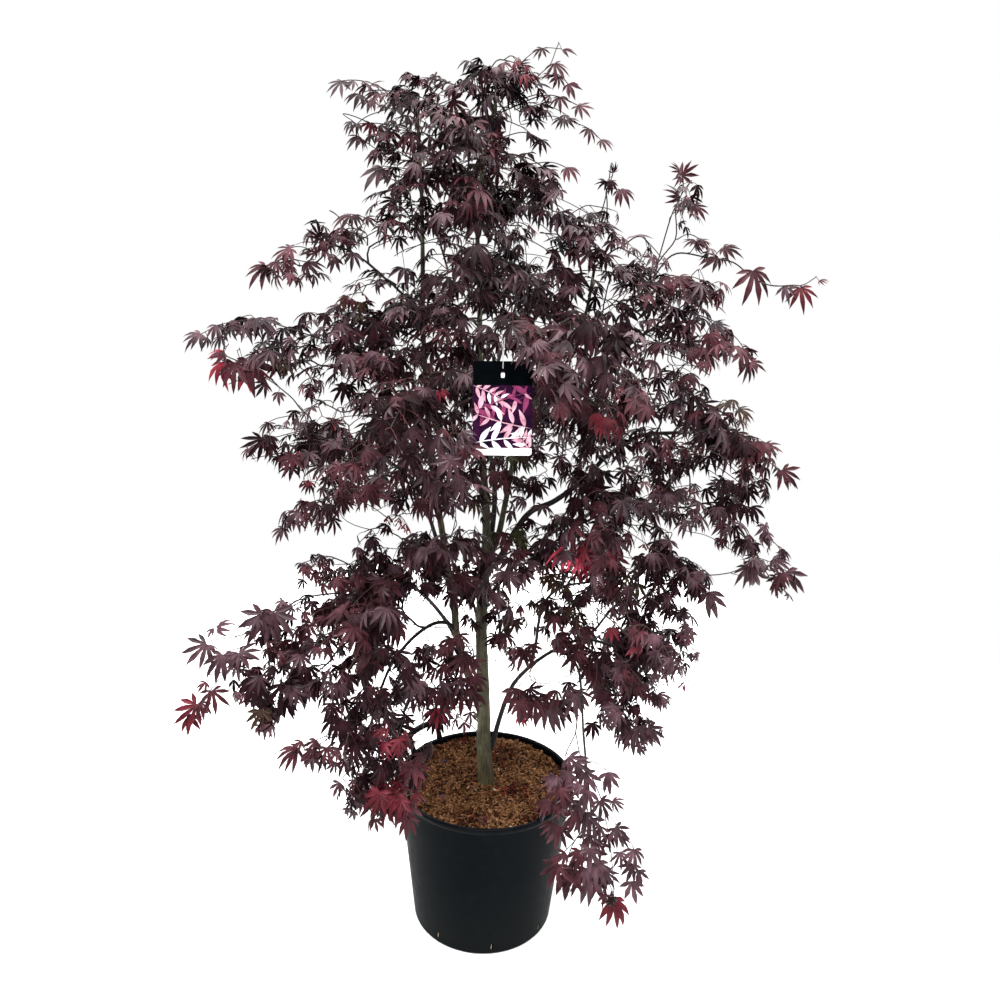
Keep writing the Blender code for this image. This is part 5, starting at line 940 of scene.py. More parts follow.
# Single leaves that stand out against the sky or the pot: (tint, depth, where the stalk meets the blade, the middle lobe's tip)
LONE = [
    # weeping twigs at the right of the pot
    (P, -0.28, (567, 757), (578, 780)), (P, -0.29, (570, 757), (588, 766)), (P, -0.29, (586, 771), (598, 797)),
    (P, -0.29, (583, 774), (576, 798)), (P, -0.29, (608, 772), (611, 796)), (P, -0.30, (602, 801), (618, 816)),
    (P, -0.30, (598, 800), (600, 822)), (B, -0.31, (572, 786), (560, 808)), (B, -0.32, (562, 790), (543, 806)),
    (P, -0.31, (588, 790), (584, 816)), (P, -0.31, (578, 800), (572, 824)), (B, -0.32, (558, 826), (549, 850)),
    (P, -0.32, (562, 828), (564, 852)), (P, -0.31, (586, 812), (582, 842)), (P, -0.31, (592, 818), (596, 844)),
    (P, -0.31, (600, 826), (602, 846)), (B, -0.30, (608, 834), (609, 854)), (P, -0.31, (616, 827), (633, 842)),
    (P, -0.31, (614, 828), (614, 842)), (P, -0.31, (632, 847), (627, 868)), (P, -0.31, (636, 852), (641, 872)),
    (P, -0.32, (633, 864), (626, 884)), (P, -0.32, (638, 870), (643, 888)), (P, -0.32, (630, 880), (624, 904)),
    (P, -0.32, (634, 882), (642, 896)), (B, -0.34, (557, 862), (541, 882)), (B, -0.34, (566, 853), (552, 866)),
    (B, -0.33, (567, 868), (568, 902)), (B, -0.33, (572, 862), (582, 886)), (B, -0.34, (560, 866), (556, 892)),
    (P, -0.33, (587, 850), (578, 872)), (P, -0.33, (592, 846), (598, 874)), (P, -0.33, (597, 862), (606, 890)),
    (P, -0.33, (590, 874), (591, 908)), (P, -0.33, (594, 870), (604, 898)), (P, -0.33, (586, 868), (582, 890)),
    (R, -0.32, (614, 898), (615, 930)), (P, -0.31, (590, 834), (588, 860)), (B, -0.32, (598, 842), (600, 862)),
    (B, -0.33, (580, 850), (574, 874)), (B, -0.33, (552, 822), (540, 836)), (B, -0.32, (576, 812), (566, 838)),
    (D, -0.14, (591, 723), (583, 741)), (D, -0.14, (593, 723), (602, 738)), (P, -0.16, (634, 730), (632, 758)), (P, -0.16, (648, 728), (662, 748)),
    (P, -0.16, (640, 726), (640, 748)), (P, -0.14, (658, 694), (668, 712)),
    (P, -0.29, (575, 762), (590, 783)), (P, -0.30, (568, 771), (565, 794)), (P, -0.31, (622, 836), (630, 851)),
    (B, -0.33, (597, 876), (599, 902)), (B, -0.33, (575, 872), (571, 898)), (P, -0.31, (613, 800), (625, 812)), (P, -0.33, (606, 872), (616, 890)),
    (P, -0.32, (580, 784), (570, 800)), (B, -0.33, (584, 876), (576, 900)), (P, -0.31, (620, 852), (622, 872)),
    # the low shoots at the far left
    (P, -0.20, (214, 628), (206, 640)), (P, -0.20, (217, 628), (236, 625)), (P, -0.20, (206, 643), (181, 661)),
    (P, -0.20, (207, 645), (196, 666)), (P, -0.20, (210, 645), (214, 656)), (P, -0.21, (222, 655), (203, 678)),
    (P, -0.21, (224, 655), (226, 668)), (P, -0.21, (237, 652), (229, 676)), (P, -0.21, (240, 653), (259, 666)),
    (P, -0.21, (239, 652), (258, 656)), (B, -0.22, (206, 682), (198, 694)), (B, -0.22, (212, 690), (227, 702)),
    (B, -0.22, (210, 690), (204, 710)), (B, -0.22, (214, 692), (218, 716)), (R, -0.22, (197, 704), (171, 722)),
    (R, -0.22, (190, 714), (190, 737)), (B, -0.22, (200, 702), (206, 722)), (B, -0.22, (196, 706), (181, 730)),
    (D, -0.24, (256, 676), (237, 704)), (D, -0.25, (262, 680), (252, 712)), (D, -0.26, (281, 684), (282, 720)),
    (D, -0.25, (276, 668), (262, 682)), (D, -0.25, (284, 684), (302, 700)), (Z, -0.27, (263, 708), (246, 727)),
    (R, -0.27, (262, 713), (260, 736)), (P, -0.22, (311, 679), (308, 711)), (P, -0.22, (306, 677), (301, 700)),
    (P, -0.18, (262, 612), (243, 634)), (P, -0.18, (264, 614), (258, 646)), (P, -0.18, (274, 613), (268, 648)),
    (P, -0.18, (276, 612), (293, 634)), (P, -0.16, (293, 608), (280, 614)), (P, -0.16, (296, 608), (304, 613)),
    # the low left: hanging leaves below the gap
    (B, -0.30, (298, 748), (277, 771)), (B, -0.30, (302, 741), (292, 756)), (B, -0.31, (310, 748), (305, 770)),
    (B, -0.31, (314, 750), (318, 768)), (B, -0.32, (325, 750), (328, 771)), (B, -0.32, (329, 745), (336, 762)),
    (B, -0.38, (374, 800), (370, 826)),
    (R, -0.39, (384, 798), (380, 822)), (R, -0.40, (396, 796), (398, 824)), (B, -0.40, (404, 800), (410, 828)),
    # over the pot's left grip
    (R, -0.06, (437, 712), (437, 728)), (B, -0.08, (428, 690), (426, 712)),
    # upper right sprigs
    (B, 0.00, (613, 173), (615, 161)), (B, 0.00, (606, 183), (597, 180)), (B, 0.00, (607, 182), (614, 190)),
    (B, 0.00, (617, 189), (620, 199)), (B, 0.00, (623, 191), (639, 202)),
    (B, 0.00, (680, 199), (662, 189)), (B, 0.00, (683, 199), (704, 203)), (B, 0.00, (684, 202), (694, 212)),
    (B, 0.00, (694, 206), (706, 222)), (B, 0.00, (679, 204), (676, 216)), (B, 0.00, (682, 176), (702, 170)),
    (B, 0.00, (682, 176), (692, 164)), (B, 0.00, (681, 177), (673, 187)), (B, 0.00, (680, 172), (668, 166)),
    (B, -0.03, (696, 241), (682, 249)), (B, -0.03, (699, 240), (714, 244)), (B, -0.03, (698, 241), (702, 254)),
    (B, -0.05, (723, 248), (744, 260)), (B, -0.05, (718, 257), (701, 271)), (B, -0.05, (722, 258), (732, 268)),
    (B, -0.05, (751, 271), (743, 296)), (B, -0.05, (754, 271), (761, 306)), (B, -0.05, (754, 270), (768, 286)),
    (P, -0.06, (784, 286), (791, 306)), (R, -0.06, (800, 287), (803, 316)), (B, -0.06, (803, 288), (812, 303)),
    (B, -0.06, (798, 288), (791, 302)), (B, -0.06, (819, 281), (830, 283)),
    (B, -0.04, (700, 284), (706, 306)), (B, -0.04, (708, 290), (718, 308)), (B, -0.04, (690, 280), (688, 300)),
    # the top
    (B, 0.00, (541, 48), (531, 56)), (B, 0.00, (543, 49), (546, 58)), (B, 0.00, (562, 50), (577, 57)),
    (B, 0.01, (553, 64), (561, 84)), (B, 0.01, (555, 64), (569, 76)), (B, 0.01, (550, 74), (541, 80)),
    (B, 0.01, (558, 76), (552, 90)), (B, 0.01, (568, 84), (577, 100)), (B, 0.01, (558, 97), (551, 113)),
    (B, 0.01, (562, 97), (568, 111)), (B, 0.01, (550, 96), (540, 104)), (B, 0.01, (579, 106), (595, 112)),
    (B, 0.01, (577, 106), (585, 117)), (D, 0.01, (540, 108), (532, 122)), (B, 0.02, (562, 119), (554, 130)),
    (B, 0.02, (566, 120), (580, 127)), (B, 0.02, (588, 129), (580, 143)), (B, 0.02, (590, 129), (595, 145)),
    (B, 0.02, (601, 140), (612, 152)), (D, 0.00, (542, 140), (548, 157)), (D, 0.00, (540, 140), (534, 150)),
    (B, 0.00, (567, 168), (573, 187)), (B, 0.00, (566, 168), (578, 176)),
    (D, -0.02, (446, 80), (432, 86)),
    # left of the trunk
    (B, -0.10, (459, 634), (466, 652)), (B, -0.10, (452, 638), (446, 660)), (B, -0.11, (446, 646), (436, 662)),
    (B, -0.12, (462, 656), (460, 682)), (B, -0.12, (468, 660), (478, 680)), (B, -0.12, (444, 664), (446, 688)),
    (B, -0.13, (436, 668), (424, 684)), (B, -0.13, (420, 650), (406, 664)), (B, -0.13, (424, 648), (430, 664)),
    (B, -0.13, (410, 662), (412, 682)), (B, -0.13, (404, 658), (392, 672)), (B, -0.14, (462, 690), (460, 718)),
    (B, -0.14, (470, 690), (480, 716)), (B, -0.14, (454, 688), (446, 712)), (B, -0.14, (444, 696), (450, 724)),
    (B, -0.14, (432, 688), (428, 712)), (B, -0.14, (440, 690), (444, 714)), (B, -0.14, (422, 686), (412, 704)),
    (P, -0.14, (412, 692), (404, 716)), (P, -0.14, (402, 690), (392, 706)), (B, -0.13, (474, 676), (484, 694)),
    (B, -0.12, (466, 678), (468, 700)),
    # right of the trunk
    (B, -0.12, (505, 632), (495, 648)), (B, -0.12, (509, 632), (513, 650)), (B, -0.12, (503, 636), (505, 654)),
    (B, -0.12, (522, 650), (510, 665)), (B, -0.12, (526, 650), (526, 674)), (B, -0.12, (530, 650), (537, 660)),
    (B, -0.10, (545, 600), (532, 612)), (B, -0.10, (548, 600), (550, 617)), (B, -0.10, (552, 615), (545, 634)),
    (B, -0.10, (558, 616), (562, 635)), (B, -0.10, (562, 614), (572, 626)), (B, -0.10, (564, 636), (552, 650)),
    (B, -0.10, (568, 638), (570, 660)), (B, -0.10, (574, 650), (564, 668)), (B, -0.10, (580, 652), (582, 676)),
    (B, -0.10, (590, 664), (584, 688)), (B, -0.10, (596, 668), (602, 692)), (B, -0.10, (578, 690), (584, 712)),
    (B, -0.10, (572, 620), (586, 634)), (B, -0.10, (586, 626), (590, 646)),
    # the rim's right side, over the grip
    (P, -0.31, (556, 776), (546, 796)), (P, -0.32, (560, 786), (562, 808)), (B, -0.33, (548, 800), (538, 818)),
    (B, -0.33, (556, 804), (560, 822)), (P, -0.32, (566, 798), (574, 814)),
    # upper left
    (P, -0.05, (341, 81), (326, 95)), (P, -0.05, (342, 82), (339, 96)), (P, -0.05, (354, 81), (346, 92)),
    (P, -0.04, (362, 82), (372, 90)), (B, -0.03, (378, 92), (364, 104)), (R, -0.04, (374, 98), (371, 112)),
    (B, -0.04, (418, 80), (404, 82)), (B, -0.04, (420, 80), (424, 88)),
    (B, -0.05, (358, 124), (345, 134)), (B, -0.05, (360, 124), (352, 138)), (R, -0.05, (371, 123), (367, 142)),
    (B, -0.04, (380, 125), (388, 142)), (P, -0.05, (359, 136), (348, 152)),
    (P, -0.05, (382, 167), (357, 186)), (P, -0.05, (383, 168), (375, 184)), (P, -0.04, (393, 172), (378, 184)),
    (B, -0.06, (350, 215), (329, 227)), (B, -0.06, (351, 216), (341, 233)), (B, -0.06, (354, 215), (358, 232)),
    (B, -0.05, (366, 217), (376, 228)), (D, -0.07, (320, 236), (319, 219)), (D, -0.07, (319, 237), (306, 232)),
    (D, -0.07, (322, 237), (332, 244)), (D, -0.07, (320, 238), (314, 250)), (B, -0.07, (290, 248), (269, 258)),
    (B, -0.07, (291, 249), (284, 262)), (B, -0.08, (264, 267), (243, 285)), (B, -0.08, (268, 266), (258, 284)),
    (B, -0.08, (276, 262), (272, 280)), (B, -0.07, (288, 260), (288, 278)), (B, -0.06, (306, 262), (321, 281)),
    (P, -0.06, (201, 334), (184, 353)), (P, -0.06, (216, 325), (208, 345)), (P, -0.06, (218, 325), (230, 340)),
    (P, -0.06, (236, 321), (230, 334)), (P, -0.06, (250, 320), (245, 337)), (P, -0.06, (254, 320), (262, 344)),
    (P, -0.06, (262, 320), (280, 336)), (B, -0.08, (226, 356), (207, 360)), (B, -0.08, (233, 363), (229, 394)),
    (B, -0.08, (236, 363), (242, 386)), (B, -0.08, (250, 362), (256, 394)), (B, -0.08, (254, 361), (274, 391)),
    (B, -0.08, (248, 362), (240, 378)), (B, -0.08, (280, 364), (270, 382)), (Z, -0.10, (290, 362), (284, 380)),
    (D, -0.22, (318, 504), (306, 522)), (D, -0.22, (330, 504), (326, 524)), (D, -0.22, (342, 500), (344, 518)),
    (P, -0.22, (298, 512), (288, 532)), (P, -0.21, (284, 528), (275, 546)), (B, -0.14, (292, 455), (284, 478)),
    (D, -0.12, (262, 438), (247, 460)), (D, -0.12, (270, 436), (262, 454)),
    # the tier at the right
    (D, -0.10, (736, 504), (732, 526)), (D, -0.10, (745, 506), (748, 528)), (D, -0.10, (728, 508), (720, 530)),
    (D, -0.10, (752, 506), (760, 526)),
    # behind the pot's rim, between the trunk and the weeping twigs
    (B, -0.10, (517, 688), (509, 716)), (P, -0.07, (527, 695), (520, 725)), (B, -0.11, (535, 700), (535, 729)),
    (D, -0.06, (545, 694), (541, 718)), (P, -0.10, (550, 702), (554, 736)), (B, -0.08, (560, 700), (565, 731)),
    (P, -0.11, (567, 689), (579, 708)), (B, -0.12, (556, 690), (549, 712)), (D, -0.12, (529, 688), (542, 704)),
    (P, -0.12, (574, 694), (574, 722)), (B, -0.13, (520, 700), (527, 724)), (S, -0.05, (521, 714), (524, 730)),
    # low at the left of the pot
    (D, -0.30, (336, 716), (328, 742)), (D, -0.31, (342, 722), (340, 750)), (D, -0.32, (348, 736), (352, 762)),
    (D, -0.33, (356, 744), (360, 774)), (R, -0.39, (390, 800), (386, 830)), (B, -0.39, (378, 796), (372, 820)),
    (B, -0.40, (402, 806), (402, 834)), (B, -0.38, (366, 796), (359, 817)), (B, -0.12, (500, 632), (510, 652)),
    (B, -0.41, (406, 816), (408, 842)), (P, -0.06, (222, 336), (214, 354)), (P, -0.06, (208, 338), (200, 352)),
    # scarlet leaves at the far left, and leaves over the back grip
    (S, -0.04, (224, 352), (207, 359)), (S, -0.05, (222, 362), (228, 393)), (S, -0.06, (246, 368), (274, 388)), (R, -0.05, (243, 366), (258, 392)),
    (S, -0.12, (436, 708), (438, 731)), (D, 0.05, (436, 716), (438, 739)), (R, -0.10, (433, 710), (423, 724)), (B, 0.04, (440, 708), (450, 728)),
    (S, -0.06, (452, 486), (448, 500)), (S, -0.10, (296, 454), (300, 468)), (S, -0.08, (440, 390), (446, 404)),
    (D, 0.02, (390, 722), (406, 734)), (D, 0.00, (396, 728), (408, 750)), (P, -0.02, (392, 740), (412, 758)), (D, 0.00, (398, 722), (412, 730)),
    # over the label's upper right corner
    (P, -0.335, (526, 346), (514, 362)), (P, -0.335, (532, 348), (524, 374)), (P, -0.335, (540, 352), (537, 380)),
    (P, -0.335, (520, 336), (509, 350)), (B, -0.335, (548, 352), (556, 380)), (P, -0.335, (536, 342), (550, 356)),
    (P, -0.335, (510, 324), (503, 342)), (D, -0.335, (514, 328), (516, 346)), (D, -0.335, (504, 318), (496, 334)),
    # over its lower left corner
    (P, -0.335, (462, 432), (478, 444)), (P, -0.335, (458, 440), (476, 460)), (P, -0.335, (452, 444), (462, 468)),
    (P, -0.335, (450, 436), (440, 456)), (B, -0.335, (470, 448), (488, 460)), (B, -0.335, (446, 430), (434, 440)),
    # right edge
    (P, -0.10, (772, 560), (792, 574)), (P, -0.10, (786, 572), (806, 592)), (P, -0.11, (748, 566), (742, 590)),
    (P, -0.10, (764, 532), (770, 552)), (B, -0.10, (782, 470), (798, 490)), (B, -0.10, (764, 446), (784, 452)),
    (P, -0.08, (708, 592), (719, 620)), (B, -0.08, (742, 350), (752, 378)), (B, -0.08, (706, 350), (706, 376)),
]


# ---------------------------------------------------------------- leaves
def leaf_template(gen, lobes, close, slim, spread=1.0):
    """A palmate leaf of unit length: +X to the tip of the middle lobe, +Z off the upper face, the stalk at the origin."""
    pairs = {7: [(33, 0.93), (67, 0.78), (108, 0.46)], 5: [(37, 0.86), (78, 0.56)], 3: [(40, 0.72)]}[lobes]
    angles, lengths = [0.0], [1.0]
    for a, ln in pairs:
        for sgn in (1, -1):
            angles.append(sgn * (a + gen.uniform(-4, 4)) * (1 - 0.16 * close) * spread)
            lengths.append(ln * gen.uniform(0.88, 1.08))
    order = np.argsort(angles)
    angles = np.radians(np.array(angles)[order])
    lengths = np.array(lengths)[order]
    n = len(angles)
    # sinuses between neighbouring lobes, and the shoulders either side of the stalk
    sinus = []
    for i in range(n + 1):
        if i == 0:
            a, r = angles[0] - math.radians(22), 0.13 * lengths[0] + 0.02
        elif i == n:
            a, r = angles[-1] + math.radians(22), 0.13 * lengths[-1] + 0.02
        else:
            a, r = (angles[i - 1] + angles[i]) / 2, 0.18 * min(lengths[i - 1], lengths[i]) + 0.036
        sinus.append((r * math.cos(a), r * math.sin(a)))
    stations = ((0.36, 0.088), (0.56, 0.105), (0.79, 0.058))
    verts, faces = [], []

    def put(x, y, z):
        verts.append((x, y, z))
        return len(verts) - 1

    fold = gen.uniform(0.25, 0.60)
    for i in range(n):
        a, ln = angles[i], lengths[i]
        d = np.array([math.cos(a), math.sin(a)])
        s = np.array([-math.sin(a), math.cos(a)])
        bend = gen.uniform(-0.11, 0.11)
        lift = gen.uniform(-0.11, 0.09)
        widths = [w * slim * gen.uniform(0.90, 1.12) for _, w in stations]
        for sgn in (-1, 1):
            c0 = put(0.0, 0.0, 0.0)
            sx, sy = sinus[i] if sgn < 0 else sinus[i + 1]
            edge = [put(sx, sy, 0.014)]
            mid = [put(*(d * 0.20 * ln), -0.006)]
            for (t, _), w in zip(stations, widths):
                w = w * (0.50 + 0.50 * ln)
                q = d * t * ln + s * bend * t * t * ln
                edge.append(put(*(q + s * sgn * w * math.sqrt(1 - 0.5 * fold * fold)), fold * w + lift * t * t))
                mid.append(put(*q, lift * t * t))
            tip = put(*(d * ln + s * bend * ln), lift)
            tris = [(c0, mid[0], edge[0])]
            for k in range(len(edge) - 1):
                tris += [(mid[k], mid[k + 1], edge[k]), (edge[k], mid[k + 1], edge[k + 1])]
            tris.append((mid[-1], tip, edge[-1]))
            if sgn > 0:
                faces += tris
            else:
                faces += [(q[0], q[2], q[1]) for q in tris]
    v = np.array(verts)
    # the blade is a half-shut umbrella: the lobes arch down from the stalk's end, their tips most of all
    r = np.hypot(v[:, 0], v[:, 1])
    v[:, 2] -= (0.08 + 0.62 * close) * r ** 1.6 + gen.uniform(-0.05, 0.05) * v[:, 0] * v[:, 1]
    shrink = 1 - 0.30 * close * r ** 1.6
    v[:, 0] *= shrink
    v[:, 1] *= shrink
    return v, np.array(faces)


TEMPLATES = []


def make_templates():
    gen = np.random.default_rng(77)
    for close in (0.25, 0.55, 0.85, 1.1):
        for lobes, slim in ((7, 1.0), (7, 0.86), (7, 1.10), (5, 1.10), (7, 0.94), (5, 1.00), (3, 1.10)):
            TEMPLATES.append(leaf_template(gen, lobes, close, slim))
    # 28 on: hanging leaves, the fan half shut
    for close in (0.35, 0.65, 0.95):
        for lobes, slim in ((7, 0.98), (7, 0.86), (5, 1.05), (7, 0.92), (5, 0.95), (3, 1.05)):
            TEMPLATES.append(leaf_template(gen, lobes, close, slim, 0.87))


leaf_bags = {}
twig_bag, stalk_bag = Bag(), Bag()
leaf_count = 0


def seed_here(p, salt):
    """Every mass, shoot and spray draws from its own seeded generator."""
    global rng
    rng = np.random.default_rng([salt, int(round((p[0] + 3) * 2000)), int(round((p[1] + 3) * 2000)), int(round((p[2] + 3) * 2000))])


tint_rng = np.random.default_rng(88)
NEAR_TINTS = {"leaf_dark": ("leaf_plum",), "leaf_plum": ("leaf_dark", "leaf_dark", "leaf_burgundy"), "leaf_burgundy": ("leaf_plum", "leaf_dark")}


def put_leaf(base, along, normal, size, tint, template):
    global leaf_count
    v, f = TEMPLATES[template]
    a = unit(along)
    n = unit(normal - a * normal.dot(a))
    s = np.cross(n, a)
    verts = base + size * (np.outer(v[:, 0], a) + np.outer(v[:, 1], s) + np.outer(v[:, 2], n))
    leaf_bags.setdefault(tint, Bag()).add(verts, f)
    leaf_count += 1


def stalk(p0, p1, d0, r0, r1):
    """A leaf stalk: a thin bent tube from the twig to the blade."""
    m = p0 + d0 * np.linalg.norm(p1 - p0) * 0.55
    t = np.array([0.0, 0.35, 0.7, 1.0])[:, None]
    line = (1 - t) ** 2 * p0 + 2 * t * (1 - t) * m + t ** 2 * p1
    tube(stalk_bag, line, np.linspace(r0, r1, 4), 3, cap=False)


def hang_leaf(node, out, size, tint, droop, free=False):
    """One leaf on its stalk: out is the way the stalk leaves the twig. A free one keeps to the crown's outline."""
    if node[1] < -0.33 and node[0] > 0.20:                           # the foremost shoots at the right are young
        size = min(size, 0.042)
    ln = size * rng.uniform(0.30, 0.58)
    out = unit(out)
    tip = node + out * ln + np.array([0, 0, -0.26 * ln])
    h = np.array([out[0], out[1], 0.0])
    if np.linalg.norm(h) < 0.1:
        a = rng.uniform(0, 2 * math.pi)
        h = np.array([math.cos(a), math.sin(a), 0.0])
    h = unit(h)
    az = rng.normal(0, 0.40)
    h = np.array([h[0] * math.cos(az) - h[1] * math.sin(az), h[0] * math.sin(az) + h[1] * math.cos(az), 0.0])
    dl = math.radians(droop)
    a = math.cos(dl) * h - math.sin(dl) * UP
    n = math.sin(dl) * h + math.cos(dl) * UP
    side = np.cross(n, a)
    roll = rng.normal(0, 0.36)
    n = n * math.cos(roll) + side * math.sin(roll)
    if in_front_of_label(tip + a * size * 0.5, 0.012) or in_front_of_label(tip, 0.01) or in_front_of_label(tip + a * size, 0.0):
        return
    centre = tip + a * size * 0.45
    u, v = seen(centre)
    if free:
        if beyond(u, v) > -rng.uniform(3, 14) or in_sky(u, v, 1.15):
            return
        side = np.cross(n, a)
        drop = n * size * 0.35
        for q in (tip + a * size * 0.80 - drop, tip + (a * 0.78 + side * 0.42) * size * 0.85 - drop, tip + (a * 0.78 - side * 0.42) * size * 0.85 - drop):
            u, v = seen(q)
            if in_sky(u, v, 0.92) or beyond(u, v) > 3:
                return
    elif beyond(u, v) > max(8.0, beyond(*seen(node)) + 16) or in_sky(u, v, 0.85):
        return
    if tint in NEAR_TINTS and tint_rng.random() < 0.24:
        tint = NEAR_TINTS[tint][int(tint_rng.integers(0, len(NEAR_TINTS[tint])))]
    if rng.random() < droop / 95:
        kind = 28 + 6 * int(rng.integers(0, 3)) + (int(rng.integers(0, 5)) if size > 0.040 else int(rng.integers(2, 6)))
    else:
        kind = 7 * int(rng.choice(4, p=[0.30, 0.36, 0.24, 0.10])) + (int(rng.integers(0, 5)) if size > 0.040 else int(rng.integers(3, 7)))
    put_leaf(tip, a, n, size, tint, kind)
    stalk(node, tip, out, 0.00080, 0.00060)


def leaf_droop(p, d):
    """Blades lie flatter towards the top of the crown and hang on the low and weeping shoots."""
    mean = 14 + 42 * min(1.0, max(0.0, (1.60 - p[2]) / 1.0)) + 22 * max(0.0, -d[2])
    return float(np.clip(rng.normal(mean, 17), -10, 88))


def leaf_pair(p, d, turn, size, tint, chance, free, tip=False):
    side = unit(np.cross(d, UP)) if abs(d[2]) < 0.97 else np.array([1.0, 0.0, 0.0])
    up = np.cross(side, d)
    roll = (0.0 if turn % 2 else 1.0) * rng.uniform(0.5, 1.2) + rng.normal(0, 0.2)
    side = side * math.cos(roll) + up * math.sin(roll)
    for sgn in (-1, 1):
        if rng.random() > chance:
            continue
        out = d * (0.85 if tip else 0.40) + side * sgn * 0.85 + np.array([0, 0, 0.08])
        hang_leaf(p, out, size * rng.uniform(0.85, 1.10), tint, leaf_droop(p, d), free)


def spray(base_node, d, length, size, tint, sag=1.0, density=1.0):
    """A leafy shoot: a slightly crooked drooping twig with opposite pairs of leaves, and a pair at its tip."""
    p = wood.pos[base_node].copy()
    d = unit(d)
    step = 0.010
    n = max(3, int(length / step))
    gap = 0.024 + 0.008 * rng.random()
    next_pair, travelled, turn = gap * 0.3, 0.0, int(rng.integers(0, 2))
    parent = base_node
    for i in range(n):
        t = i / n
        d = unit(d + np.array([0, 0, -0.050 * sag]) + rng.normal(0, 0.050, 3))
        p = p + d * step
        travelled += step
        parent = wood.add(p, parent, d, "twig")
        last = i == n - 1
        if travelled >= next_pair or last:
            next_pair += gap
            turn += 1
            s = size * (1.0 - 0.30 * t) * rng.uniform(0.82, 1.10)
            leaf_pair(p, d, turn, s, tint, (0.93 if last else 0.85) * density, True, last)
            if last and rng.random() < 0.5:
                hang_leaf(p, d + rng.normal(0, 0.15, 3), s * 0.62, tint, leaf_droop(p, d), True)
    return parent


def run_shoot(size, tint, y0, y1, course):
    """A shoot that follows its course in the front view, with opposite pairs of leaves down its outer part."""
    n = len(course)
    pts = [at(u, v, y0 + (y1 - y0) * i / (n - 1)) for i, (u, v) in enumerate(course)]
    line = spline(pts, 0.008)
    seed_here(line[0], 3)
    parent = grow_to(line[0], line[1] - line[0])
    size *= 0.90 if line[-1][2] < 1.5 else 0.86
    along = np.concatenate([[0], np.cumsum(np.linalg.norm(np.diff(line, axis=0), axis=1))])
    gap = 0.021 + 0.10 * size
    next_pair, turn = along[-1] - gap * math.floor(along[-1] / gap), int(rng.integers(0, 2))
    for i in range(1, len(line)):
        d = unit(line[i] - line[i - 1])
        q = line[i] + (rng.normal(0, 0.0007, 3) if i < len(line) - 1 else 0)
        parent = wood.add(q, parent, d, "twig")
        last = i == len(line) - 1
        if along[i] >= next_pair or last:
            next_pair += gap
            turn += 1
            t = along[i] / along[-1]
            s = size * (1.08 - 0.20 * t) * rng.uniform(0.88, 1.10)
            leaf_pair(line[i], d, turn, s, tint or tint_for(line[i]), (0.95 if last else 0.90) if size > 0.045 else 0.62, False, last)
            if last:
                hang_leaf(line[i], d + rng.normal(0, 0.12, 3), s * rng.uniform(0.7, 1.0), tint or tint_for(line[i]),
                          leaf_droop(line[i], d))
    return parent


# ---------------------------------------------------------------- growth
def grow_to(target, arrive, limit=None):
    """Grows a branch from the best place on the existing wood to the target; returns the new end node."""
    pos = np.array(wood.pos)
    dirs = np.array(wood.dir)
    run = np.array(wood.run)
    v = target - pos
    dist = np.linalg.norm(v, axis=1)
    cosang = np.einsum("ij,ij->i", v, dirs) / np.maximum(dist, 1e-9)
    cost = dist * (1.0 + 0.55 * (1 - cosang)) + 0.16 * run
    down = np.clip(-(v[:, 2]), 0, None)
    cost += 0.25 * down
    cost[pos[:, 2] < 0.40] += 0.5
    cost[dist < 0.012] += 0.02
    i = int(np.argmin(cost))
    p0, p3 = pos[i], target
    d = max(dist[i], 1e-4)
    n = int(max(2, round(d / 0.012)))
    out = unit(dirs[i] * 0.4 + unit(v[i]) + UP * 0.10)
    p1 = p0 + out * d * 0.34
    p2 = p3 - unit(arrive) * d * 0.24
    parent = i
    bendy = rng.normal(0, 0.010 * min(1.0, d / 0.15), 3)
    prev = p0
    for k in range(1, n + 1):
        t = k / n
        q = (1 - t) ** 3 * p0 + 3 * t * (1 - t) ** 2 * p1 + 3 * t * t * (1 - t) * p2 + t ** 3 * p3
        q = q + bendy * math.sin(math.pi * t) + (rng.normal(0, 0.0012, 3) if k < n else 0)
        parent = wood.add(q, parent, q - prev, "branch")
        prev = q
    return parent


SPRAYS_PER_LITRE = 3.1


def one_leaf_each():
    """Tips that hang from one base are lobes of one leaf: the leaf points between them."""
    left, out = list(LONE), []
    while left:
        tint, y, base, tip = left.pop(0)
        group = [(base, tip)]
        heading = math.atan2(tip[1] - base[1], tip[0] - base[0])
        for other in list(left):
            turn = abs((math.atan2(other[3][1] - other[2][1], other[3][0] - other[2][0]) - heading + math.pi) % (2 * math.pi) - math.pi)
            if abs(other[1] - y) < 0.016 and math.hypot(other[2][0] - base[0], other[2][1] - base[1]) < 6.6 and turn < 1.25:
                group.append((other[2], other[3]))
                left.remove(other)
        b = np.mean([g[0] for g in group], axis=0)
        arms = [np.subtract(g[1], b) for g in group]
        way = unit(np.sum([unit(a) for a in arms], axis=0))
        reach = max(np.linalg.norm(a) for a in arms)
        out.append((tint, y, tuple(b), tuple(b + way * reach), len(group)))
    return out


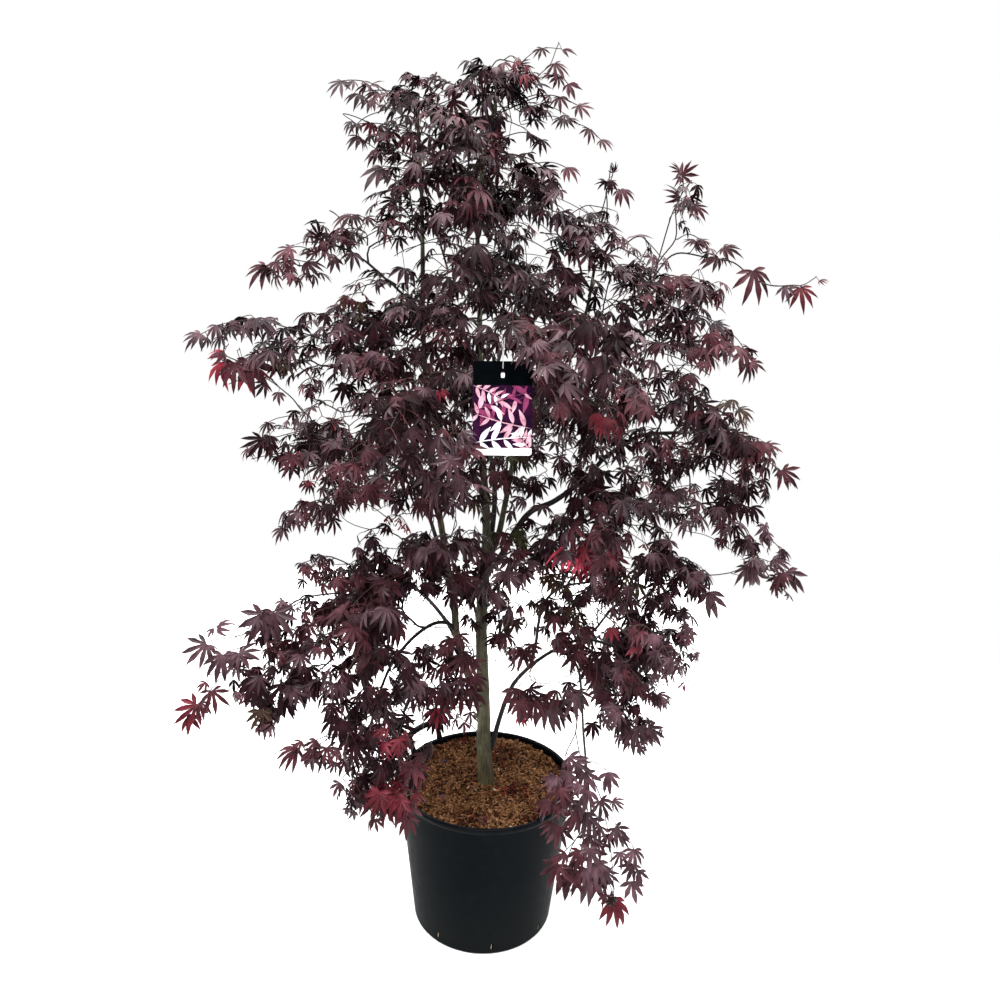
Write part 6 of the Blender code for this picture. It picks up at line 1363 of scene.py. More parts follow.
def hang_lone(tint, y, base, tip, lobes_seen):
    """A leaf laid out from two points of the front view: it gets a stalk and, where there is no twig by it, a twig."""
    p0 = at(*base, y)
    p1 = at(*tip, y - 0.012)
    seed_here(p0, 4)
    span = np.linalg.norm(p1 - p0)
    d = (p1 - p0) / span
    look = unit(np.array([rng.normal(0, 0.22), -0.75, 0.60 + rng.normal(0, 0.15)]))
    n0 = unit(look - d * look.dot(d))
    if lobes_seen > 1:
        kind = 7 * int(rng.choice(3, p=[0.35, 0.40, 0.25])) + (int(rng.integers(0, 5)) if span > 0.030 else int(rng.integers(3, 7)))
    else:
        kind = 28 + int(rng.choice(3, p=[0.34, 0.42, 0.24])) * 6 + (int(rng.integers(0, 5)) if span > 0.034 else int(rng.integers(2, 6)))
    v, _ = TEMPLATES[kind]
    reach = v[np.argmax(v[:, 0])]
    size = span / math.hypot(reach[0], reach[2])
    phi = math.atan2(reach[2], reach[0])
    a = math.cos(phi) * d - math.sin(phi) * n0
    n = math.sin(phi) * d + math.cos(phi) * n0
    foot = p0 - d * size * 0.22 + np.array([0, 0.006, 0.30 * size])
    pos = np.array(wood.pos)
    near = np.linalg.norm(pos - p0, axis=1)
    i = int(np.argmin(near))
    lead = unit(p0 - pos[i] + UP * 0.004)
    if near[i] > 0.018:
        near = np.linalg.norm(pos - foot, axis=1)
        i = int(np.argmin(near))
        if near[i] > 0.022:
            i = grow_to(foot, foot - pos[i])
        lead = unit(foot - p0 + UP * 0.01)
    put_leaf(p0, a, n, size, tint, kind)
    stalk(wood.pos[i], p0, lead, 0.00085, 0.00065)


# Bunches of winged keys: (depth, where the bunch hangs in the front view, how many pairs)
KEYS = [(-0.12, (393, 514), 7), (-0.11, (403, 520), 5), (-0.12, (307, 474), 5), (-0.12, (338, 416), 4), (-0.12, (684, 628), 5),
        (-0.12, (670, 674), 4), (-0.12, (682, 672), 4), (-0.10, (455, 590), 4), (-0.12, (320, 466), 3), (-0.20, (268, 698), 5),
        (-0.08, (640, 540), 3), (0.10, (360, 470), 5), (0.14, (600, 430), 5), (0.20, (470, 300), 4), (0.22, (540, 560), 5)]
KEY_WING = [(0.05, 0.055, -0.055), (0.30, 0.060, -0.115), (0.60, 0.050, -0.215), (0.86, 0.015, -0.225), (1.0, -0.060, -0.160)]
key_bag = Bag()


def winged_keys(p, size, turn):
    """A pair of winged seeds: two thin blades that spread from the joined seed cases."""
    side = np.array([math.cos(turn), math.sin(turn), 0.0])
    out = np.array([-math.sin(turn), math.cos(turn), 0.0])
    for sgn in (-1, 1):
        slope = rng.uniform(0.65, 1.45)
        along = unit(sgn * side - UP * slope)
        across = unit(UP - along * UP.dot(along))
        verts, faces = [], []
        for t, top, low in KEY_WING:
            sway = out * (0.10 * math.sin(2.6 * t) * sgn)
            verts += [p + size * (along * t + across * top + sway), p + size * (along * t + across * low - sway * 0.4)]
        for k in range(len(KEY_WING) - 1):
            faces += [(2 * k, 2 * k + 1, 2 * k + 2), (2 * k + 2, 2 * k + 1, 2 * k + 3)]
        key_bag.add(np.array(verts), np.array(faces))
        c = p + along * size * 0.10
        r = size * 0.115
        seed = np.array([c + q * r for q in (side * 1.3, out * 0.75, -side * 1.3, -out * 0.75, UP, -UP)])
        key_bag.add(seed, np.array([(0, 1, 4), (1, 2, 4), (2, 3, 4), (3, 0, 4), (1, 0, 5), (2, 1, 5), (3, 2, 5), (0, 3, 5)]))


def hang_keys():
    for y, (u, v), count in KEYS:
        p0 = at(u, v, y)
        seed_here(p0, 9)
        pos = np.array(wood.pos)
        near = np.linalg.norm(pos - (p0 + UP * 0.02), axis=1)
        i = int(np.argmin(near))
        if near[i] > 0.030:
            i = grow_to(p0 + UP * 0.016, -UP)
        foot = np.array(wood.pos[i])
        for k in range(count):
            a = rng.uniform(0, 2 * math.pi)
            q = p0 + np.array([0.012 * math.cos(a), 0.012 * math.sin(a), -0.004 - 0.020 * rng.random()])
            winged_keys(q, rng.uniform(0.0120, 0.0160), rng.normal(0, 0.8))
            stalk(foot, q, unit(q - foot + UP * 0.008), 0.00065, 0.00055)


def grow_shoots():
    pos = np.array(wood.pos)
    order = []
    for k, (size, tint, y0, y1, course) in enumerate(SHOOTS):
        start = at(*course[0], y0)
        order.append((float(np.min(np.linalg.norm(pos - start, axis=1))), k))
    for _, k in sorted(order):
        run_shoot(*SHOOTS[k])
    for y0, y1, course in BARE:
        n = len(course)
        line = spline([at(u, v, y0 + (y1 - y0) * i / (n - 1)) for i, (u, v) in enumerate(course)], 0.010)
        parent = grow_to(line[0], line[1] - line[0])
        for i in range(1, len(line)):
            parent = wood.add(line[i], parent, line[i] - line[i - 1], "twig")
    for leaf in one_leaf_each():
        hang_lone(*leaf)


def deal_sprays():
    """Spray tips inside the masses: spaced points, most of them near the outside of each."""
    jobs = []
    taken = []
    for name in MASS_NODES:
        m = Mass(name)
        seed_here(m.centre, 1)
        want = max(4, int(round(SPRAYS_PER_LITRE * DENSITY.get(name, 1.0) * (m.volume * 1000) ** 0.82)))
        chosen = []
        tries = 0
        space = 0.62 * (m.volume / want) ** (1 / 3)
        while len(chosen) < want and tries < 5000:
            tries += 1
            if tries % 500 == 0:
                space *= 0.85
            p = rng.uniform(m.lo - 0.02, m.hi + 0.02)
            depth = m.depth(p)
            if depth < -0.018 or (depth > 0.060 and rng.random() < 0.5):
                continue
            if chosen and min(np.linalg.norm(p - q) for q in chosen) < space:
                continue
            chosen.append(p)
        for p in chosen:
            if in_crown(*seen(p)):
                jobs.append((name, m, p))
    return jobs


def grow_foliage():
    jobs = deal_sprays()
    limb_pos = np.array(wood.pos)
    prepared = []
    for name, m, tip in jobs:
        seed_here(tip, 2)
        # outward: from the tree's axis and, less, from the heart of the mass
        axis = np.array([-0.02, 0.0, tip[2]])
        radial = unit(tip - axis)
        local = (tip - m.centre) / max(np.linalg.norm(tip - m.centre), 0.02)
        d = unit(radial * 0.9 + local * np.array([0.7, 0.7, 0.25]) + np.array([0, 0, 0.04]) + rng.normal(0, 0.22, 3))
        if name == "right_hanging":
            d = unit(np.array([0.25 * local[0], 0.3 * local[1] - 0.2, -1.0]) + rng.normal(0, 0.2, 3))
        elif name in ("left_hanging", "right_low"):
            d = unit(d + np.array([0, 0, -0.6]))
        length = rng.uniform(0.070, 0.130)
        base = tip - d * length * 0.92 + np.array([0, 0, 0.018])
        near = np.min(np.linalg.norm(limb_pos - base, axis=1))
        prepared.append((near, name, base, d, length))
    prepared.sort(key=lambda r: r[0])
    for near, name, base, d, length in prepared:
        seed_here(base, 5)
        end = grow_to(base, unit(d + np.array([0, 0, 0.25])))
        tip = base + d * length
        tint = tint_for(tip)
        # near the tree's axis more sprays take the dark tint: painted shade deep inside the crown
        if math.hypot(tip[0] + 0.02, tip[1]) < 0.17 and rng.random() < 0.55:
            tint = "leaf_dark"
        size = rng.uniform(0.050, 0.072) * (1.0 if tip[2] < 1.45 else 0.92)
        if tint == "leaf_red":
            size *= 0.82
        spray(end, d, length, size, tint)


# ---------------------------------------------------------------- wood meshes
def limb_radii():
    """Pipe model: what a branch carries sets its radius; the CAD limbs keep their own taper."""
    n = len(wood.pos)
    load = np.zeros(n)
    kids = np.zeros(n, int)
    for i in range(n - 1, -1, -1):
        if kids[i] == 0:
            load[i] = 1.0
        p = wood.parent[i]
        if p >= 0:
            load[p] += load[i]
            kids[p] += 1
    return 0.00098 * load ** 0.33, kids


def relief_bark(strength):
    def f(a, s, p, r):
        q = Vector((p[0] * 60, p[1] * 60, p[2] * 16))
        broad = noise.noise(q)
        ridges = noise.noise(Vector((math.cos(a) * 3.2 + 7, math.sin(a) * 3.2, s * 22)))
        fine = noise.noise(Vector((math.cos(a) * 11, math.sin(a) * 11 + 3, s * 60)))
        return r * (1 + strength * (0.055 * broad + 0.035 * ridges)) + strength * 0.00022 * fine
    return f


def build_wood():
    radii, kids = limb_radii()
    bags = {"bark_green": Bag(), "bark_dark": Bag()}
    for name, spec in LIMBS.items():
        thick = spec["r0"] > 0.0085
        line, r, along = limb_line(name, 0.0045 if thick else 0.006)
        if spec["parent"]:
            r = r * (1 + 0.42 * np.exp(-along / (2.2 * spec["r0"])))     # collar where it leaves its parent
        knots = np.zeros(len(line))
        gen = np.random.default_rng(len(name) * 131 + int(spec["r0"] * 1e5))
        s = gen.uniform(0.03, 0.08)
        while s < along[-1]:                                           # old leaf-scar rings
            knots += np.exp(-((along - s) / 0.004) ** 2) * gen.uniform(0.02, 0.09)
            s += gen.uniform(0.045, 0.10)
        r = r * (1 + knots)
        sides = 28 if name == "trunk" else (20 if thick else 14)
        tube(bags[spec["bark"]], line, r, sides, relief=relief_bark(1.0 if thick else 0.8), level_foot=(name == "trunk"))
    # pruned stubs and a scar on the trunk
    for z, a, ln, rr in ((0.505, 200, 0.010, 0.0052), (0.700, -70, 0.008, 0.0040), (0.798, 20, 0.012, 0.0034), (0.612, 100, 0.009, 0.0040)):
        t, rt, _ = limb_line("trunk", 0.0045)
        i = int(np.argmin(abs(t[:, 2] - z)))
        d = np.array([math.cos(math.radians(a)), math.sin(math.radians(a)), 0.55])
        d = unit(d)
        line = np.array([t[i] + d * rt[i] * 0.4, t[i] + d * (rt[i] + 0.002), t[i] + d * (rt[i] + ln * 0.6), t[i] + d * (rt[i] + ln)])
        tube(bags["bark_green"], line, [rr * 1.5, rr * 1.15, rr, rr * 0.86], 12)
    # branches and twigs: chains of skeleton nodes
    children = [[] for _ in wood.pos]
    for i, p in enumerate(wood.parent):
        if p >= 0 and wood.limb[i] in ("branch", "twig"):
            children[p].append(i)
    starts = [(p, c) for p in range(len(wood.pos)) for c in children[p]
              if wood.limb[p] not in ("branch", "twig") or c != max(children[p], key=lambda q: radii[q])]
    for p, c in starts:
        chain = [p, c]
        while children[chain[-1]]:
            chain.append(max(children[chain[-1]], key=lambda q: radii[q]))
        line = np.array([wood.pos[i] for i in chain])
        r = radii[chain].copy()
        r[0] = r[1] * (1.25 if wood.limb[p] in ("branch", "twig") else 1.5)
        r = np.minimum.accumulate(r)
        if len(line) > 4:                                             # ease the corners
            mid = line.copy()
            mid[1:-1] = 0.25 * line[:-2] + 0.5 * line[1:-1] + 0.25 * line[2:]
            keep = np.array([k == 0 or k == len(line) - 1 for k in range(len(line))])
            line = np.where(keep[:, None], line, mid)
        big = r[1] > 0.0016
        tube(bags["bark_dark"] if big else twig_bag, line, r, 7 if big else 4, cap=True)
    return bags


# ---------------------------------------------------------------- pot
def lathe(bag, profile, segments, wobble=0.0):
    rows = []
    verts = []
    for r, z in profile:
        if r < 1e-9:
            rows.append([len(verts)])
            verts.append((0, 0, z))
        else:
            row = []
            for k in range(segments):
                a = 2 * math.pi * k / segments
                rr = r + wobble * math.sin(2 * a + 0.6) * (z / POT_H) + wobble * 0.5 * math.sin(3 * a + 2 + z * 9)
                row.append(len(verts))
                verts.append((rr * math.cos(a), rr * math.sin(a), z))
            rows.append(row)
    quads, tris = [], []
    for a, b in zip(rows, rows[1:]):
        for i in range(segments):
            j = (i + 1) % segments
            if len(a) == 1:
                tris.append((a[0], b[j], b[i]))
            elif len(b) == 1:
                tris.append((a[i], a[j], b[0]))
            else:
                quads.append((a[i], a[j], b[j], b[i]))
    base = bag.n
    bag.v.append(np.array(verts, float))
    if quads:
        bag.f.append(np.array(quads) + base)
    if tris:
        bag.f.append(np.array(tris) + base)
    bag.n += len(verts)


def wall_radius(z):
    z0, z1 = FOOT_RISE, POT_H - RIM_BAND - 0.003
    return POT_R_FOOT + (POT_R_TOP - POT_R_FOOT) * (z - z0) / (z1 - z0)


def fix_normals(obj):
    import bmesh
    bm = bmesh.new()
    bm.from_mesh(obj.data)
    bmesh.ops.remove_doubles(bm, verts=bm.verts, dist=1e-6)
    bmesh.ops.recalc_face_normals(bm, faces=bm.faces)
    bm.to_mesh(obj.data)
    bm.free()


def build_pot():
    band = POT_H - RIM_BAND
    rise = 0.6 * FOOT_RISE
    flat = POT_FLAT_R + 0.0025
    foot = wall_radius(rise) - flat
    profile = [(0, 0.0016), (flat - 0.030, 0.0016), (flat - 0.026, 0.0), (flat, 0)]
    profile += [(flat + foot * math.sin(a), rise * (1 - math.cos(a))) for a in np.radians([12, 24, 36, 48, 60, 72, 82])]
    zs = np.linspace(rise, band - 0.004, 26)
    profile += [(wall_radius(z), z) for z in zs]
    profile += [(POT_R_TOP + 0.0004, band - 0.0015)]
    # rolled bead: a round-cornered band
    rb = 0.0048
    cx = POT_R_RIM - rb
    profile += [(cx + rb * math.cos(a), band + 0.0045 + rb * 0.8 * math.sin(a)) for a in np.radians([-78, -55, -30, -8])]
    profile += [(cx + rb * math.cos(a), POT_H - rb + rb * math.sin(a)) for a in np.radians([0, 20, 40, 60, 80, 100, 120, 140, 160])]
    profile += [(POT_R_RIM - 2 * rb - 0.0001, POT_H - 0.0065), (wall_radius(band - 0.008) - POT_WALL, band - 0.008)]
    profile += [(wall_radius(z) - POT_WALL, z) for z in np.linspace(band - 0.030, 0.02, 8)]
    profile += [(POT_FLAT_R + 0.001, POT_FLOOR), (0, POT_FLOOR)]
    bag = Bag()
    lathe(bag, profile, 144, wobble=0.0)
    pot = mesh_object("pot", bag, "pot_plastic")
    fix_normals(pot)
    pot.data.materials.append(MATS["rim_plastic"])
    for p in pot.data.polygons:
        c = p.center
        rad = math.hypot(c.x, c.y)
        if c.z > band - 0.001 or (rad < wall_radius(min(c.z, band)) - POT_WALL * 0.7 and c.z > 0.02):
            p.material_index = 1
    for k in range(SLOTS):
        angle = math.radians(-81.0 + 360.0 * k / SLOTS)
        bpy.ops.mesh.primitive_cube_add(size=1.0)
        cube = bpy.context.object
        cube.name = "slot_cutter_%02d" % k
        cube.scale = (0.034, SLOT_W, SLOT_H)
        cube.location = (wall_radius(SLOT_Z) * math.cos(angle), wall_radius(SLOT_Z) * math.sin(angle), SLOT_Z)
        cube.rotation_euler = (0, 0, angle)
        bev = cube.modifiers.new("round", "BEVEL")
        bev.width, bev.segments = 0.0028, 3
        bpy.context.view_layer.update()
        mod = pot.modifiers.new("slot", "BOOLEAN")
        mod.operation, mod.solver, mod.object = "DIFFERENCE", "EXACT", cube
        bpy.context.view_layer.objects.active = pot
        with bpy.context.temp_override(object=pot, active_object=pot):
            bpy.ops.object.modifier_apply(modifier=mod.name)
        bpy.data.objects.remove(cube, do_unlink=True)
    for p in pot.data.polygons:
        p.use_smooth = True
    pot.data.set_sharp_from_angle(angle=math.radians(38))
    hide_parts("pot_shell")


def build_grip(name, degrees):
    half, rise, corner = GRIP_SPAN / 2 - GRIP_BAR / 2, GRIP_RISE - GRIP_BAR / 2, 0.011
    arc = [(-half + corner * (1 - math.cos(a)), rise - corner + corner * math.sin(a)) for a in np.radians(np.linspace(0, 90, 9))]
    left = [(-half, z) for z in np.linspace(-0.004, rise - corner - 0.002, 7)] + arc
    bar = [(s, rise + 0.0015 * (1 - (s / half) ** 2)) for s in np.linspace(-half + corner, half - corner, 23)[1:-1]]
    centre = left + bar + [(-x, z) for x, z in reversed(left)]
    sec = 16
    verts, faces = [], []
    for i, (s, z) in enumerate(centre):
        a, b = centre[max(i - 1, 0)], centre[min(i + 1, len(centre) - 1)]
        ln = math.hypot(b[0] - a[0], b[1] - a[1])
        ns, nz = -(b[1] - a[1]) / ln, (b[0] - a[0]) / ln
        edge = min(i, len(centre) - 1 - i)
        foot = 1.0 + 0.38 * math.exp(-edge / 1.6)
        onbar = len(left) <= i < len(left) + len(bar)
        ribs = 0.10 * (1 if onbar and i % 2 else 0)                    # finger ribs under the bar
        for k in range(sec):
            q = 2 * math.pi * k / sec
            cu, cw = math.cos(q), math.sin(q)
            u = 0.5 * math.copysign(abs(cu) ** 0.55, cu)
            w = 0.5 * math.copysign(abs(cw) ** 0.55, cw)
            if u < 0 and ribs:
                u *= 1 - ribs * 2
            ss = s + ns * GRIP_BAR * foot * u
            zz = z + nz * GRIP_BAR * u
            yy = w * GRIP_BAR * 0.85 * foot
            r = POT_R_RIM - 0.0046 + yy + GRIP_LEAN * zz
            t = math.radians(degrees) + ss / (POT_R_RIM - 0.0046)
            verts.append((r * math.cos(t), r * math.sin(t), POT_H + zz))
    n = len(centre)
    for i in range(n - 1):
        for k in range(sec):
            j = (k + 1) % sec
            faces.append((i * sec + k, (i + 1) * sec + k, (i + 1) * sec + j, i * sec + j))
    bag = Bag()
    bag.add(np.array(verts), np.array(faces))
    for row in (0, n - 1):
        ring = np.array(verts[row * sec:(row + 1) * sec])
        k = np.arange(sec)
        bag.add(np.vstack([ring, ring.mean(0)]), np.stack([np.full(sec, sec), k, (k + 1) % sec], 1))
    obj = mesh_object(name + "_moulded", bag, "rim_plastic")
    fix_normals(obj)
    obj.data.set_sharp_from_angle(angle=math.radians(40))
    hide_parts(name)


# ---------------------------------------------------------------- potting mix
def mix_height(x, y):
    r = math.hypot(x, y)
    t = min(1.0, max(0.0, (r - 0.03) / 0.16))
    z = SOIL_TOP - 0.0015 + (SOIL_EDGE - SOIL_TOP) * t
    z += 0.0055 * noise.noise(Vector((x * 15, y * 15, 3.1))) + 0.0042 * noise.noise(Vector((x * 46, y * 46, 9.0)))
    side = (0.8 * y - 0.6 * x) / max(r, 0.01)
    z += 0.0042 * side * min(1.0, r / 0.19) - 0.0080 * min(1.0, max(0.0, (r - 0.182) / 0.014)) * (0.5 - 0.5 * side)
    return z


def build_mix():
    bag = Bag()
    rings, seg = 78, 190
    edge = POT_R_RIM - 0.0094
    verts = [(0, 0, mix_height(0, 0))]
    for i in range(1, rings + 1):
        r = edge * i / rings
        for k in range(seg):
            a = 2 * math.pi * (k + 0.5 * (i % 2)) / seg
            x, y = r * math.cos(a), r * math.sin(a)
            z = mix_height(x, y) + 0.0018 * noise.noise(Vector((x * 170, y * 170, 1.0)))
            verts.append((x, y, z))
    tris = [(0, 1 + k, 1 + (k + 1) % seg) for k in range(seg)]
    quads = []
    for i in range(rings - 1):
        a0, b0 = 1 + i * seg, 1 + (i + 1) * seg
        for k in range(seg):
            j = (k + 1) % seg
            quads.append((a0 + k, b0 + k, b0 + j, a0 + j))
    bag.v.append(np.array(verts))
    bag.f.append(np.array(tris))
    bag.f.append(np.array(quads))
    bag.n = len(verts)
    # the ground between the bits: its very dark colour is partly painted shade in the gaps between them
    base = mesh_object("mix_surface", bag, "mix_base")
    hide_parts("potting_mix")

    gen = np.random.default_rng(5)
    bags = {m: Bag() for m in ("mix_ochre", "mix_brown", "mix_dark", "mix_red", "mix_pale")}
    # mix_dark bits are partly dark bark and partly painted shade, standing for the gaps in the mix
    shares = (("mix_ochre", 0.42), ("mix_brown", 0.24), ("mix_dark", 0.19), ("mix_red", 0.15))

    def pick(x, y):
        # the kinds gather in loose patches
        if gen.random() < 0.004:
            return "mix_pale"
        q = noise.noise(Vector((x * 14, y * 14, 40.0))) * 1.15 + gen.random() - 0.05
        total = 0.0
        for m, share in shares:
            total += share
            if q < total:
                return m
        return "mix_red" if gen.random() < 0.5 else "mix_dark"

    box_f = np.array([(0, 1, 3, 2), (4, 6, 7, 5), (0, 4, 5, 1), (2, 3, 7, 6), (0, 2, 6, 4), (1, 5, 7, 3)])
    for _ in range(3900):
        a, r = gen.uniform(0, 2 * math.pi), edge * 0.985 * math.sqrt(gen.random())
        x, y = r * math.cos(a), r * math.sin(a)
        # no bits by the trunk; along the front edge most bits are left out, so the dark ground shows there as painted
        # shade where the mix meets the rim
        if r < 0.018 or (r > edge - 0.012 and 0.8 * y - 0.6 * x < -0.03 and gen.random() < 0.8):
            continue
        ln, w, h = gen.uniform(0.0040, 0.0150), gen.uniform(0.0022, 0.0062), gen.uniform(0.0012, 0.0032)
        if gen.random() < 0.03:
            ln, w, h = ln * 2.0, w * 1.9, h * 1.4
        tilt, spin = gen.normal(0, 0.5), gen.uniform(0, 2 * math.pi)
        roll = gen.normal(0, 0.6)
        R = (Matrix.Rotation(spin, 3, "Z") @ Matrix.Rotation(tilt, 3, "Y") @ Matrix.Rotation(roll, 3, "X"))
        R = np.array(R)
        c = np.array([(sx * ln * gen.uniform(0.35, 0.55), sy * w * gen.uniform(0.3, 0.55), sz * h * gen.uniform(0.35, 0.5))
                      for sx in (-1, 1) for sy in (-1, 1) for sz in (-1, 1)])
        c = c @ R.T + np.array([x, y, mix_height(x, y) + gen.uniform(0.0, 0.0032)])
        rr = np.hypot(c[:, 0], c[:, 1])
        if rr.max() > edge:
            continue
        bags[pick(x, y)].add(c, box_f)
    for k in range(SLOTS):                                           # a pale wisp in each slot, partly fibre of the mix and partly a painted highlight where light shows through the slot
        t = math.radians(-81.0 + 360.0 * k / SLOTS) - 0.010
        r = wall_radius(SLOT_Z) - POT_WALL * 0.8
        line = np.array([[(r + 0.0006 * math.sin(3 * q)) * math.cos(t + 0.006 * math.sin(2.4 * q)), (r + 0.0006 * math.sin(3 * q)) * math.sin(t + 0.006 * math.sin(2.4 * q)),
                          SLOT_Z - 0.0072 + 0.0144 * q] for q in np.linspace(0, 1, 7)])
        tube(bags["mix_pale"], line, np.array([0.0005, 0.0009, 0.0011, 0.0010, 0.0012, 0.0009, 0.0005]), 6)
    for _ in range(440):                                             # stouter curls of coir and bark
        a, r = gen.uniform(0, 2 * math.pi), edge * 0.93 * math.sqrt(gen.random())
        p = np.array([r * math.cos(a), r * math.sin(a), 0.0])
        if r < 0.024:
            continue
        heading, curl = gen.uniform(0, 2 * math.pi), gen.choice([-1, 1]) * gen.uniform(30, 150)
        lift, n = gen.uniform(0.002, 0.006), int(gen.integers(7, 12))
        line = []
        for k in range(n):
            line.append([p[0], p[1], mix_height(p[0], p[1]) + 0.0010 + lift * math.sin(math.pi * k / (n - 1))])
            heading += curl * 0.0026
            p = p + 0.0026 * np.array([math.cos(heading), math.sin(heading), 0])
        line = np.array(line)
        if np.hypot(line[:, 0], line[:, 1]).max() > edge - 0.002:
            continue
        thick = gen.uniform(0.0007, 0.0015)
        tube(bags["mix_ochre" if gen.random() < 0.75 else "mix_brown"], line, thick * (0.55 + 0.45 * np.sin(np.linspace(0.3, math.pi - 0.3, n))), 4)
    for _ in range(1500):                                            # coir fibres
        a, r = gen.uniform(0, 2 * math.pi), edge * 0.95 * math.sqrt(gen.random())
        p = np.array([r * math.cos(a), r * math.sin(a), 0.0])
        if math.hypot(p[0], p[1]) < 0.020:
            continue
        heading, curl = gen.uniform(0, 2 * math.pi), gen.normal(0, 26)
        line = []
        lift = gen.uniform(0.001, 0.0055)
        n = int(gen.integers(5, 10))
        for k in range(n):
            t = k / (n - 1)
            line.append([p[0], p[1], mix_height(p[0], p[1]) + 0.0006 + lift * math.sin(math.pi * t)])
            heading += curl * 0.0022 + gen.normal(0, 0.16)
            p = p + 0.0028 * np.array([math.cos(heading), math.sin(heading), 0])
        line = np.array(line)
        if np.hypot(line[:, 0], line[:, 1]).max() > edge - 0.001:
            continue
        tube(bags["mix_ochre" if gen.random() < 0.66 else "mix_brown"], line, np.full(n, gen.uniform(0.00028, 0.00060)), 3, cap=False)
    for m, b in bags.items():
        obj = mesh_object(m + "_bits", b, m, smooth=False)
        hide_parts("potting_mix")
    # a few shed leaves lie on the mix
    for x, y, size, tint, turn in ((-0.012, -0.158, 0.036, "leaf_burgundy", 0.4), (0.004, -0.150, 0.030, "leaf_red", 2.2), (-0.095, -0.070, 0.030, "leaf_burgundy", 4.0),
                                   (0.085, 0.085, 0.034, "leaf_burgundy", 1.2), (-0.105, 0.070, 0.028, "leaf_burgundy", 5.2), (0.050, -0.085, 0.026, "leaf_dark", 3.3),
                                   (0.120, -0.020, 0.030, "leaf_burgundy", 0.2)):
        a = np.array([math.cos(turn), math.sin(turn), -0.10])
        z = mix_height(x, y) + 0.0060
        put_leaf(np.array([x, y, z]), a, UP + 0.25 * np.array([math.sin(turn * 3), math.cos(turn * 5), 0]), size, tint, 5 + int(turn) % 4)


# ---------------------------------------------------------------- label
def label_matrix():
    from mathutils import Euler
    lean, turn = (math.radians(a) for a in TAG_TILT)
    return Matrix.Translation(TAG_AT) @ Euler((lean, turn, 0)).to_matrix().to_4x4()


def flat_shape(bag, outline, y, matrix):
    """A thin inlay on the label's front: a filled outline a hair above the card."""
    pts = np.array([list(matrix @ Vector((x, y, z))) for x, z in outline])
    c = pts.mean(0)
    n = len(pts)
    k = np.arange(n)
    bag.add(np.vstack([pts, c]), np.stack([np.full(n, n), k, (k + 1) % n], 1))


def blade(x, z, angle, length, width, bow=0.0, n=12):
    """Outline of one lance-shaped leaflet."""
    ca, sa = math.cos(angle), math.sin(angle)
    left, right = [], []
    for i in range(n + 1):
        t = i / n
        w = width * math.sin(math.pi * t ** 0.8) * (1 - 0.25 * t)
        off = bow * length * t * (1 - t)
        u = length * t
        left.append((x + u * ca - (off + w) * sa, z + u * sa + (off + w) * ca))
        right.append((x + u * ca - (off - w) * sa, z + u * sa + (off - w) * ca))
    return left + right[::-1][1:-1]


def clip_to(outline, x0, x1, z0, z1):
    """Cuts an outline to the picture's rectangle (Sutherland-Hodgman)."""
    def clip(pts, inside, cross):
        out = []
        for i, p in enumerate(pts):
            q = pts[i - 1]
            if inside(p):
                if not inside(q):
                    out.append(cross(q, p))
                out.append(p)
            elif inside(q):
                out.append(cross(q, p))
        return out

    def at_x(c):
        return lambda p, q: (c, p[1] + (q[1] - p[1]) * (c - p[0]) / (q[0] - p[0]))

    def at_z(c):
        return lambda p, q: (p[0] + (q[0] - p[0]) * (c - p[1]) / (q[1] - p[1]), c)

    for inside, cross in ((lambda p: p[0] >= x0, at_x(x0)), (lambda p: p[0] <= x1, at_x(x1)), (lambda p: p[1] >= z0, at_z(z0)), (lambda p: p[1] <= z1, at_z(z1))):
        if len(outline) < 3:
            return []
        outline = clip(outline, inside, cross)
    return outline


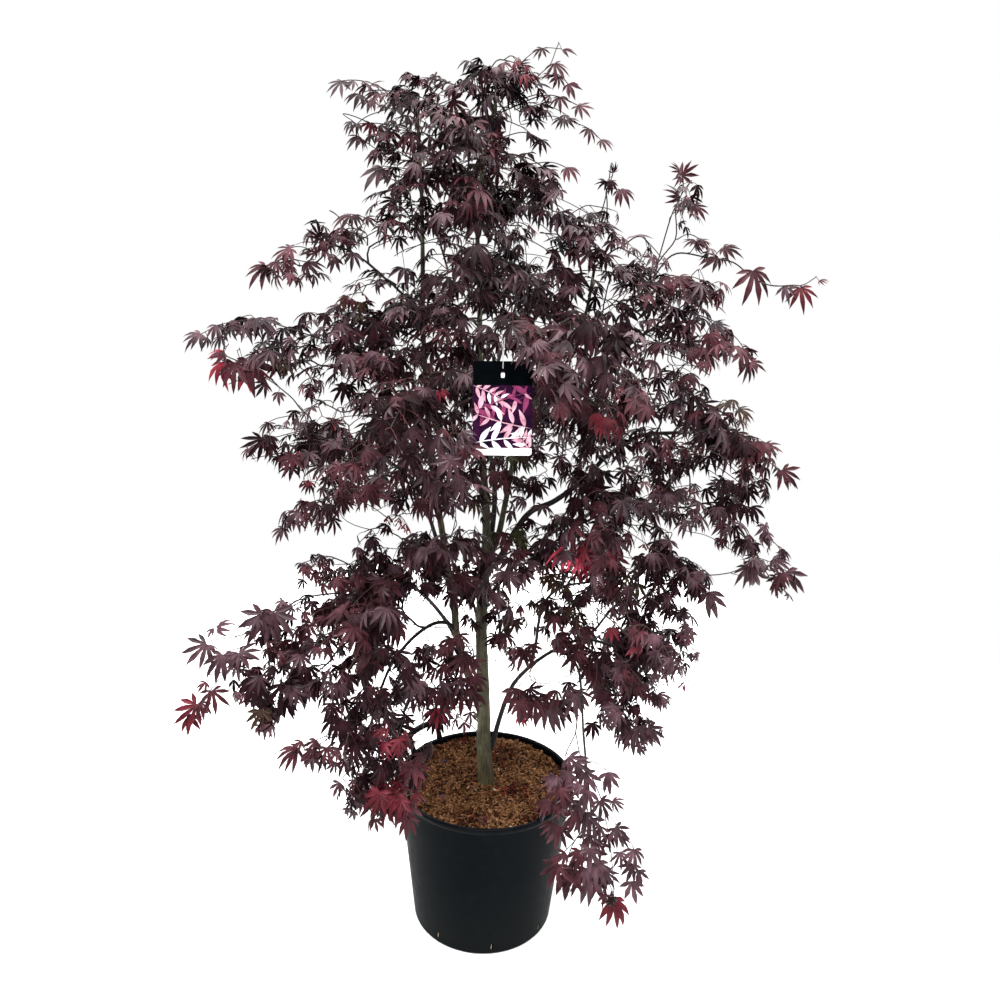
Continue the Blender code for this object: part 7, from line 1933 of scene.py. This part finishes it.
def build_label():
    w, t, h = TAG_SIZE
    m = label_matrix()
    curl = lambda x, z: -0.0030 * math.cos(math.pi * z / h) - 0.0012 * math.cos(math.pi * x / w)
    # card body: a gently bowed sheet with round corners and a punched slot
    r = 0.004
    outline = []
    for cx, cz, a0 in ((w / 2 - r, h / 2 - r, 0), (-w / 2 + r, h / 2 - r, 90), (-w / 2 + r, -h / 2 + r, 180), (w / 2 - r, -h / 2 + r, 270)):
        outline += [(cx + r * math.cos(math.radians(a0 + a)), cz + r * math.sin(math.radians(a0 + a))) for a in (0, 22, 45, 68, 90)]
    band_z = h / 2 - 0.0415
    strip_z = -h / 2 + 0.0130
    cols = np.linspace(-w / 2, w / 2, 27)

    def sheet(z0, z1, rows, y_front):
        zs = np.linspace(z0, z1, rows)
        verts, faces = [], []
        for z in zs:
            for x in cols:
                xx = x
                lim = h / 2 - abs(z)
                if lim < r:
                    inset = r - math.sqrt(max(0.0, r * r - (r - lim) ** 2))
                    xx = max(-w / 2 + inset, min(w / 2 - inset, x))
                verts.append(list(m @ Vector((xx, y_front + curl(xx, z), z))))
        c = len(cols)
        for i in range(rows - 1):
            for k in range(c - 1):
                x_mid, z_mid = (cols[k] + cols[k + 1]) / 2, (zs[i] + zs[i + 1]) / 2
                if abs(x_mid) < 0.0042 and abs(z_mid - (h / 2 - 0.0245)) < 0.0050:
                    continue                                          # the punched slot
                faces.append((i * c + k, i * c + k + 1, (i + 1) * c + k + 1, (i + 1) * c + k))
        return np.array(verts), np.array(faces)

    for name, mat, z0, z1, rows in (("label_band", "card_black", band_z, h / 2, 19), ("label_picture", "card_plum", strip_z, band_z, 30), ("label_strip", "card_white", -h / 2, strip_z, 8)):
        bag = Bag()
        v, f = sheet(z0, z1, rows, -t / 2)
        bag.add(v, f)
        v, f = sheet(z0, z1, rows, t / 2)
        bag.add(v, f[:, ::-1])
        obj = mesh_object(name, bag, mat)
        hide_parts("plant_label")
    # picture: sprigs of lance-shaped leaflets in three tints, laid out in arcs
    gen = np.random.default_rng(31)
    bags = {"card_magenta": Bag(), "card_pink": Bag(), "card_white": Bag()}
    x0, x1, z0, z1 = -w / 2 + 0.0006, w / 2 - 0.0006, strip_z + 0.0004, band_z - 0.0004

    def inlay(mat, outline, layer):
        outline = clip_to(outline, x0, x1, z0, z1)
        if len(outline) < 3:
            return
        pts = np.array([list(m @ Vector((x, -t / 2 - 0.00012 * layer + curl(x, z), z))) for x, z in outline])
        n = len(pts)
        k = np.arange(n)
        bags[mat].add(np.vstack([pts, pts.mean(0)]), np.stack([np.full(n, n), k, (k + 1) % n], 1))

    layer = 1
    sprigs = (((0.054, 0.030), 204, 0.106, "card_magenta", 0.034), ((-0.052, -0.006), 20, 0.104, "card_magenta", 0.032),
              ((-0.052, 0.040), -24, 0.058, "card_pink", 0.026), ((0.052, -0.034), 166, 0.106, "card_pink", 0.036),
              ((-0.052, -0.060), 6, 0.106, "card_white", 0.036), ((0.050, -0.072), 128, 0.040, "card_pink", 0.026))
    for (sx, sz), deg, length, mat, leaflet in sprigs:
        a = math.radians(deg)
        steps = 5
        inlay(mat, blade(sx, sz, a, length, 0.0009, 0.10), layer)
        for k in range(steps):
            t0 = (k + 0.6) / steps
            px, pz = sx + length * t0 * math.cos(a), sz + length * t0 * math.sin(a)
            ll = leaflet * (1 - 0.45 * t0) * gen.uniform(0.9, 1.1)
            for sgn in (-1, 1):
                layer += 1
                inlay(mat if gen.random() < 0.66 else {"card_magenta": "card_pink", "card_pink": "card_white", "card_white": "card_pink"}[mat],
                      blade(px, pz, a + sgn * math.radians(48 + 10 * gen.random()), ll, ll * 0.155, 0.12 * sgn), 1 + layer * 0.06)
    for mat, b in bags.items():
        obj = mesh_object("label_motif_" + mat[5:], b, mat)
        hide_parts("plant_label")
    # strap: a narrow flat loop that leaves a slit in the band and goes round the twig above
    bag = Bag()
    top = h / 2 - 0.0125
    reach = 0.0715
    loop, across = [], []
    for k in range(49):
        q = k / 48
        up = math.sin(math.pi * q)
        zz = top + reach * (1 - (1 - min(1.0, 1.25 * up)) ** 1.5) * (0.35 + 0.65 * up)
        yy = -t / 2 - 0.0010 + 0.0052 * q + curl(0, top) * (1 - up)
        xx = 0.0030 * math.sin(2 * math.pi * q) * up
        loop.append(m @ Vector((xx - 0.0008, yy, zz)))
        loop.append(m @ Vector((xx + 0.0008, yy, zz)))
    pts = np.array([list(p) for p in loop])
    k = np.arange(48)
    front = np.stack([2 * k, 2 * k + 1, 2 * k + 3, 2 * k + 2], 1)
    normal = np.array(m.to_3x3() @ Vector((0, -1, 0)))
    bag.add(pts, front)
    bag.add(pts - 0.0005 * normal, front[:, ::-1])
    obj = mesh_object("label_strap", bag, "strap_clear")
    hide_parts("plant_label")
    # the strap's end, pulled through the slot: a small pillow
    bag = Bag()
    rings = []
    for k in range(5):
        q = math.pi * k / 4
        grow = 0.55 + 0.45 * math.sin(q)
        rings.append([m @ Vector((0.0034 * grow * math.copysign(abs(math.cos(a)) ** 0.4, math.cos(a)), 0.0016 * math.cos(q) - 0.003,
                                  h / 2 - 0.0245 + 0.0042 * grow * math.copysign(abs(math.sin(a)) ** 0.4, math.sin(a))))
                      for a in np.radians(np.arange(0, 360, 22.5))])
    pts = np.array([list(p) for ring in rings for p in ring])
    faces = [(i * 16 + k, i * 16 + (k + 1) % 16, (i + 1) * 16 + (k + 1) % 16, (i + 1) * 16 + k) for i in range(4) for k in range(16)]
    bag.add(pts, np.array(faces))
    for row in (0, 4):
        ring = pts[row * 16:(row + 1) * 16]
        k = np.arange(16)
        bag.add(np.vstack([ring, ring.mean(0)]), np.stack([np.full(16, 16), k, (k + 1) % 16], 1))
    obj = mesh_object("label_strap_end", bag, "strap_white")
    fix_normals(obj)
    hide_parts("plant_label")
    return np.array(m @ Vector((0, 0, top + reach - 0.002)))


# ---------------------------------------------------------------- the plant
make_materials()
make_templates()
plant_limbs()
strap_top = build_label()
grow_to(strap_top, np.array([1.0, 0.0, -0.1]))
grow_shoots()
grow_foliage()
hang_keys()
build_pot()
for grip_name, degrees in GRIP_ANGLES.items():
    build_grip(grip_name, degrees)
build_mix()
for bark_name, bark_bag in build_wood().items():
    obj = mesh_object(bark_name + "_limbs", bark_bag, bark_name)
    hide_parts(*[n for n in LIMBS if LIMBS[n]["bark"] == bark_name])
mesh_object("twigs", twig_bag, "twig")
mesh_object("leaf_stalks", stalk_bag, "petiole")
first = True
total = 0
for tint, leaves in sorted(leaf_bags.items()):
    total += leaves.tris()
    obj = mesh_object(tint.replace("leaf_", "leaves_"), leaves, tint)
    if first:
        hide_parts(*MASS_NODES)
        first = False
mesh_object("winged_keys", key_bag, "key_red", smooth=False)
print("leaves", leaf_count, "leaf tris", total, "stalk tris", stalk_bag.tris(), "twig tris", twig_bag.tris(), "wood nodes", len(wood.pos))

# ---------------------------------------------------------------- floor, light, camera
bpy.ops.mesh.primitive_circle_add(vertices=96, radius=2.6, fill_type="NGON", location=(0, 0, -0.0005))
floor = bpy.context.object
floor.name = "floor"
floor.data.materials.append(MATS["floor"])

# the sky: white round about, brighter overhead
world = bpy.data.worlds.new("studio") if bpy.context.scene.world is None else bpy.context.scene.world
bpy.context.scene.world = world
world.use_nodes = True
nodes, links = world.node_tree.nodes, world.node_tree.links
bg = nodes["Background"]
bg.inputs["Color"].default_value = (1.0, 1.0, 1.0, 1.0)
way = nodes.new("ShaderNodeTexCoord")
split = nodes.new("ShaderNodeSeparateXYZ")
links.new(way.outputs["Generated"], split.inputs[0])
rise = nodes.new("ShaderNodeMapRange")
rise.interpolation_type = "SMOOTHSTEP"
rise.inputs["From Min"].default_value, rise.inputs["From Max"].default_value = 0.32, 1.0
rise.inputs["To Min"].default_value, rise.inputs["To Max"].default_value = 1.0, 8.0
links.new(split.outputs["Z"], rise.inputs["Value"])
links.new(rise.outputs["Result"], bg.inputs["Strength"])


def area(name, location, target, size, power, colour=(1, 1, 1)):
    data = bpy.data.lights.new(name, "AREA")
    data.energy, data.shape, data.size, data.color = power, "DISK", size, colour
    lamp = bpy.data.objects.new(name, data)
    bpy.context.scene.collection.objects.link(lamp)
    lamp.location = location
    lamp.rotation_euler = (Vector(target) - Vector(location)).to_track_quat("-Z", "Y").to_euler()
    return lamp


area("key", (-1.9, -2.4, 3.6), (0, 0, 1.1), 1.2, 90)
area("top", (0.9, -0.6, 4.2), (0, 0, 1.2), 1.6, 60)

cam_data = bpy.data.cameras.new("camera")
cam = bpy.data.objects.new("camera", cam_data)
bpy.context.scene.collection.objects.link(cam)
cam_data.sensor_width, cam_data.lens = 36.0, 30.6
cam_data.clip_start, cam_data.clip_end = 0.05, 100.0
right = Vector((1, 0, 0))
upv = Vector((0, math.sin(PITCH), math.cos(PITCH)))
fwd = Vector((0, math.cos(PITCH), -math.sin(PITCH)))
cx = right * math.cos(ROLL) + upv * math.sin(ROLL)
cy = -right * math.sin(ROLL) + upv * math.cos(ROLL)
rot = Matrix((cx, cy, -fwd)).transposed().to_4x4()
cam.matrix_world = Matrix.Translation(EYE.tolist()) @ rot
bpy.context.scene.camera = cam
bpy.context.scene.view_settings.view_transform = "Standard"
